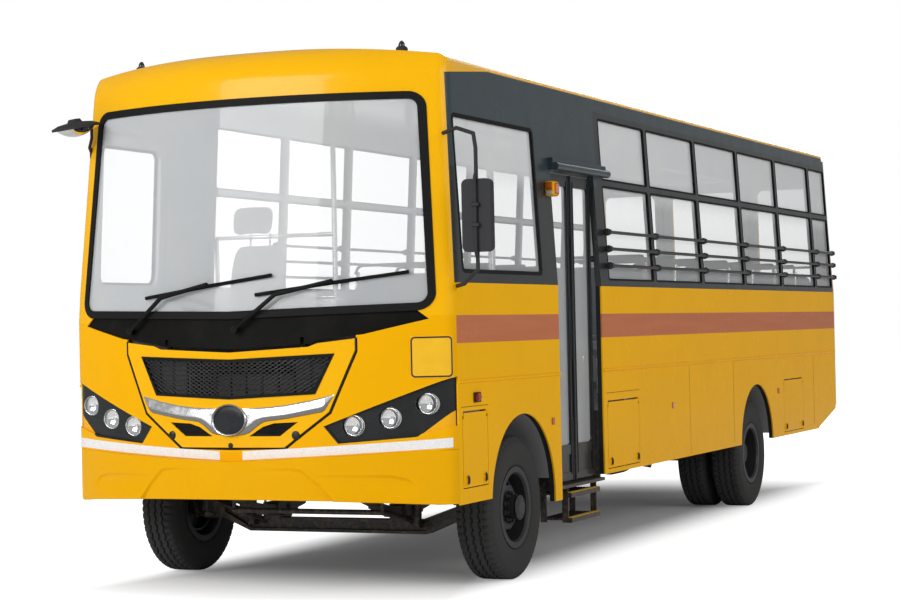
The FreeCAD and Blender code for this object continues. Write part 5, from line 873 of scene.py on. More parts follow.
class Stuff:
    """Every finish on the bus, named for what it covers."""

    YELLOW = srgb(254, 188, 4)
    # Painted shade: the body yellow made a little darker for the fascia and the pieces that meet it.
    SHADED_NOSE_YELLOW = srgb(250, 182, 3)
    LINING = srgb(224, 228, 228)
    SLATE = srgb(54, 67, 72)
    # Dark tone of the side sheets where they lie inboard of the skin.
    REVEAL_DARK = srgb(44, 45, 46)
    LAMP_BLACK = (0.016, 0.017, 0.018)
    NOSE_LOOK = {"coat": 0.16, "gloss": 0.12, "dust": 0.04}
    SIDE_LOOK = {"coat": 0.03, "gloss": 0.02, "dust": 0.10, "stripe": True, "lining": LINING,
                 "lining_side": "side"}

    nose_paint = Paint("nose_paint", YELLOW, lining=LINING, lining_side="nose", **NOSE_LOOK)
    # The fascia and bumper wear darker copies of the body yellow, the bumper's darkest: painted shade.
    fascia_paint = Paint("fascia_paint", SHADED_NOSE_YELLOW, coat=0.07, gloss=0.05, dust=0.04)
    bumper_paint = Paint("bumper_paint", srgb(243, 177, 3), coat=0.05, gloss=0.04, dust=0.04)
    lid_paint = Paint("lid_paint", YELLOW, arm_place=(0.430, 1.3995), **NOSE_LOOK)
    side_paint = Paint("side_paint", YELLOW, reveal=REVEAL_DARK, **SIDE_LOOK)
    door_side_paint = Paint("door_side_paint", YELLOW, reveal=srgb(190, 195, 196), **SIDE_LOOK)
    roof_paint = Paint("roof_paint", YELLOW, coat=0.25, gloss=0.25, dust=0.0, lining=srgb(240, 242, 241),
                       lining_side="roof")
    tail_paint = Paint("tail_paint", YELLOW, coat=0.12, gloss=0.12, stripe=True, lining=LINING,
                       lining_side="tail")
    band_paint = Paint("band_paint", SLATE, roughness=0.3, coat=0.12, gloss=0.25, dust=0.0,
                       frame_tone=srgb(46, 50, 51), lining=LINING, lining_side="side")
    door_paint = Paint("door_paint", srgb(40, 44, 46), roughness=0.34, coat=0.15, gloss=0.3, dust=0.15)
    frame_black = Paint("frame_black", srgb(44, 45, 47), roughness=0.5, coat=0.1, dust=0.45)
    wheel_black = Paint("wheel_black", srgb(40, 40, 42), roughness=0.42, coat=0.2, dust=0.3)
    bar_black = Paint("bar_black", srgb(38, 40, 42), roughness=0.3, coat=0.4, dust=0.0)
    step_black = Paint("step_black", srgb(46, 46, 48), roughness=0.45, coat=0.1, dust=0.4)
    step_yellow = Paint("step_yellow", srgb(232, 180, 30), roughness=0.4, coat=0.2, dust=0.5)
    engine_iron = Paint("engine_iron", srgb(92, 94, 96), roughness=0.6, coat=0.0, dust=0.5)
    cowl_black = Plastic("cowl_black", (0.007, 0.0068, 0.006), 0.46, gloss=0.06)
    trim_black = Plastic("trim_black", (0.016, 0.016, 0.017), 0.42)
    lamp_black = Plastic("lamp_black", LAMP_BLACK, 0.28)
    lamp_shell = Plastic("lamp_shell", LAMP_BLACK, 0.28, cut_corner=SHADED_NOSE_YELLOW)
    wiper_black = Plastic("wiper_black", (0.005, 0.005, 0.0055), 0.5, gloss=0.15)
    dash_grey = Plastic("dash_grey", srgb(86, 90, 92), 0.55)
    floor_grey = Plastic("floor_grey", srgb(120, 122, 124), 0.6, 300.0)
    grille_black = Plastic("grille_black", (0.006, 0.006, 0.006), 0.6, gloss=0.15)
    mesh_grey = Plastic("mesh_grey", (0.030, 0.029, 0.028), 0.35)
    badge_black = Plastic("badge_black", (0.016, 0.019, 0.022), 0.30, gloss=0.25)
    seal = Rubber("seal", (0.009, 0.009, 0.0095), 0.06)
    # The chrome's darker tone on faces that look down is a painted reflection of the ground.
    chrome = Metal("chrome", (0.80, 0.81, 0.82), 0.22, under=(0.30, 0.30, 0.31))
    bowl = Metal("bowl", (0.90, 0.90, 0.91), 0.05)
    steel = Metal("steel", (0.72, 0.73, 0.74), 0.28, brushed=True)
    mirror = Metal("mirror", (0.86, 0.88, 0.89), 0.01)
    # Each glass: share of painted pale reflection face on, and its extra at grazing angles; the side windows
    # add a painted sky reflection on their upper panes.
    windscreen = Glass("windscreen", 0.44, 0.14, "nose")
    window = Glass("window", 0.32, 0.20, painted_sky_reflection=0.34)
    rear_window = Glass("rear_window", 0.34, 0.22, "tail")
    lamp_glass = Glass("lamp_glass", 0.10, 0.30, "nose")
    amber = Lens("amber", srgb(226, 110, 20))
    red = Lens("red", srgb(186, 30, 22))
    beacon = Lens("beacon", srgb(30, 44, 46), 0.1)
    clear_lens = Lens("clear_lens", srgb(236, 236, 232), 0.4)
    cover = Cloth("cover", srgb(128, 133, 139), srgb(112, 117, 124))
    driver_cover = Cloth("driver_cover", srgb(76, 80, 84), srgb(63, 67, 71))
    tyre = TyreRubber("tyre")
    tape = Tape("tape", srgb(254, 254, 254))
    signboard = Signboard("signboard")


FINISHED_NODES: tuple[tuple[Finish, str], ...] = (
    (Stuff.nose_paint, "front_surround"),
    (Stuff.fascia_paint, "front_fascia front_bumper"),
    (Stuff.cowl_black, "front_cowl"),
    (Stuff.seal, "windshield_gasket"),
    (Stuff.windscreen, "windshield_glass"),
    (Stuff.lamp_shell, "headlamp_housings"),
    (Stuff.bowl, "headlamp_reflectors"),
    (Stuff.lid_paint, "front_hatch"),
    (Stuff.grille_black, "hatch_grille"),
    (Stuff.chrome, "hatch_trim"),
    (Stuff.side_paint, "side_panel_left side_panel_right"),
    (Stuff.side_paint, "skirt_hatch_front skirt_hatch_middle skirt_hatch_rear"),
    (Stuff.door_side_paint, "driver_door"),
    (Stuff.band_paint, "window_band_left window_band_right"),
    (Stuff.window, "cabin_glass driver_door_glass door_glass_front door_glass_rear"),
    (Stuff.rear_window, "emergency_glass"),
    (Stuff.roof_paint, "roof_shell"),
    (Stuff.tail_paint, "rear_panel emergency_door"),
    (Stuff.bar_black, "guard_bars"),
    (Stuff.trim_black, "mirror_arms steering_wheel"),
    (Stuff.mirror, "mirror_glasses"),
    (Stuff.wiper_black, "wipers"),
    (Stuff.amber, "marker_lamps"),
    (Stuff.floor_grey, "cabin_floor cab_floor entry_floor"),
    (Stuff.dash_grey, "dashboard"),
    (Stuff.engine_iron, "engine_block"),
    (Stuff.step_black, "entry_steps"),
    (Stuff.cover, "passenger_seats driver_seat"),
    (Stuff.steel, "grab_rails"),
    (Stuff.door_paint, "door_leaf_front door_leaf_rear"),
    (Stuff.tyre, "tyre_front_left tyre_front_right tyre_rear_left tyre_rear_right"),
    (Stuff.wheel_black, "wheel_front_left wheel_front_right wheel_rear_left wheel_rear_right"),
    (Stuff.frame_black, "chassis_frame front_axle rear_axle fuel_tank exhaust knuckle_left knuckle_right"),
)
NODE_FINISHES = {name: finish for finish, names in FINISHED_NODES for name in names.split()}


def dress_nodes(nodes: dict[str, bpy.types.Object]) -> None:
    """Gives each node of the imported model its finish, frame black if it has none of its own.

    Args:
        nodes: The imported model's objects by name.
    """
    for name, piece in nodes.items():
        finish = NODE_FINISHES.get(name, Stuff.frame_black)
        piece.data.materials.clear()
        piece.data.materials.append(finish.material())
        if getattr(finish, "reveal", None) is not None:
            store_depth(piece.data)
    LOG.info("dressed %d nodes", len(nodes))


def store_depth(data: bpy.types.Mesh) -> None:
    """Keeps how far each point lies inboard of the body's skin, in metres, with the mesh."""
    place = mesh_points(data)
    depth = half_width(place[:, 2]) - np.abs(place[:, 0] - BODY_X)
    data.attributes.new("depth", "FLOAT", "POINT").data.foreach_set("value", depth.astype(np.float32))


def thicken(node: bpy.types.Object, name: str, finish: Finish, gauge: float) -> None:
    """Puts a fuller copy in place of a thin node: each point moves out along its direction.

    Args:
        node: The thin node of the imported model.
        name: Name of the fuller copy.
        finish: What the copy is made of.
        gauge: How far its points move.
    """
    data = node.data.copy()
    form = bmesh.new()
    form.from_mesh(data)
    bmesh.ops.remove_doubles(form, verts=form.verts, dist=10 * MERGE_DISTANCE)
    form.normal_update()
    for point in form.verts:
        point.co += point.normal * gauge
    form.to_mesh(data)
    form.free()
    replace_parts(add_piece(name, data, finish, Body.BUS), node.name)


# ---------------------------------------------------------------- the nose


@dataclass
class NoseForm:
    """The bowed face of the nose: a wide arc with round corners, raked back above the sill."""

    front: float = -1.318
    bow: float = 2.400
    corner: float = 0.100
    half: float = HALF_WIDTH
    rake: float = 0.1093
    rake_foot: float = 1.560

    def point(self, along: np.ndarray, z: np.ndarray, out: float = 0.0) -> np.ndarray:
        """Points on the nose.

        Formula: the distance along the outline from the centre line goes round the wide arc first
        and then round the corner's small arc; the rake moves the point back with its height.

        Args:
            along: Distance from the centre line along the outline, with its sign.
            z: Height.
            out: How far the points stand off the skin.

        Returns:
            Array of points of the same shape, with three coordinates.
        """
        side_x = self.half - self.corner
        centre_y = self.front + self.bow
        corner_y = centre_y - math.sqrt((self.bow - self.corner) ** 2 - side_x**2)
        turn = math.atan2(side_x, centre_y - corner_y)
        reach = np.abs(along)
        first = self.bow * turn
        wide = np.minimum(reach / self.bow, turn)
        tight = np.minimum(turn + np.maximum(reach - first, 0.0) / self.corner, QUARTER_TURN)
        straight = np.maximum(reach - first - (QUARTER_TURN - turn) * self.corner, 0.0)
        on_corner = reach > first
        x = np.where(on_corner, side_x + (self.corner + out) * np.sin(tight), (self.bow + out) * np.sin(wide))
        y = np.where(on_corner, corner_y - (self.corner + out) * np.cos(tight) + straight,
                     centre_y - (self.bow + out) * np.cos(wide))
        y = y + np.maximum(z - self.rake_foot, 0.0) * self.rake
        return np.stack([np.sign(along) * x, station(y), np.broadcast_to(z, x.shape)], -1)

    def at(self, x: np.ndarray, z: np.ndarray, out: float | np.ndarray = 0.0) -> np.ndarray:
        """Points on the wide arc given by their distance from the centre plane."""
        return self.point(self.bow * np.arcsin(np.asarray(x) / self.bow), np.asarray(z), out)

    def spot(self, x: float, z: float) -> Vector:
        """One place on the wide arc below the rake."""
        return Vector((x, station(self.front + self.bow - math.sqrt(self.bow**2 - x**2)), z))


@dataclass
class NoseTrim:
    """Tape, blank sign, winged bar, badge, covers, lamps and grille mesh of the nose."""

    form: NoseForm = field(default_factory=NoseForm)
    tape_along: tuple[float, float] = (0.072, 1.262)
    tape_foot: tuple[float, float] = (0.782, 0.836)
    tape_head: tuple[float, float] = (0.830, 0.889)
    tape_gauge: float = 0.0016
    sign_gauge: float = 0.0025
    bar_half: float = 0.609
    bar_middle: float = 0.06
    bar_top: tuple = ((0.0, 0.118, 0.230, 0.340, 0.480, 0.609), (1.070, 1.068, 1.073, 1.084, 1.108, 1.138))
    bar_fold: tuple = ((0.0, 0.100, 0.122, 0.160, 0.207, 0.339, 0.549, 0.609),
                       (0.960, 0.963, 0.974, 1.003, 1.018, 1.031, 1.070, 1.137))
    bar_foot: tuple = ((0.0, 0.084, 0.122, 0.165, 0.207, 0.338, 0.550, 0.609),
                       (0.915, 0.920, 0.931, 0.966, 0.992, 1.007, 1.043, 1.136))
    bar_upper_stand: tuple = ((0.0, 0.08, 0.2, 1.0), (0.001, 0.0065, 0.0085, 0.0165))
    bar_lower_stand: tuple = ((0.0, 0.12, 0.9, 1.0), (0.0165, 0.0155, 0.0060, 0.001))
    lamp_places: tuple = ((0.700, 0.965), (0.889, 1.002), (1.078, 1.076))
    lamp_radius: float = 0.060
    bead_radius: float = 0.005
    bead_depth: float = 0.020
    bulb: tuple = ((-0.070, 0.0), (-0.070, 0.012), (-0.050, 0.014), (-0.042, 0.011), (-0.036, 0.0))
    badge_z: float = 1.003
    badge_half: tuple[float, float] = (0.113, 0.090)
    badge_lift: float = 0.005
    badge_rim: tuple = ((-0.004, 0.003), (0.012, 0.001), (0.0185, 0.003), (0.0215, 0.0065), (0.0200, 0.0105),
                        (0.0150, 0.0135), (0.0140, 0.0150), (-0.003, 0.0150))
    badge_face: tuple = ((0.011, 0.0152), (0.0145, 0.024), (0.0165, 0.050), (0.0172, 0.085))
    cover_places: tuple = ((-0.390, 0.917, 0.024), (0.390, 0.917, 0.024), (0.0, 0.862, 0.015))
    lip_edges: tuple[float, float] = (0.0045, 0.0150)
    lip_rise: tuple = (-0.0005, 0.0016, 0.0021, 0.0016, -0.0005)
    mouth_top: tuple[float, float] = (0.615, 1.362)
    mouth_foot: tuple[float, float] = (0.505, 1.141)
    mouth_sag: float = 0.024
    wire_lean: float = 1.7
    wire_pitch: float = 0.036
    wire_margin: float = 0.004
    wire_side_margin: float = 0.006
    wire_middle_z: float = 1.240
    wire_start: float = -1.03

    def build(self) -> None:
        """Makes every piece of the nose."""
        self.tape()
        self.sign()
        self.winged_bar()
        self.badge()
        self.covers()
        self.lid_seal()
        self.lamps()
        self.grille_mesh()

    def tape(self) -> None:
        """Two white strips of reflective tape over the bumper.

        Formula: lines from the strip's lower border to its upper one, both of which climb evenly
        from the inner end to the outer end.
        """
        work = Patchwork()
        s = np.linspace(*self.tape_along, 60)
        low, high = (np.interp(s, self.tape_along, border) for border in (self.tape_foot, self.tape_head))
        z = between(low, high, np.linspace(0.0, 1.0, 3))
        for sign, _ in SIDES:
            along = sign * np.broadcast_to(s[:, None], z.shape)
            work.slab(self.form.point(along, z, self.tape_gauge), self.form.point(along, z, 0.0))
        add_piece("reflective_tape", work, Stuff.tape, Body.BUS)

    def sign(self) -> None:
        """A blank square board on the left corner, with its own map.

        Formula: a point's map place is its share of the board's height, and its share of the
        outline's length at the nearest of many places along the outline.
        """
        (first, last), (foot, head) = Signboard.ALONG, Signboard.UP
        along, up = np.meshgrid(np.linspace(first, last, 24), np.linspace(foot, head, 12), indexing="ij")
        work = Patchwork().slab(self.form.point(along, up, self.sign_gauge), self.form.point(along, up, 0.0))
        piece = add_piece("corner_board", work, Stuff.signboard, Body.BUS)
        place = mesh_points(piece.data) - (BODY_X, 0.0, 0.0)
        table = np.linspace(first, last, 200)
        spots = self.form.point(table, np.full(200, foot), 0.002)[:, :2]
        nearest = np.linalg.norm(place[:, None, :2] - spots[None], axis=-1).argmin(1)
        across, rise = (table[nearest] - first) / (last - first), (place[:, 2] - foot) / (head - foot)
        mapped = np.stack([across, rise], -1)
        layer = piece.data.uv_layers.new(name="board")
        layer.data.foreach_set("uv", mapped[loop_corners(piece.data)].astype(np.float32).ravel())

    def winged_bar(self) -> None:
        """The plated bar with pointed ends that dips round the badge.

        Formula: three lines over the width, an upper edge, a fold and a lower edge; each face
        between two of them is a grid, and the fold stands furthest off the nose.
        """
        wing = np.linspace(-self.bar_half, -self.bar_middle, 120)
        x = np.concatenate([wing, np.linspace(-0.05, 0.05, 11), -wing[::-1]])
        reach = np.abs(x)
        top, fold, foot = (np.interp(reach, *line) for line in (self.bar_top, self.bar_fold, self.bar_foot))
        kernel = np.ones(7) / 7
        for line in (top, fold, foot):
            line[3:-3] = np.convolve(line, kernel, "valid")
        share = np.linspace(0.0, 1.0, 9)
        z = np.concatenate([between(top, fold, share), between(fold, foot, share[1:])], 1)
        stand = np.concatenate([np.interp(share, *self.bar_upper_stand),
                                np.interp(share[1:], *self.bar_lower_stand)])
        width = np.clip((self.bar_half - reach) / 0.05, 0.12, 1.0)[:, None]
        along = np.broadcast_to(x[:, None], z.shape)
        front = self.form.at(along, z)
        front[..., 1] -= 0.001 + stand[None] * width
        back = self.form.at(along, z, -0.001)
        work = Patchwork().slab(front, back)
        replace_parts(add_piece("winged_bar", work, Stuff.chrome, Body.NOSE_LID), "hatch_trim")

    def _oval(self, section: list[tuple[float, float]]) -> Patchwork:
        """A turned shape stretched to the badge's oval.

        Formula: section pairs (stand, inset) give a ring of the half width and half height less
        the inset, stood off the foremost line of the nose.
        """
        stand, inset = np.array(section).T
        half, rise = self.badge_half
        angle = np.linspace(0.0, FULL_TURN, 96, endpoint=False)
        wide = (half - inset)[:, None] * np.cos(angle)[None]
        high = (rise - inset * rise / half)[:, None] * np.sin(angle)[None]
        y = station(self.form.front) - (stand + self.badge_lift)[:, None] + np.zeros_like(wide)
        return Patchwork().grid(np.stack([wide, y, self.badge_z + high], -1), wrap_columns=True)

    def badge(self) -> None:
        """The plain oval in a plated ring, both closed on the badge's middle."""
        whole = self.badge_half[0]
        rim = self._oval([(-0.004, whole), *self.badge_rim, (-0.003, whole)])
        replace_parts(add_piece("badge_ring", rim, Stuff.chrome, Body.NOSE_LID), "hatch_trim")
        face = self._oval([(0.004, whole), *self.badge_face, (0.0174, whole)])
        piece = add_piece("badge_face", face, Stuff.badge_black, Body.NOSE_LID)
        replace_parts(piece, "hatch_trim")

    def covers(self) -> None:
        """Round covers of the towing hooks under the bar, and the lid's small catch."""
        work = Patchwork()
        for x, z, reach in self.cover_places:
            cap = np.array([(-0.004, 0.0), (-0.004, reach), (0.004, reach), (0.007, reach * 0.86),
                            (0.009, reach * 0.5), (0.0095, 0.0)])
            work.lathe(cap, self.form.spot(x, z), AHEAD, 32)
        add_piece("hook_covers", work, Stuff.lamp_black, Body.NOSE_LID)

    def lid_seal(self) -> None:
        """The black rubber lip round the sides and foot of the nose lid's opening.

        Formula: the lid's outline, grown by two distances, gives the lip's two borders; the lip
        is a low arch between them.
        """
        t = np.linspace(-4.0, 4.0, 321)
        rise = np.array(self.lip_rise)
        near, far = (self._lid_line(t, grow) for grow in self.lip_edges)
        x, z = (between(a, b, np.linspace(0.0, 1.0, len(rise))) for a, b in zip(near, far))
        lip = Patchwork().slab(self.form.at(x, z, rise[None]), self.form.at(x, z, -0.006))
        add_piece("lid_seal", lip, Stuff.seal, Body.BUS)

    @staticmethod
    def _lid_line(t: np.ndarray, grow: float) -> tuple[np.ndarray, np.ndarray]:
        """The lid's side and lower outline, grown outwards, by a running number from -4 to 4."""
        lift = 0.6 * grow
        x = np.interp(np.abs(t), range(5), [0.0, 0.323 + grow, 0.576 + grow, 0.722 + grow, 0.722 + grow])
        z = np.interp(np.abs(t), range(5), [0.851 - grow, 0.851 - lift, 1.042 - lift, 1.378 - lift, 1.446])
        return np.sign(t) * x, z

    def lamps(self) -> None:
        """Bezels, bulbs and domed lenses of the six round lamps."""
        rims, lenses, bulbs = Patchwork(), Patchwork(), Patchwork()
        r = self.lamp_radius
        turn = np.linspace(0.0, FULL_TURN, 14)
        bead = np.stack([self.bead_radius * np.cos(turn) - self.bead_depth,
                         r - 0.006 + self.bead_radius * np.sin(turn)], -1)
        fall = np.linspace(0.0, 1.0, 9) * QUARTER_TURN
        dome = np.stack([-0.024 + 0.012 * np.cos(fall), (r - 0.009) * np.sin(fall)], -1)
        lens = np.concatenate([dome, dome[::-1] - (0.0025, 0.0)])
        for sign, _ in SIDES:
            for x, z in self.lamp_places:
                centre = self.form.spot(sign * x, z)
                rims.lathe(bead, centre, AHEAD, 56)
                lenses.lathe(lens, centre, AHEAD, 48)
                bulbs.lathe(np.array(self.bulb), centre, AHEAD, 24)
        add_piece("lamp_rims", rims, Stuff.chrome, Body.BUS)
        add_piece("lamp_lenses", lenses, Stuff.lamp_glass, Body.BUS)
        add_piece("lamp_bulbs", bulbs, Stuff.clear_lens, Body.BUS)

    def grille_mesh(self) -> None:
        """Slanted wires behind the bars of the grille.

        Formula: two families of straight lines across the mouth, each kept between the mouth's
        sagging upper and lower lines and its slanting sides, and laid just behind the nose's skin.
        """
        work = Patchwork()
        (half, top), (narrow, foot) = self.mouth_top, self.mouth_foot
        square = np.array([(-0.0017, -0.0022), (0.0017, -0.0022), (0.0017, 0.0022), (-0.0017, 0.0022)])
        t = np.linspace(0.0, 1.0, 26)
        z = foot - self.mouth_sag + (top - foot + self.mouth_sag) * t
        for lean in (self.wire_lean, -self.wire_lean):
            for start in np.arange(self.wire_start, -self.wire_start, self.wire_pitch):
                x = start + (z - self.wire_middle_z) * lean
                sag = self.mouth_sag * (1.0 - np.clip(np.abs(x) / half, 0.0, 1.0) ** 2)
                limit = narrow + (z - foot) / (top - foot) * (half - narrow) - self.wire_side_margin
                inside = (z < top - sag - self.wire_margin) & (z > foot - sag + self.wire_margin)
                keep = (np.abs(x) < limit) & inside
                if keep.sum() >= 2:
                    work.ribbon(self.form.at(x[keep], z[keep], -0.0035), square, Vector((1, 0, 0)))
        add_piece("grille_mesh", work, Stuff.mesh_grey, Body.NOSE_LID)


@dataclass
class BumperSkin:
    """The bumper as one pressing with soft-edged recesses."""

    form: NoseForm = field(default_factory=lambda: NoseForm(-1.380, 2.050, 0.110, 1.222, 0.0))
    fascia: NoseForm = field(default_factory=NoseForm)
    columns: int = 321
    seam_y: float = -0.950
    wall: float = 0.030
    shelf: float = 0.014
    step: float = 0.018
    head: tuple[float, float, float] = (0.775, 0.055, 1.300)
    foot: tuple[float, float, float] = (0.567, 0.040, 1.120)
    end_foot: float = 0.525
    fade_foot: float = 0.575
    fade_height: float = 0.075
    middle_bow: float = 1.660
    middle_reach: float = 0.70
    wing_bow: float = 1.960
    wing_reach: float = 1.06
    pressed_reach: float = 1.13
    press: tuple = ((0.0, 0.738), (0.363, 0.738), (0.440, 0.731), (0.535, 0.650), (0.620, 0.548),
                    (0.660, 0.480))
    wing: tuple = ((0.0, 0.700), (0.690, 0.698), (0.900, 0.692), (0.985, 0.672), (1.020, 0.636),
                   (1.032, 0.590), (1.050, 0.480))

    def _below(self, edge: tuple, x: np.ndarray, z: np.ndarray) -> np.ndarray:
        """Share of a point that lies under a border line, with a soft step across the line.

        Formula: the height below the line, corrected for its slope, through a smooth step.
        """
        across, up = np.array(edge).T
        slope = (np.interp(x + 0.01, across, up) - np.interp(x - 0.01, across, up)) / 0.02
        share = (np.interp(x, across, up) - z) / np.sqrt(1 + slope**2) / self.step + 0.25
        share = np.clip(share, 0.0, 1.0)
        return share**2 * (3 - 2 * share)

    def _depth(self, x: np.ndarray, z: np.ndarray) -> np.ndarray:
        """How far the skin is pressed in.

        Formula: a recess follows a tighter arc than the bumper, so its depth is the difference of
        the two arcs' heights at that distance from the middle.
        """
        outer = self.form.bow - np.sqrt(self.form.bow**2 - x**2)
        arcs = ((self.middle_bow, self.middle_reach), (self.wing_bow, self.wing_reach))
        middle, side = (bow - np.sqrt(bow**2 - np.minimum(x, reach) ** 2) - outer for bow, reach in arcs)
        fade = np.clip((z - self.fade_foot) / self.fade_height, 0.0, 1.0)
        pressed = np.maximum(middle, 0.0) * self._below(self.press, x, z)
        return np.maximum(pressed, np.maximum(side, 0.0) * self._below(self.wing, x, z) * fade)

    def build(self) -> None:
        """Makes the pressing: face, rounded edges, the shelf up to the fascia and the inner wall.

        Formula: the upper edge climbs evenly outwards, the lower one falls with the square of the
        distance from the middle; the face lies between them, less the depth of the recesses.
        """
        reach = self._end()
        along = np.linspace(-reach, reach, self.columns)
        x = np.abs(self.form.point(along, np.full(self.columns, 0.6))[:, 0])
        (head_z, climb, head_reach), (foot_z, fall, foot_reach) = self.head, self.foot
        top = head_z + climb * x / head_reach
        foot = np.where(x < foot_reach, foot_z - fall * (x / foot_reach) ** 2, self.end_foot)
        z = between(foot + 0.004, top - 0.005, np.linspace(0.0, 1.0, 57))
        spread = np.broadcast_to(along[:, None], z.shape)
        depth = self._depth(np.broadcast_to(x[:, None], z.shape), z) * (np.abs(spread) < self.pressed_reach)
        face = self.form.point(spread, z)
        face[..., 1] += depth
        low_front = self._row(along, foot, -0.004, depth[:, 0])
        low_back = self._row(along, foot, -self.wall, 0.0)
        high_front = self._row(along, top, -0.006, depth[:, -1])
        shelf = self._row(along, top, -0.006, 0.0)
        inside = np.clip(along, -reach + 0.02, reach - 0.02)
        flat = self.fascia.point(inside, np.full(self.columns, 0.8), -0.004)
        flat[:, 2] = top
        flat[:, 1] = np.minimum(np.maximum(flat[:, 1], shelf[:, 1] + 0.002), station(self.seam_y))
        flat[:, 0] = shelf[:, 0] * np.minimum(1.0, np.abs(flat[:, 0]) / np.maximum(np.abs(shelf[:, 0]), 1e-6))
        under = flat - (0.0, 0.0, self.shelf)
        inner = self._row(along, top - self.shelf, -self.wall, 0.0)
        rows = [np.stack([low_back, low_front], 1), face, np.stack([high_front, flat, under, inner], 1)]
        work = Patchwork().sleeve(np.concatenate(rows, 1))
        piece = add_piece("bumper_pressing", work, Stuff.bumper_paint, Body.BUS)
        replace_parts(piece, "front_bumper")

    def _row(self, along: np.ndarray, z: np.ndarray, out: float, depth: np.ndarray | float) -> np.ndarray:
        """One line of points over the bumper's width."""
        line = self.form.point(along, z, out)
        line[:, 1] = np.minimum(line[:, 1] + depth, station(self.seam_y))
        return line

    def _end(self) -> float:
        """Length of the outline from the centre to the seam with the side."""
        table = np.linspace(1.0, 1.8, 1601)
        y = self.form.point(table, np.full(len(table), 0.6))[:, 1]
        return float(table[np.argmax(y >= station(self.seam_y))])


# ---------------------------------------------------------------- the sides


@dataclass
class SideTrim:
    """Latches, panel joints, reflectors, lamps, door seals and window rubbers."""

    latch_spots: tuple = (
        (Body.LID_FRONT, (-0.850, -0.600), 0.648), (Body.LID_MIDDLE, (1.520, 2.050), 0.593),
        (Body.LID_REAR, (5.935, 6.465), 0.593),
    )
    latch_size: tuple[float, float, float] = (0.020, 0.052, 0.0098)
    latch_layers: tuple = ((0.0072, 1.0), (0.0095, 1.0), (0.0104, 0.86))
    joint_gauge: float = 0.0009
    upright_half: float = 0.0016
    level_half: float = 0.0014
    joint_round: float = 0.0004
    upright_joints: tuple = ((3.254, 0.540), (4.386, 0.540), (6.90, 0.560))
    upright_joint_head: float = 1.175
    level_joints: tuple = ((1.455, 2.115, 1.040), (-0.915, -0.535, 1.050))
    posts: tuple = (2.526, 3.666, 4.806, 5.946, 7.086)
    post_width: float = 0.052
    window_start: float = 1.560
    window_end: float = 7.672
    window_rows: tuple = ((1.775, 2.397), (2.433, 2.840))
    window_corner: float = 0.022
    right_start: float = 0.560
    front_window: tuple = ((-0.850, 0.370), (1.790, 2.680), 0.040, 0.022)
    driver_window: tuple = ((-0.785, -0.135), (1.790, 2.630), 0.060, 0.016)
    bar_heights: tuple = (1.870, 1.980, 2.090)
    boss_stand: float = 0.0248
    first_boss: float = 1.530
    last_boss: float = 7.668
    beacon_place: tuple[float, float] = (0.852, -0.795)
    beacon_sink: float = 0.008
    beacon_foot: tuple = ((0.0, 0.0), (0.0, 0.034), (0.020, 0.034), (0.028, 0.030), (0.034, 0.022),
                          (0.034, 0.0))
    beacon_dome: tuple[float, float, float] = (0.032, 0.034, 0.020)
    reflector_half: float = 0.021
    reflector_gauge: float = 0.008
    post_x: float = float(half_width(2.32))
    lamp_pieces: tuple = (
        ("lamp_bases", Stuff.trim_black, "trim_black"), ("beacon_domes", Stuff.beacon, "lamp_amber"),
        ("amber_lenses", Stuff.amber, "lamp_amber"), ("red_lenses", Stuff.red, "lamp_amber"),
        ("clear_lenses", Stuff.clear_lens, "lamp_amber"),
        ("post_lamp_housing", Stuff.fascia_paint, "bus_yellow"),
    )
    side_lamps: tuple = (
        ("lamp_bases", 1.0, HALF_WIDTH, (0.0, 0.010), (-0.745, -0.650), (1.070, 1.126), 0.004),
        ("red_lenses", 1.0, HALF_WIDTH, (0.006, 0.030), (-0.740, -0.690), (1.076, 1.120), 0.008),
        ("post_lamp_housing", 1.0, post_x, (0.0, 0.060), (0.506, 0.600), (2.278, 2.370), 0.008),
        ("amber_lenses", 1.0, post_x, (0.010, 0.052), (0.498, 0.510), (2.318, 2.362), 0.006),
        ("clear_lenses", 1.0, post_x, (0.010, 0.052), (0.498, 0.509), (2.284, 2.312), 0.005),
        ("amber_lenses", 1.0, post_x, (0.054, 0.068), (0.520, 0.586), (2.292, 2.358), 0.006),
        ("lamp_bases", -1.0, HALF_WIDTH, (0.0, 0.012), (-0.910, -0.890), (1.074, 1.122), 0.003),
        ("amber_lenses", -1.0, HALF_WIDTH, (0.010, 0.022), (-0.908, -0.892), (1.080, 1.116), 0.003),
    )
    tail_lamps: tuple = (("clear_lenses", (0.700, 0.815)), ("amber_lenses", (0.820, 0.935)),
                         ("red_lenses", (0.940, 1.060)))
    reflectors: tuple = ((1.0, 2.850, 0.902), (-1.0, 2.850, 0.902), (1.0, 5.703, 0.902), (-1.0, 5.703, 0.902),
                         (1.0, 0.476, 0.907))
    door_plane: float = 1.140
    door_foot: float = 0.520
    door_head: float = 2.425
    door_bead_inset: float = 0.046
    door_bead_stand: float = 0.0152
    door_edges: tuple = ((Body.FRONT_LEAF, 0.6255, 1.0040), (Body.REAR_LEAF, 1.0270, 1.3905))

    def build(self) -> None:
        """Makes every piece of the sides."""
        self.latches()
        self.joints()
        self.lamps()
        self.window_rubbers()
        self.door_rubbers()
        self.bar_bosses()
        self.mirror_stay()

    def bar_bosses(self) -> None:
        """Round clamps where the guard bars pass the window posts.

        Formula: a turned barrel along the bar, thicker in its middle, at each post.
        """
        posts = (self.first_boss, *self.posts, self.last_boss)
        half = [(0.020, 0.0), (0.020, 0.0175), (0.012, 0.0225)]
        barrel = np.array([(-a, r) for a, r in half] + [(0.0, 0.0245)] + half[::-1])
        for sign, name in SIDES:
            work = Patchwork()
            for z in self.bar_heights:
                x = sign * (float(half_width(z)) + self.boss_stand)
                for spot in posts:
                    work.lathe(barrel, Vector((x, station(spot), z)), BACKWARDS, 20)
            add_piece("bar_bosses_" + name, work, Stuff.bar_black, Body.BUS)

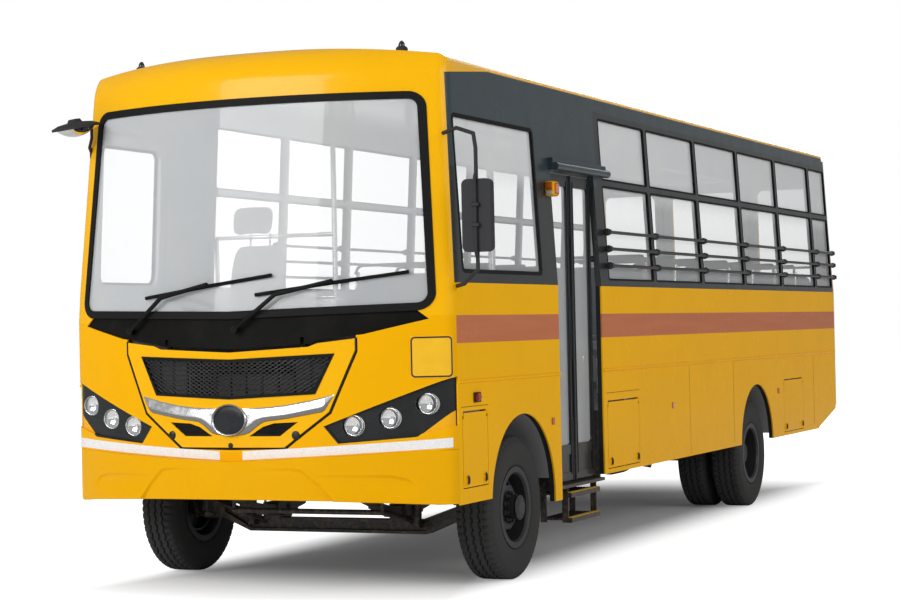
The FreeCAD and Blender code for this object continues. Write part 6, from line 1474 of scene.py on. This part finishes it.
    @staticmethod
    def mirror_stay() -> None:
        """The tube that crosses the front of the left mirror's head, with its two clamps."""
        x, front, arm = 1.392, station(-1.0625), station(-1.025)
        route = [(1.385, arm, 2.400), (1.387, arm - 0.004, 2.340), (x, front - 0.004, 2.285),
                 (x, front, 2.230), (x, front, 1.955), (x, front - 0.004, 1.900),
                 (1.387, arm - 0.004, 1.850), (1.385, arm, 1.800)]
        work = Patchwork().tube(smooth_path(route, 60), 0.0095, 14)
        for z in (2.150, 2.040):
            work.brick((x - 0.022, front - 0.013, z - 0.011), (x + 0.022, front + 0.014, z + 0.011), 0.004)
        add_piece("mirror_stay", work, Stuff.trim_black, Body.BUS)

    def latches(self) -> None:
        """Black turn latches near the foot of each skirt lid.

        Formula: an oval plate with a raised bar, laid on the lid's skin.
        """
        loop = rounded_loop(*self.latch_size)
        for body, spots, z in self.latch_spots:
            work = Patchwork()
            for spot in spots:
                y = station(spot)
                rings = [np.stack([np.full(len(loop), HALF_WIDTH + stand), y + loop[:, 0] * size,
                                   z + loop[:, 1] * size], -1) for stand, size in self.latch_layers]
                ends = [(HALF_WIDTH + stand, y, z) for stand, _ in self.latch_layers[::2]]
                work.sleeve(np.stack(rings), *ends)
                work.block(1.0, (HALF_WIDTH + 0.009, HALF_WIDTH + 0.017), (spot - 0.004, spot + 0.004),
                           (z - 0.018, z + 0.018), 0.002)
            add_piece("latches_" + body.name.lower(), work, Stuff.trim_black, body)

    def joints(self) -> None:
        """Sealant lines where the side sheets meet.

        Formula: thin flat beads on the skin, upright or level.
        """
        work = Patchwork()
        skin = (HALF_WIDTH, HALF_WIDTH + self.joint_gauge)
        for sign, _ in SIDES:
            for spot, foot in self.upright_joints:
                along = (spot - self.upright_half, spot + self.upright_half)
                work.block(sign, skin, along, (foot, self.upright_joint_head), self.joint_round)
        for first, last, z in self.level_joints:
            work.block(1.0, skin, (first, last), (z - self.level_half, z + self.level_half), self.joint_round)
        add_piece("sheet_joints", work, Stuff.seal, Body.BUS)

    def lamps(self) -> None:
        """Roof beacons, side repeater, reflectors, post lamp and tail lamps."""
        works = {name: Patchwork() for name, _, _ in self.lamp_pieces}
        self._beacons(works["lamp_bases"], works["beacon_domes"])
        self._oval(works["amber_lenses"], -0.668, 1.098, 0.018, 0.014, 0.020)
        half = self.reflector_half
        for sign, spot, z in self.reflectors:
            works["amber_lenses"].block(sign, (HALF_WIDTH, HALF_WIDTH + self.reflector_gauge),
                                        (spot - half, spot + half), (z - half, z + half), 0.003)
        for name, sign, plane, x, y, z, round_off in self.side_lamps:
            works[name].block(sign, (plane + x[0], plane + x[1]), y, z, round_off)
        tail = TAIL_STATION
        for sign, _ in SIDES:
            for name, x in self.tail_lamps:
                works[name].block(sign, x, (tail + 0.004, tail + 0.024), (1.086, 1.184), 0.008)
            works["lamp_bases"].block(sign, (0.694, 1.066), (tail, tail + 0.008), (1.078, 1.192), 0.004)
        for name, finish, slot in self.lamp_pieces:
            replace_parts(add_piece(name, works[name], finish, Body.BUS), "marker_lamps")

    def _beacons(self, bases: Patchwork, domes: Patchwork) -> None:
        """Adds the foot and the domed cap of each beacon on the roof."""
        reach, spot = self.beacon_place
        seat, height, radius = self.beacon_dome
        rise = np.linspace(0.0, 1.0, 10) * QUARTER_TURN
        cap = np.stack([seat + height * np.sin(rise), radius * np.cos(rise)], -1)
        for x in (-reach, reach):
            crown = CROWN_Z - CROWN_DROP * (x / HALF_WIDTH) ** 2
            centre = Vector((x, station(spot), crown - self.beacon_sink))
            bases.lathe(np.array(self.beacon_foot), centre, UP, 40)
            domes.lathe(np.concatenate([[(seat, 0.0)], cap]), centre, UP, 40)

    @staticmethod
    def _oval(work: Patchwork, spot: float, z: float, reach: float, rise: float, stand: float) -> None:
        """Adds an oval cap that stands off the left skin.

        Formula: ellipses that shrink outwards as a quarter circle.
        """
        t = np.linspace(0.0, 1.0, 8) * QUARTER_TURN
        scale = np.cos(t * 0.999)
        angle = np.linspace(0.0, FULL_TURN, 36, endpoint=False)
        y = station(spot) + reach * np.cos(angle)[None] * scale[:, None]
        up = z + rise * np.sin(angle)[None] * scale[:, None]
        x = np.broadcast_to(HALF_WIDTH + stand * np.sin(t)[:, None], y.shape)
        base = np.broadcast_to(np.array([HALF_WIDTH, station(spot), z]), (1, 36, 3))
        work.grid(np.concatenate([base, np.stack([x, y, up], -1)]), wrap_columns=True)

    def _spans(self) -> list[tuple[float, float]]:
        """Front and rear edge of each window of the left band."""
        posts = np.array(self.posts)
        starts = np.concatenate([[self.window_start], posts + self.post_width / 2])
        ends = np.concatenate([posts - self.post_width / 2, [self.window_end]])
        return list(zip(starts, ends))

    @staticmethod
    def _frame(work: Patchwork, sign: float, span: tuple[float, float], rise: tuple[float, float],
               radius: float, width: float = 0.012) -> None:
        """Adds a rubber bead round a side opening.

        Formula: the opening's rounded outline and one drawn in by the bead's width, with a
        round-backed section between them.
        """
        (first, last), (low, high) = span, rise
        middle = ((first + last) / 2, (low + high) / 2)
        rings = []
        for inset, out in ((-0.001, -0.012), (-0.001, 0.0012), (width * 0.35, 0.0024), (width, 0.0006),
                           (width, -0.012)):
            corner = max(radius - inset, 0.004)
            loop = rounded_loop(last - first - 2 * inset, high - low - 2 * inset, corner, 7)
            z = middle[1] + loop[:, 1]
            x = sign * (half_width(z) + out)
            rings.append(np.stack([x, station(middle[0] + loop[:, 0]), z], -1))
        work.grid(np.stack(rings), wrap_rows=True, wrap_columns=True)

    def window_rubbers(self) -> None:
        """Rubber beads round every pane of both sides."""
        for sign, name in SIDES:
            work = Patchwork()
            spans = self._spans()
            if sign < 0:
                spans = [(self.right_start, self.window_start - self.post_width), *spans]
            for span in spans:
                for rise in self.window_rows:
                    self._frame(work, sign, span, rise, self.window_corner)
            if sign > 0:
                self._frame(work, sign, *self.front_window)
            add_piece("window_rubbers_" + name, work, Stuff.seal, Body.BUS)
        work = Patchwork()
        self._frame(work, -1.0, *self.driver_window)
        add_piece("driver_window_rubber", work, Stuff.seal, Body.DRIVER_DOOR)

    def door_rubbers(self) -> None:
        """Rubber lips down the meeting edges of the folding door, and flat beads beside them."""
        section = np.array([(-0.009, 0.0), (-0.006, 0.0022), (0.006, 0.0022), (0.009, 0.0), (0.0, -0.0004)])
        for body, front, rear in self.door_edges:
            work = Patchwork()
            for spot in (front, rear):
                work.tube(self._upright(self.door_plane, spot, 0.0, 12), 0.0032)
            for spot in (front + self.door_bead_inset, rear - self.door_bead_inset):
                line = self._upright(self.door_plane + self.door_bead_stand, spot, 0.03, 3)
                work.ribbon(line, section, BACKWARDS)
            add_piece("door_seals_" + body.name.lower(), work, Stuff.seal, body)

    def _upright(self, x: float, spot: float, short: float, count: int) -> np.ndarray:
        """An upright line over the service door's height, cut short at both ends."""
        z = np.linspace(self.door_foot + short, self.door_head - short, count)
        return np.stack([np.full(count, x), np.full(count, station(spot)), z], -1)


# ---------------------------------------------------------------- tyres and wheels


@dataclass
class TyreMaker:
    """Radial tyres with grooved tread, shoulder blocks and rings on the sidewall."""

    radius: float = AXLE_Z
    width: float = TYRE_WIDTH
    flange: float = 0.240
    bead: float = 0.207
    around: int = 240
    wall: float = 0.018
    groove_depth: float = 0.012
    groove_width: float = 0.0105
    grooves: tuple[float, ...] = (-0.046, 0.0, 0.046)
    weave: float = 0.0035
    weaves: int = 48
    slots: int = 60
    slot_share: float = 0.55
    slot_depth: float = 0.010
    shoulder_x: float = 0.064
    shoulder_drop: float = 0.034
    tread_drop: float = 0.0040
    rib_height: float = 0.0007
    twin_pitch: float = 0.280

    def profile(self) -> np.ndarray:
        """Half the section as (across, radius) pairs, from the bead to the tread's middle."""
        half, flange, radius = self.width / 2, self.flange, self.radius
        side = ((0.020, self.bead), (0.020, flange + 0.003), (0.010, flange + 0.012), (0.004, flange + 0.040),
                (0.0008, flange + 0.080), (0.003, radius - 0.060), (0.012, radius - 0.028),
                (0.024, radius - 0.0085), (0.034, radius - 0.0035))
        wall = smooth_path([(-half + inset, r, 0) for inset, r in side], 30)[:, :2]
        across = np.linspace(-half + 0.036, 0.0, 31)
        tread = np.stack([across, radius - 0.0004 - 0.0030 * (np.abs(across) / half) ** 2], -1)
        return np.concatenate([wall, tread])

    def surface(self, centre: Vector, sign: float) -> Patchwork:
        """One tyre as a grid of angle by section place.

        Formula: the radius is the section's radius less the depth of the grooves, which are
        bands across the tread that weave with the angle, and slots over the shoulders.
        """
        half = self.profile()
        section = np.concatenate([half, half[-2::-1] * (-1.0, 1.0)])
        angle = np.linspace(0.0, FULL_TURN, self.around, endpoint=False)
        x = np.broadcast_to(section[None, :, 0], (self.around, len(section))).copy()
        r = np.broadcast_to(section[None, :, 1], x.shape).copy()
        weave = self.weave * np.sign(np.sin(angle * self.weaves))[:, None]
        tread = r > self.radius - self.tread_drop
        cut = np.zeros_like(r)
        for middle in self.grooves:
            cut = np.maximum(cut, np.abs(x - middle - weave) < self.groove_width / 2)
        shoulder = (np.abs(x) > self.shoulder_x) & (r > self.radius - self.shoulder_drop)
        slots = (np.sin(angle * self.slots) > self.slot_share)[:, None] & shoulder
        r = r - self.groove_depth * cut * tread - self.slot_depth * slots
        ribs = (np.abs(r - (self.flange + 0.034)) < 0.003) | (np.abs(r - (self.radius - 0.062)) < 0.0025)
        x = x + np.sign(x) * self.rib_height * ribs * (np.abs(x) > 0.05)
        inner_x = np.sign(section[:, 0]) * np.maximum(np.abs(section[:, 0]) - self.wall, 0.0)
        inner_r = np.maximum(section[:, 1] - self.wall * (section[:, 1] > self.flange + 0.02), self.bead)
        outside, lining = (
            np.stack(np.broadcast_arrays(centre.x + sign * across, centre.y + reach * np.sin(angle)[:, None],
                                         centre.z + reach * np.cos(angle)[:, None]), -1)
            for across, reach in ((x, r), (inner_x, inner_r)))
        section = np.concatenate([outside, lining[:, ::-6]], 1)
        return Patchwork().grid(section, wrap_rows=True, wrap_columns=True)

    def build(self) -> None:
        """Makes the tyres of all four wheel bodies."""
        for sign, side in SIDES:
            front = self.surface(Vector((sign * TYRE_MIDDLE_X, FRONT_AXLE_Y, AXLE_Z)), sign)
            body = Body["WHEEL_FRONT_" + side.upper()]
            piece = add_piece("road_tyre_front_" + side, front, Stuff.tyre, body)
            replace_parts(piece, "tyre_front_" + side)
            body = Body["WHEEL_REAR_" + side.upper()]
            for place, x in (("outer", TYRE_MIDDLE_X), ("inner", TYRE_MIDDLE_X - self.twin_pitch)):
                rear = self.surface(Vector((sign * x, station(WHEELBASE), AXLE_Z)), sign)
                piece = add_piece(f"road_tyre_rear_{side}_{place}", rear, Stuff.tyre, body)
                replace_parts(piece, "tyre_rear_" + side)


@dataclass
class WheelFittings:
    """Nuts, valve stems and hub rings of the wheels."""

    places: tuple = (
        ("front", 0.0, TYRE_MIDDLE_X + 0.058, 1.190),
        ("rear", WHEELBASE, TYRE_MIDDLE_X - 0.140 + 0.024, 1.106),
    )
    nuts: int = 10
    nut_pitch: float = 0.082
    screws: int = 8
    screw_pitch: float = 0.061
    nut: tuple = ((0.0, 0.0), (0.0, 0.0185), (0.003, 0.0185), (0.003, 0.0155), (0.018, 0.0155),
                  (0.022, 0.012), (0.022, 0.0))
    stud: tuple = ((0.020, 0.0), (0.020, 0.009), (0.033, 0.009), (0.0345, 0.007), (0.0345, 0.0))
    screw: tuple = ((0.0, 0.0), (0.0, 0.0055), (0.0045, 0.0055), (0.0045, 0.0))
    lid: tuple = ((0.0, 0.0), (0.0, 0.073), (0.006, 0.0735), (0.010, 0.070), (0.010, 0.052), (0.0125, 0.048),
                  (0.0135, 0.020), (0.0135, 0.0))
    stem: tuple = ((-0.010, 0.125), (0.010, 0.128), (0.020, 0.118))
    stem_drop: float = 0.02

    def build(self) -> None:
        """Makes the fittings of all four wheel bodies."""
        for sign, side in SIDES:
            axis = Vector((sign, 0.0, 0.0))
            for place, spot, face, cap in self.places:
                work = Patchwork()
                y = station(spot)
                for turn in np.arange(self.nuts) * 2 * math.pi / self.nuts:
                    centre = self._round(sign * face, y, self.nut_pitch, turn)
                    work.lathe(np.array(self.nut), centre, axis, 6)
                    work.lathe(np.array(self.stud), centre, axis, 14)
                work.lathe(np.array(self.lid), Vector((sign * (cap - 0.012), y, AXLE_Z)), axis, 48)
                for turn in np.arange(self.screws) * 2 * math.pi / self.screws + 0.2:
                    centre = self._round(sign * (cap - 0.004), y, self.screw_pitch, turn)
                    work.lathe(np.array(self.screw), centre, axis, 6)
                stem = [(sign * (face + out), y + back, AXLE_Z - self.stem_drop) for out, back in self.stem]
                work.tube(smooth_path(stem, 8), 0.004)
                body = Body[f"WHEEL_{place.upper()}_{side.upper()}"]
                add_piece(f"wheel_nuts_{place}_{side}", work, Stuff.wheel_black, body)

    @staticmethod
    def _round(x: float, y: float, pitch: float, turn: float) -> Vector:
        """A place on a circle about a wheel's axis."""
        return Vector((x, y + pitch * math.sin(turn), AXLE_Z + pitch * math.cos(turn)))


# ---------------------------------------------------------------- seats


@dataclass
class Pad:
    """A crowned cushion between two corners, given as a closed grid and filled by simulation."""

    low: tuple[float, float, float]
    high: tuple[float, float, float]
    crown: float = 0.018
    lean: float = 0.0
    levels: int = 28
    around: int = 72
    squareness: float = 0.22
    side_curve: float = 0.28
    face_curve: float = 0.75

    def grid(self) -> Patchwork:
        """The pad's closed surface.

        Formula: a super-ellipse section of the width and depth, shrunk and rounded towards both
        faces, with a crown in the middle of the upper face and a lean along its height.
        """
        low, high = np.array(self.low), np.array(self.high)
        centre, reach = (low + high) / 2, (high - low) / 2
        turn = np.linspace(0.0, FULL_TURN, self.around, endpoint=False)
        cx = np.sign(np.cos(turn)) * np.abs(np.cos(turn)) ** self.squareness
        cy = np.sign(np.sin(turn)) * np.abs(np.sin(turn)) ** self.squareness
        level = np.linspace(-QUARTER_TURN, QUARTER_TURN, self.levels)
        size = np.cos(level) ** self.side_curve
        height = np.sign(np.sin(level)) * np.abs(np.sin(level)) ** self.face_curve
        x = centre[0] + reach[0] * cx[None] * size[:, None]
        y = centre[1] + reach[1] * cy[None] * size[:, None]
        z = centre[2] + reach[2] * height[:, None] * np.ones_like(x)
        bulge = (1 - ((x - centre[0]) / reach[0]) ** 2) * (1 - ((y - centre[1]) / reach[1]) ** 2)
        z = z + np.sign(height)[:, None] * self.crown * (bulge - 0.5) * (np.abs(height)[:, None] > 0.2)
        y = y + (z - low[2]) * self.lean
        return Patchwork().grid(np.stack([x, y, z], -1), wrap_columns=True)


@dataclass
class Filling:
    """Swells several pads at once, as cloth bags under pressure."""

    pressure: float = 4.0
    frames: int = 20
    reach: float = 0.024
    thin_share: float = 0.16

    def swell(self, pads: dict[str, tuple[Pad, float, int]]) -> Forms:
        """Runs one simulation over all the pads.

        Formula: each pad is remeshed to even cells, blown up by the pressure without gravity,
        and then each point keeps its own way up to a longest allowed move.

        Args:
            pads: Pad, cell size and rounds of subdivision by name.

        Returns:
            Points, in the body's own frame, and four-cornered faces by name.
        """
        scene = bpy.context.scene
        bags = {name: self._bag(name, pad, cell) for name, (pad, cell, _) in pads.items()}
        rest = {name: mesh_points(bag.data).astype(float) for name, bag in bags.items()}
        for frame in range(1, self.frames + 1):
            scene.frame_set(frame)
        graph = bpy.context.evaluated_depsgraph_get()
        results = {}
        for name, bag in bags.items():
            move = mesh_points(bag.evaluated_get(graph).to_mesh()).astype(float) - rest[name]
            length = np.linalg.norm(move, axis=1, keepdims=True)
            reach = min(self.reach, self.thin_share * float(np.ptp(rest[name], axis=0).min()))
            points = rest[name] + move * np.minimum(1.0, reach / np.maximum(length, 1.0e-9))
            bag.modifiers.clear()
            bag.data.vertices.foreach_set("co", points.astype(np.float32).ravel())
            results[name] = self._finished(bag, pads[name][2])
            LOG.info("%s: %d points, moved up to %.4f m", name, len(results[name][0]), float(length.max()))
        for bag in bags.values():
            bpy.data.objects.remove(bag)
        scene.frame_set(1)
        return results

    def _bag(self, name: str, pad: Pad, cell: float) -> bpy.types.Object:
        """An object of even cells with its cloth settings."""
        bag = add_object(name, pad.grid().mesh(name))
        remesh = bag.modifiers.new("cells", "REMESH")
        remesh.mode = "VOXEL"
        remesh.voxel_size = cell
        graph = bpy.context.evaluated_depsgraph_get()
        even = bpy.data.meshes.new_from_object(bag.evaluated_get(graph))
        bag.modifiers.clear()
        bag.data = even
        cloth = bag.modifiers.new("bag", "CLOTH")
        cloth.settings.quality = 4
        cloth.settings.mass = 0.3
        cloth.settings.use_pressure = True
        cloth.settings.uniform_pressure_force = self.pressure
        cloth.settings.effector_weights.gravity = 0.0
        cloth.collision_settings.use_collision = False
        return bag

    @staticmethod
    def _finished(bag: bpy.types.Object, rounds: int) -> tuple[np.ndarray, np.ndarray]:
        """Subdivides a swollen bag and reads its points and faces."""
        if rounds:
            finer = bag.modifiers.new("finer", "SUBSURF")
            finer.levels = finer.render_levels = rounds
        graph = bpy.context.evaluated_depsgraph_get()
        data = bpy.data.meshes.new_from_object(bag.evaluated_get(graph))
        return (mesh_points(data).astype(float) - (BODY_X, 0.0, 0.0),
                loop_corners(data).reshape(-1, 4).astype(int))


def press_seams(points: np.ndarray, lines: list[float], depth: float, width: float) -> np.ndarray:
    """Draws a pad's skin in along sewn lines that cross its width.

    Formula: each point moves towards the pad's middle height by the depth times a bell curve of
    its distance from the nearest line.
    """
    centre = (points.min(0) + points.max(0)) / 2
    away = np.min(np.abs(points[:, 0, None] - np.array(lines)[None]), axis=1)
    bell = depth * np.exp(-((away / width) ** 2))
    thin = int(np.argmin(np.ptp(points, axis=0)))
    moved = points.copy()
    moved[:, thin] -= np.sign(points[:, thin] - centre[thin]) * bell
    return moved


@dataclass
class Benches:
    """Rows of passenger benches: cushions, backs, hand rails and tube frames."""

    rows: int = 8
    pitch: float = 0.690
    first: float = 2.050
    width: float = 0.890
    edge: float = HALF_WIDTH - 0.040 - 0.014
    slack: float = 0.022
    cell: float = 0.016
    floor_z: float = 0.930
    box_z: float = 1.010
    box_reach: float = 0.60
    seams: int = 5
    seam_depth: float = 0.006
    seam_width: float = 0.012
    frame_radius: float = 0.0125
    rail_radius: float = 0.011
    frame_inset: float = 0.045
    side_tube: tuple = ((0.050, 1.230), (0.100, 1.272), (0.300, 1.272), (0.392, 1.300), (0.470, 1.600),
                        (0.548, 1.912))
    rail: tuple = ((0.045, 0.500, 1.900), (0.060, 0.538, 1.952), (0.150, 0.545, 1.962))
    front_leg: float = 0.060
    rear_leg: tuple[float, float, float] = (0.360, 0.350, 1.272)
    middle: float = 0.22

    def pads(self) -> dict[str, tuple[Pad, float, int]]:
        """The forms of one cushion and one back, a little slack, with their cell size."""
        x0, x1 = self.edge - self.width + self.slack, self.edge - self.slack
        return {
            "bench_cushion_form": (Pad((x0, 0.018, 1.290), (x1, 0.382, 1.356), 0.012), self.cell, 0),
            "bench_back_form": (Pad((x0, 0.411, 1.392), (x1, 0.450, 1.908), 0.0, 0.150), self.cell, 0),
        }

    def build(self, forms: Forms) -> None:
        """Makes the benches' soft and hard pieces.

        Args:
            forms: Swollen points and faces by name.
        """
        lines = list(np.linspace(self.edge - self.width, self.edge, self.seams + 2)[1:-1])
        for name, form in (("bench_cushions", "bench_cushion_form"), ("bench_backs", "bench_back_form")):
            points, faces = forms[form]
            pressed = press_seams(points, lines, self.seam_depth, self.seam_width)
            work = Patchwork()
            for row in range(self.rows):
                shift = np.array([0.0, station(self.first + self.pitch * row), 0.0])
                for sign, _ in SIDES:
                    work.take((pressed * (sign, 1.0, 1.0) + shift)[None], faces)
            piece = add_piece(name, work, Stuff.cover, Body.BUS)
            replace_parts(piece, "passenger_seats")
        self._frames()

    def _frames(self) -> None:
        """Legs, side tubes and top hand rails of every bench.

        Formula: each side has a tube from the floor along the cushion and up the back, and a rear
        leg; over the rear wheels both stand on the wheel boxes.
        """
        tubes, rails = Patchwork(), Patchwork()
        x0, x1 = self.edge - self.width, self.edge
        low_back, high_back, high_z = self.rear_leg
        for row in range(self.rows):
            place = self.first + self.pitch * row
            base = station(place)
            foot = self.box_z if abs(place + self.middle - WHEELBASE) < self.box_reach else self.floor_z
            for sign, _ in SIDES:
                for x in (sign * (x0 + self.frame_inset), sign * (x1 - self.frame_inset)):
                    loop = [(x, base + back, z) for back, z in ((self.front_leg, foot), *self.side_tube)]
                    tubes.tube(smooth_path(loop, 40), self.frame_radius)
                    rear = [(x, base + low_back, foot), (x, base + high_back, high_z)]
                    tubes.tube(smooth_path(rear, 6), self.frame_radius)
                grab = [(sign * (x0 + inset), base + back, z) for inset, back, z in self.rail]
                grab += [(sign * (x1 - inset), base + back, z) for inset, back, z in reversed(self.rail)]
                rails.tube(smooth_path(grab, 60), self.rail_radius)
        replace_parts(add_piece("bench_frames", tubes, Stuff.steel, Body.BUS), "passenger_seats")
        piece = add_piece("bench_hand_rails", rails, Stuff.trim_black, Body.BUS)
        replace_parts(piece, "passenger_seats")


@dataclass
class DriverPlace:
    """The driver's seat: cushion, back, head rest and pedestal."""

    x: float = -0.640
    y: float = station(0.060)
    pad_forms: tuple = (
        ("driver_cushion", 0.224, -0.386, 0.026, 1.338, 1.424, 0.014, 0.0, 0.013),
        ("driver_back", 0.214, 0.030, 0.088, 1.432, 2.056, 0.0, 0.185, 0.013),
        ("driver_head_rest", 0.138, 0.038, 0.088, 2.094, 2.276, 0.0, 0.165, 0.011),
    )
    seams: tuple = (("driver_cushion", 0.135), ("driver_back", 0.130), ("driver_head_rest", None))
    seam_depth: float = 0.008
    seam_width: float = 0.010

    def pads(self) -> dict[str, tuple[Pad, float, int]]:
        """The forms of the cushion, back and head rest, a little slack, with their cell size.

        Formula: a row of the table gives half the width, the front, rear, foot and head, then the
        crown, the lean and the cell size.
        """
        forms = {}
        for name, half, front, rear, foot, head, crown, lean, cell in self.pad_forms:
            low, high = (self.x - half, self.y + front, foot), (self.x + half, self.y + rear, head)
            forms[name] = (Pad(low, high, crown, lean), cell, 1)
        return forms

    def build(self, forms: Forms) -> None:
        """Makes the seat's soft pieces and its pedestal.

        Args:
            forms: Swollen points and faces by name.
        """
        x, y = self.x, self.y
        for name, seam in self.seams:
            points, faces = forms[name]
            if seam is not None:
                points = press_seams(points, [x - seam, x + seam], self.seam_depth, self.seam_width)
            work = Patchwork()
            work.take(points[None], faces)
            piece = add_piece(name, work, Stuff.driver_cover, Body.BUS)
            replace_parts(piece, "driver_seat")
        work = Patchwork().brick((x - 0.180, y - 0.320, 0.990), (x + 0.180, y - 0.020, 1.330), 0.012)
        for side in (-0.07, 0.07):
            work.tube(np.array([(x + side, y + 0.165, 2.030), (x + side, y + 0.176, 2.110)]), 0.006)
        piece = add_piece("driver_pedestal", work, Stuff.trim_black, Body.BUS)
        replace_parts(piece, "driver_seat")


# ---------------------------------------------------------------- steps, studio


@dataclass
class Steps:
    """Yellow nosings and ribbed treads of the entry steps."""

    front: float = 0.745
    rear: float = 1.265
    tops: tuple[float, float] = (0.445, 0.290)
    rib_pitch: float = 0.018

    def build(self) -> None:
        """Makes the nosings and treads."""
        noses, treads = Patchwork(), Patchwork()
        for z in self.tops:
            noses.block(1.0, (1.190, 1.2288), (self.front + 0.004, self.rear - 0.004),
                        (z - 0.002, z + 0.0075), 0.003)
            for rib in np.arange(1.035, 1.180, self.rib_pitch):
                treads.block(1.0, (rib - 0.003, rib + 0.003), (self.front + 0.006, self.rear - 0.006),
                             (z - 0.001, z + 0.0025), 0.001)
        add_piece("step_nosings", noses, Stuff.step_yellow, Body.BUS)
        add_piece("step_treads", treads, Stuff.seal, Body.BUS)


@dataclass
class Studio:
    """Camera, lamps, floor and sky of the photograph."""

    place: tuple[float, float, float] = (5.871, -14.853, 1.494)
    yaw: float = 23.772
    pitch: float = 0.718
    roll: float = -1.243
    lens: float = 84.99
    sensor: float = 36.0
    half_length: float = 4.62
    # Glow of the floor far from the bus, and near it, where the drop in glow is a painted shadow.
    far_glow: float = 0.72
    near_glow: float = 0.04

    def build(self) -> None:
        """Sets the whole studio up."""
        self.camera()
        self.lamps()
        self.floor()
        self.sky()
        bpy.context.scene.view_settings.view_transform = "Standard"

    def camera(self) -> None:
        """The camera at the photograph's own place."""
        yaw, pitch, roll = (math.radians(v) for v in (self.yaw, self.pitch, self.roll))
        level = Vector((-math.sin(yaw), math.cos(yaw), 0.0))
        right = Vector((math.cos(yaw), math.sin(yaw), 0.0))
        ahead = level * math.cos(pitch) + UP * math.sin(pitch)
        up = -level * math.sin(pitch) + UP * math.cos(pitch)
        side = right * math.cos(roll) + up * math.sin(roll)
        top = -right * math.sin(roll) + up * math.cos(roll)
        data = bpy.data.cameras.new("camera")
        data.sensor_width = self.sensor
        data.sensor_fit = "HORIZONTAL"
        data.lens = self.lens
        data.clip_end = 200.0
        camera = add_object("camera", data)
        turn = Matrix((side, top, -ahead)).transposed()
        spot = Vector(self.place) + Vector((BODY_X, 0.0, 0.0))
        camera.matrix_world = Matrix.Translation(spot) @ turn.to_4x4()
        bpy.context.scene.camera = camera

    @staticmethod
    def lamps() -> None:
        """Soft rectangular lamps that look at a point: before the nose, along the left side and behind."""
        for name, place, aim, width, height, power in (
            ("key", (-5.0, -19.0, 8.0), (0.0, -3.0, 1.4), 10.0, 7.0, 1500.0),
            ("side", (15.0, -5.0, 7.5), (0.0, 0.0, 1.4), 12.0, 6.0, 560.0),
            ("back", (-4.0, 18.0, 9.0), (0.0, 1.0, 1.5), 10.0, 6.0, 900.0),
        ):
            data = bpy.data.lights.new(name, "AREA")
            data.shape = "RECTANGLE"
            data.size, data.size_y, data.energy = width, height, power
            lamp = add_object(name, data)
            lamp.location = place
            lamp.rotation_euler = (Vector(aim) - Vector(place)).to_track_quat("-Z", "Y").to_euler()

    def floor(self) -> None:
        """A wide pale floor that keeps the shadow and is seen through from below.

        Formula: it glows a little towards the camera, by the distance from the bus in a square measure, so
        the far floor is white and the glow fades out towards the bus: a painted shadow round and under the
        bus, on top of the lamps' own shadow.
        """
        side = np.linspace(-60.0, 60.0, 3)
        x, y = np.meshgrid(side, side, indexing="ij")
        data = Patchwork().grid(np.stack([x, y, np.zeros_like(x)], -1)).mesh("floor")
        if data.polygons[0].normal.z < 0:
            data.flip_normals()
        floor = add_object("floor", data)
        recipe = Recipe("floor_white")
        recipe.put("Base Color", recipe.blend(recipe.noise(0.6), (0.90, 0.90, 0.90), (0.915, 0.915, 0.915)))
        recipe.put("Roughness", 0.8)
        recipe.put("Specular IOR Level", 0.1)
        # Painted shadow: the glow seen by the camera falls from the far level to the near one as the floor
        # nears the bus.
        across = recipe.calc("DIVIDE", recipe.reach(), HALF_WIDTH)
        along = recipe.calc("DIVIDE", recipe.calc("ABSOLUTE", recipe.axis("Y")), self.half_length)
        painted_shadow_glow = recipe.ramp(recipe.calc("MAXIMUM", across, along), 0.60, 1.14, self.near_glow, self.far_glow)
        seen = recipe.times(recipe.node("LightPath").outputs["Is Camera Ray"], painted_shadow_glow)
        glow = recipe.node("Emission", Strength=seen)
        lit = recipe.node("AddShader", recipe.shader.outputs[0], glow.outputs[0])
        below = recipe.node("NewGeometry").outputs["Backfacing"]
        clear = recipe.node("BsdfTransparent")
        recipe.surface(recipe.node("MixShader", below, lit.outputs[0], clear.outputs[0]).outputs[0])
        data.materials.append(recipe.item)

    @staticmethod
    def sky() -> None:
        """Even pale light all round, dimmer in reflections and white where the camera looks at it."""
        world = bpy.data.worlds.new("sky")
        bpy.context.scene.world = world
        world.use_nodes = True
        tree = world.node_tree
        back = tree.nodes["Background"]
        path, white, dim, level = (tree.nodes.new("ShaderNode" + kind)
                                   for kind in ("LightPath", "Math", "MapRange", "Mix"))
        white.operation = "MAXIMUM"
        dim.inputs["To Min"].default_value = 0.42
        dim.inputs["To Max"].default_value = 0.34
        level.inputs[3].default_value = 1.0
        back.inputs["Color"].default_value = (1.0, 1.0, 1.0, 1.0)
        for source, target in (
            (path.outputs["Is Camera Ray"], white.inputs[0]),
            (path.outputs["Is Transmission Ray"], white.inputs[1]),
            (path.outputs["Is Glossy Ray"], dim.inputs["Value"]), (white.outputs[0], level.inputs[0]),
            (dim.outputs[0], level.inputs[2]), (level.outputs[0], back.inputs["Strength"]),
        ):
            tree.links.new(source, target)


def main() -> None:
    """Loads the frame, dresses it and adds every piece."""
    logging.basicConfig(level=logging.INFO, format="%(message)s")
    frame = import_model()
    Studio().build()
    dress_nodes(frame["nodes"])
    thicken(frame["nodes"]["wipers"], "wiper_set", Stuff.wiper_black, 0.0032)
    for part in (NoseTrim(), BumperSkin(), SideTrim(), TyreMaker(), WheelFittings(), Steps()):
        part.build()
    benches, driver = Benches(), DriverPlace()
    forms = Filling().swell({**benches.pads(), **driver.pads()})
    benches.build(forms)
    driver.build(forms)


if __name__ == "__main__":
    main()
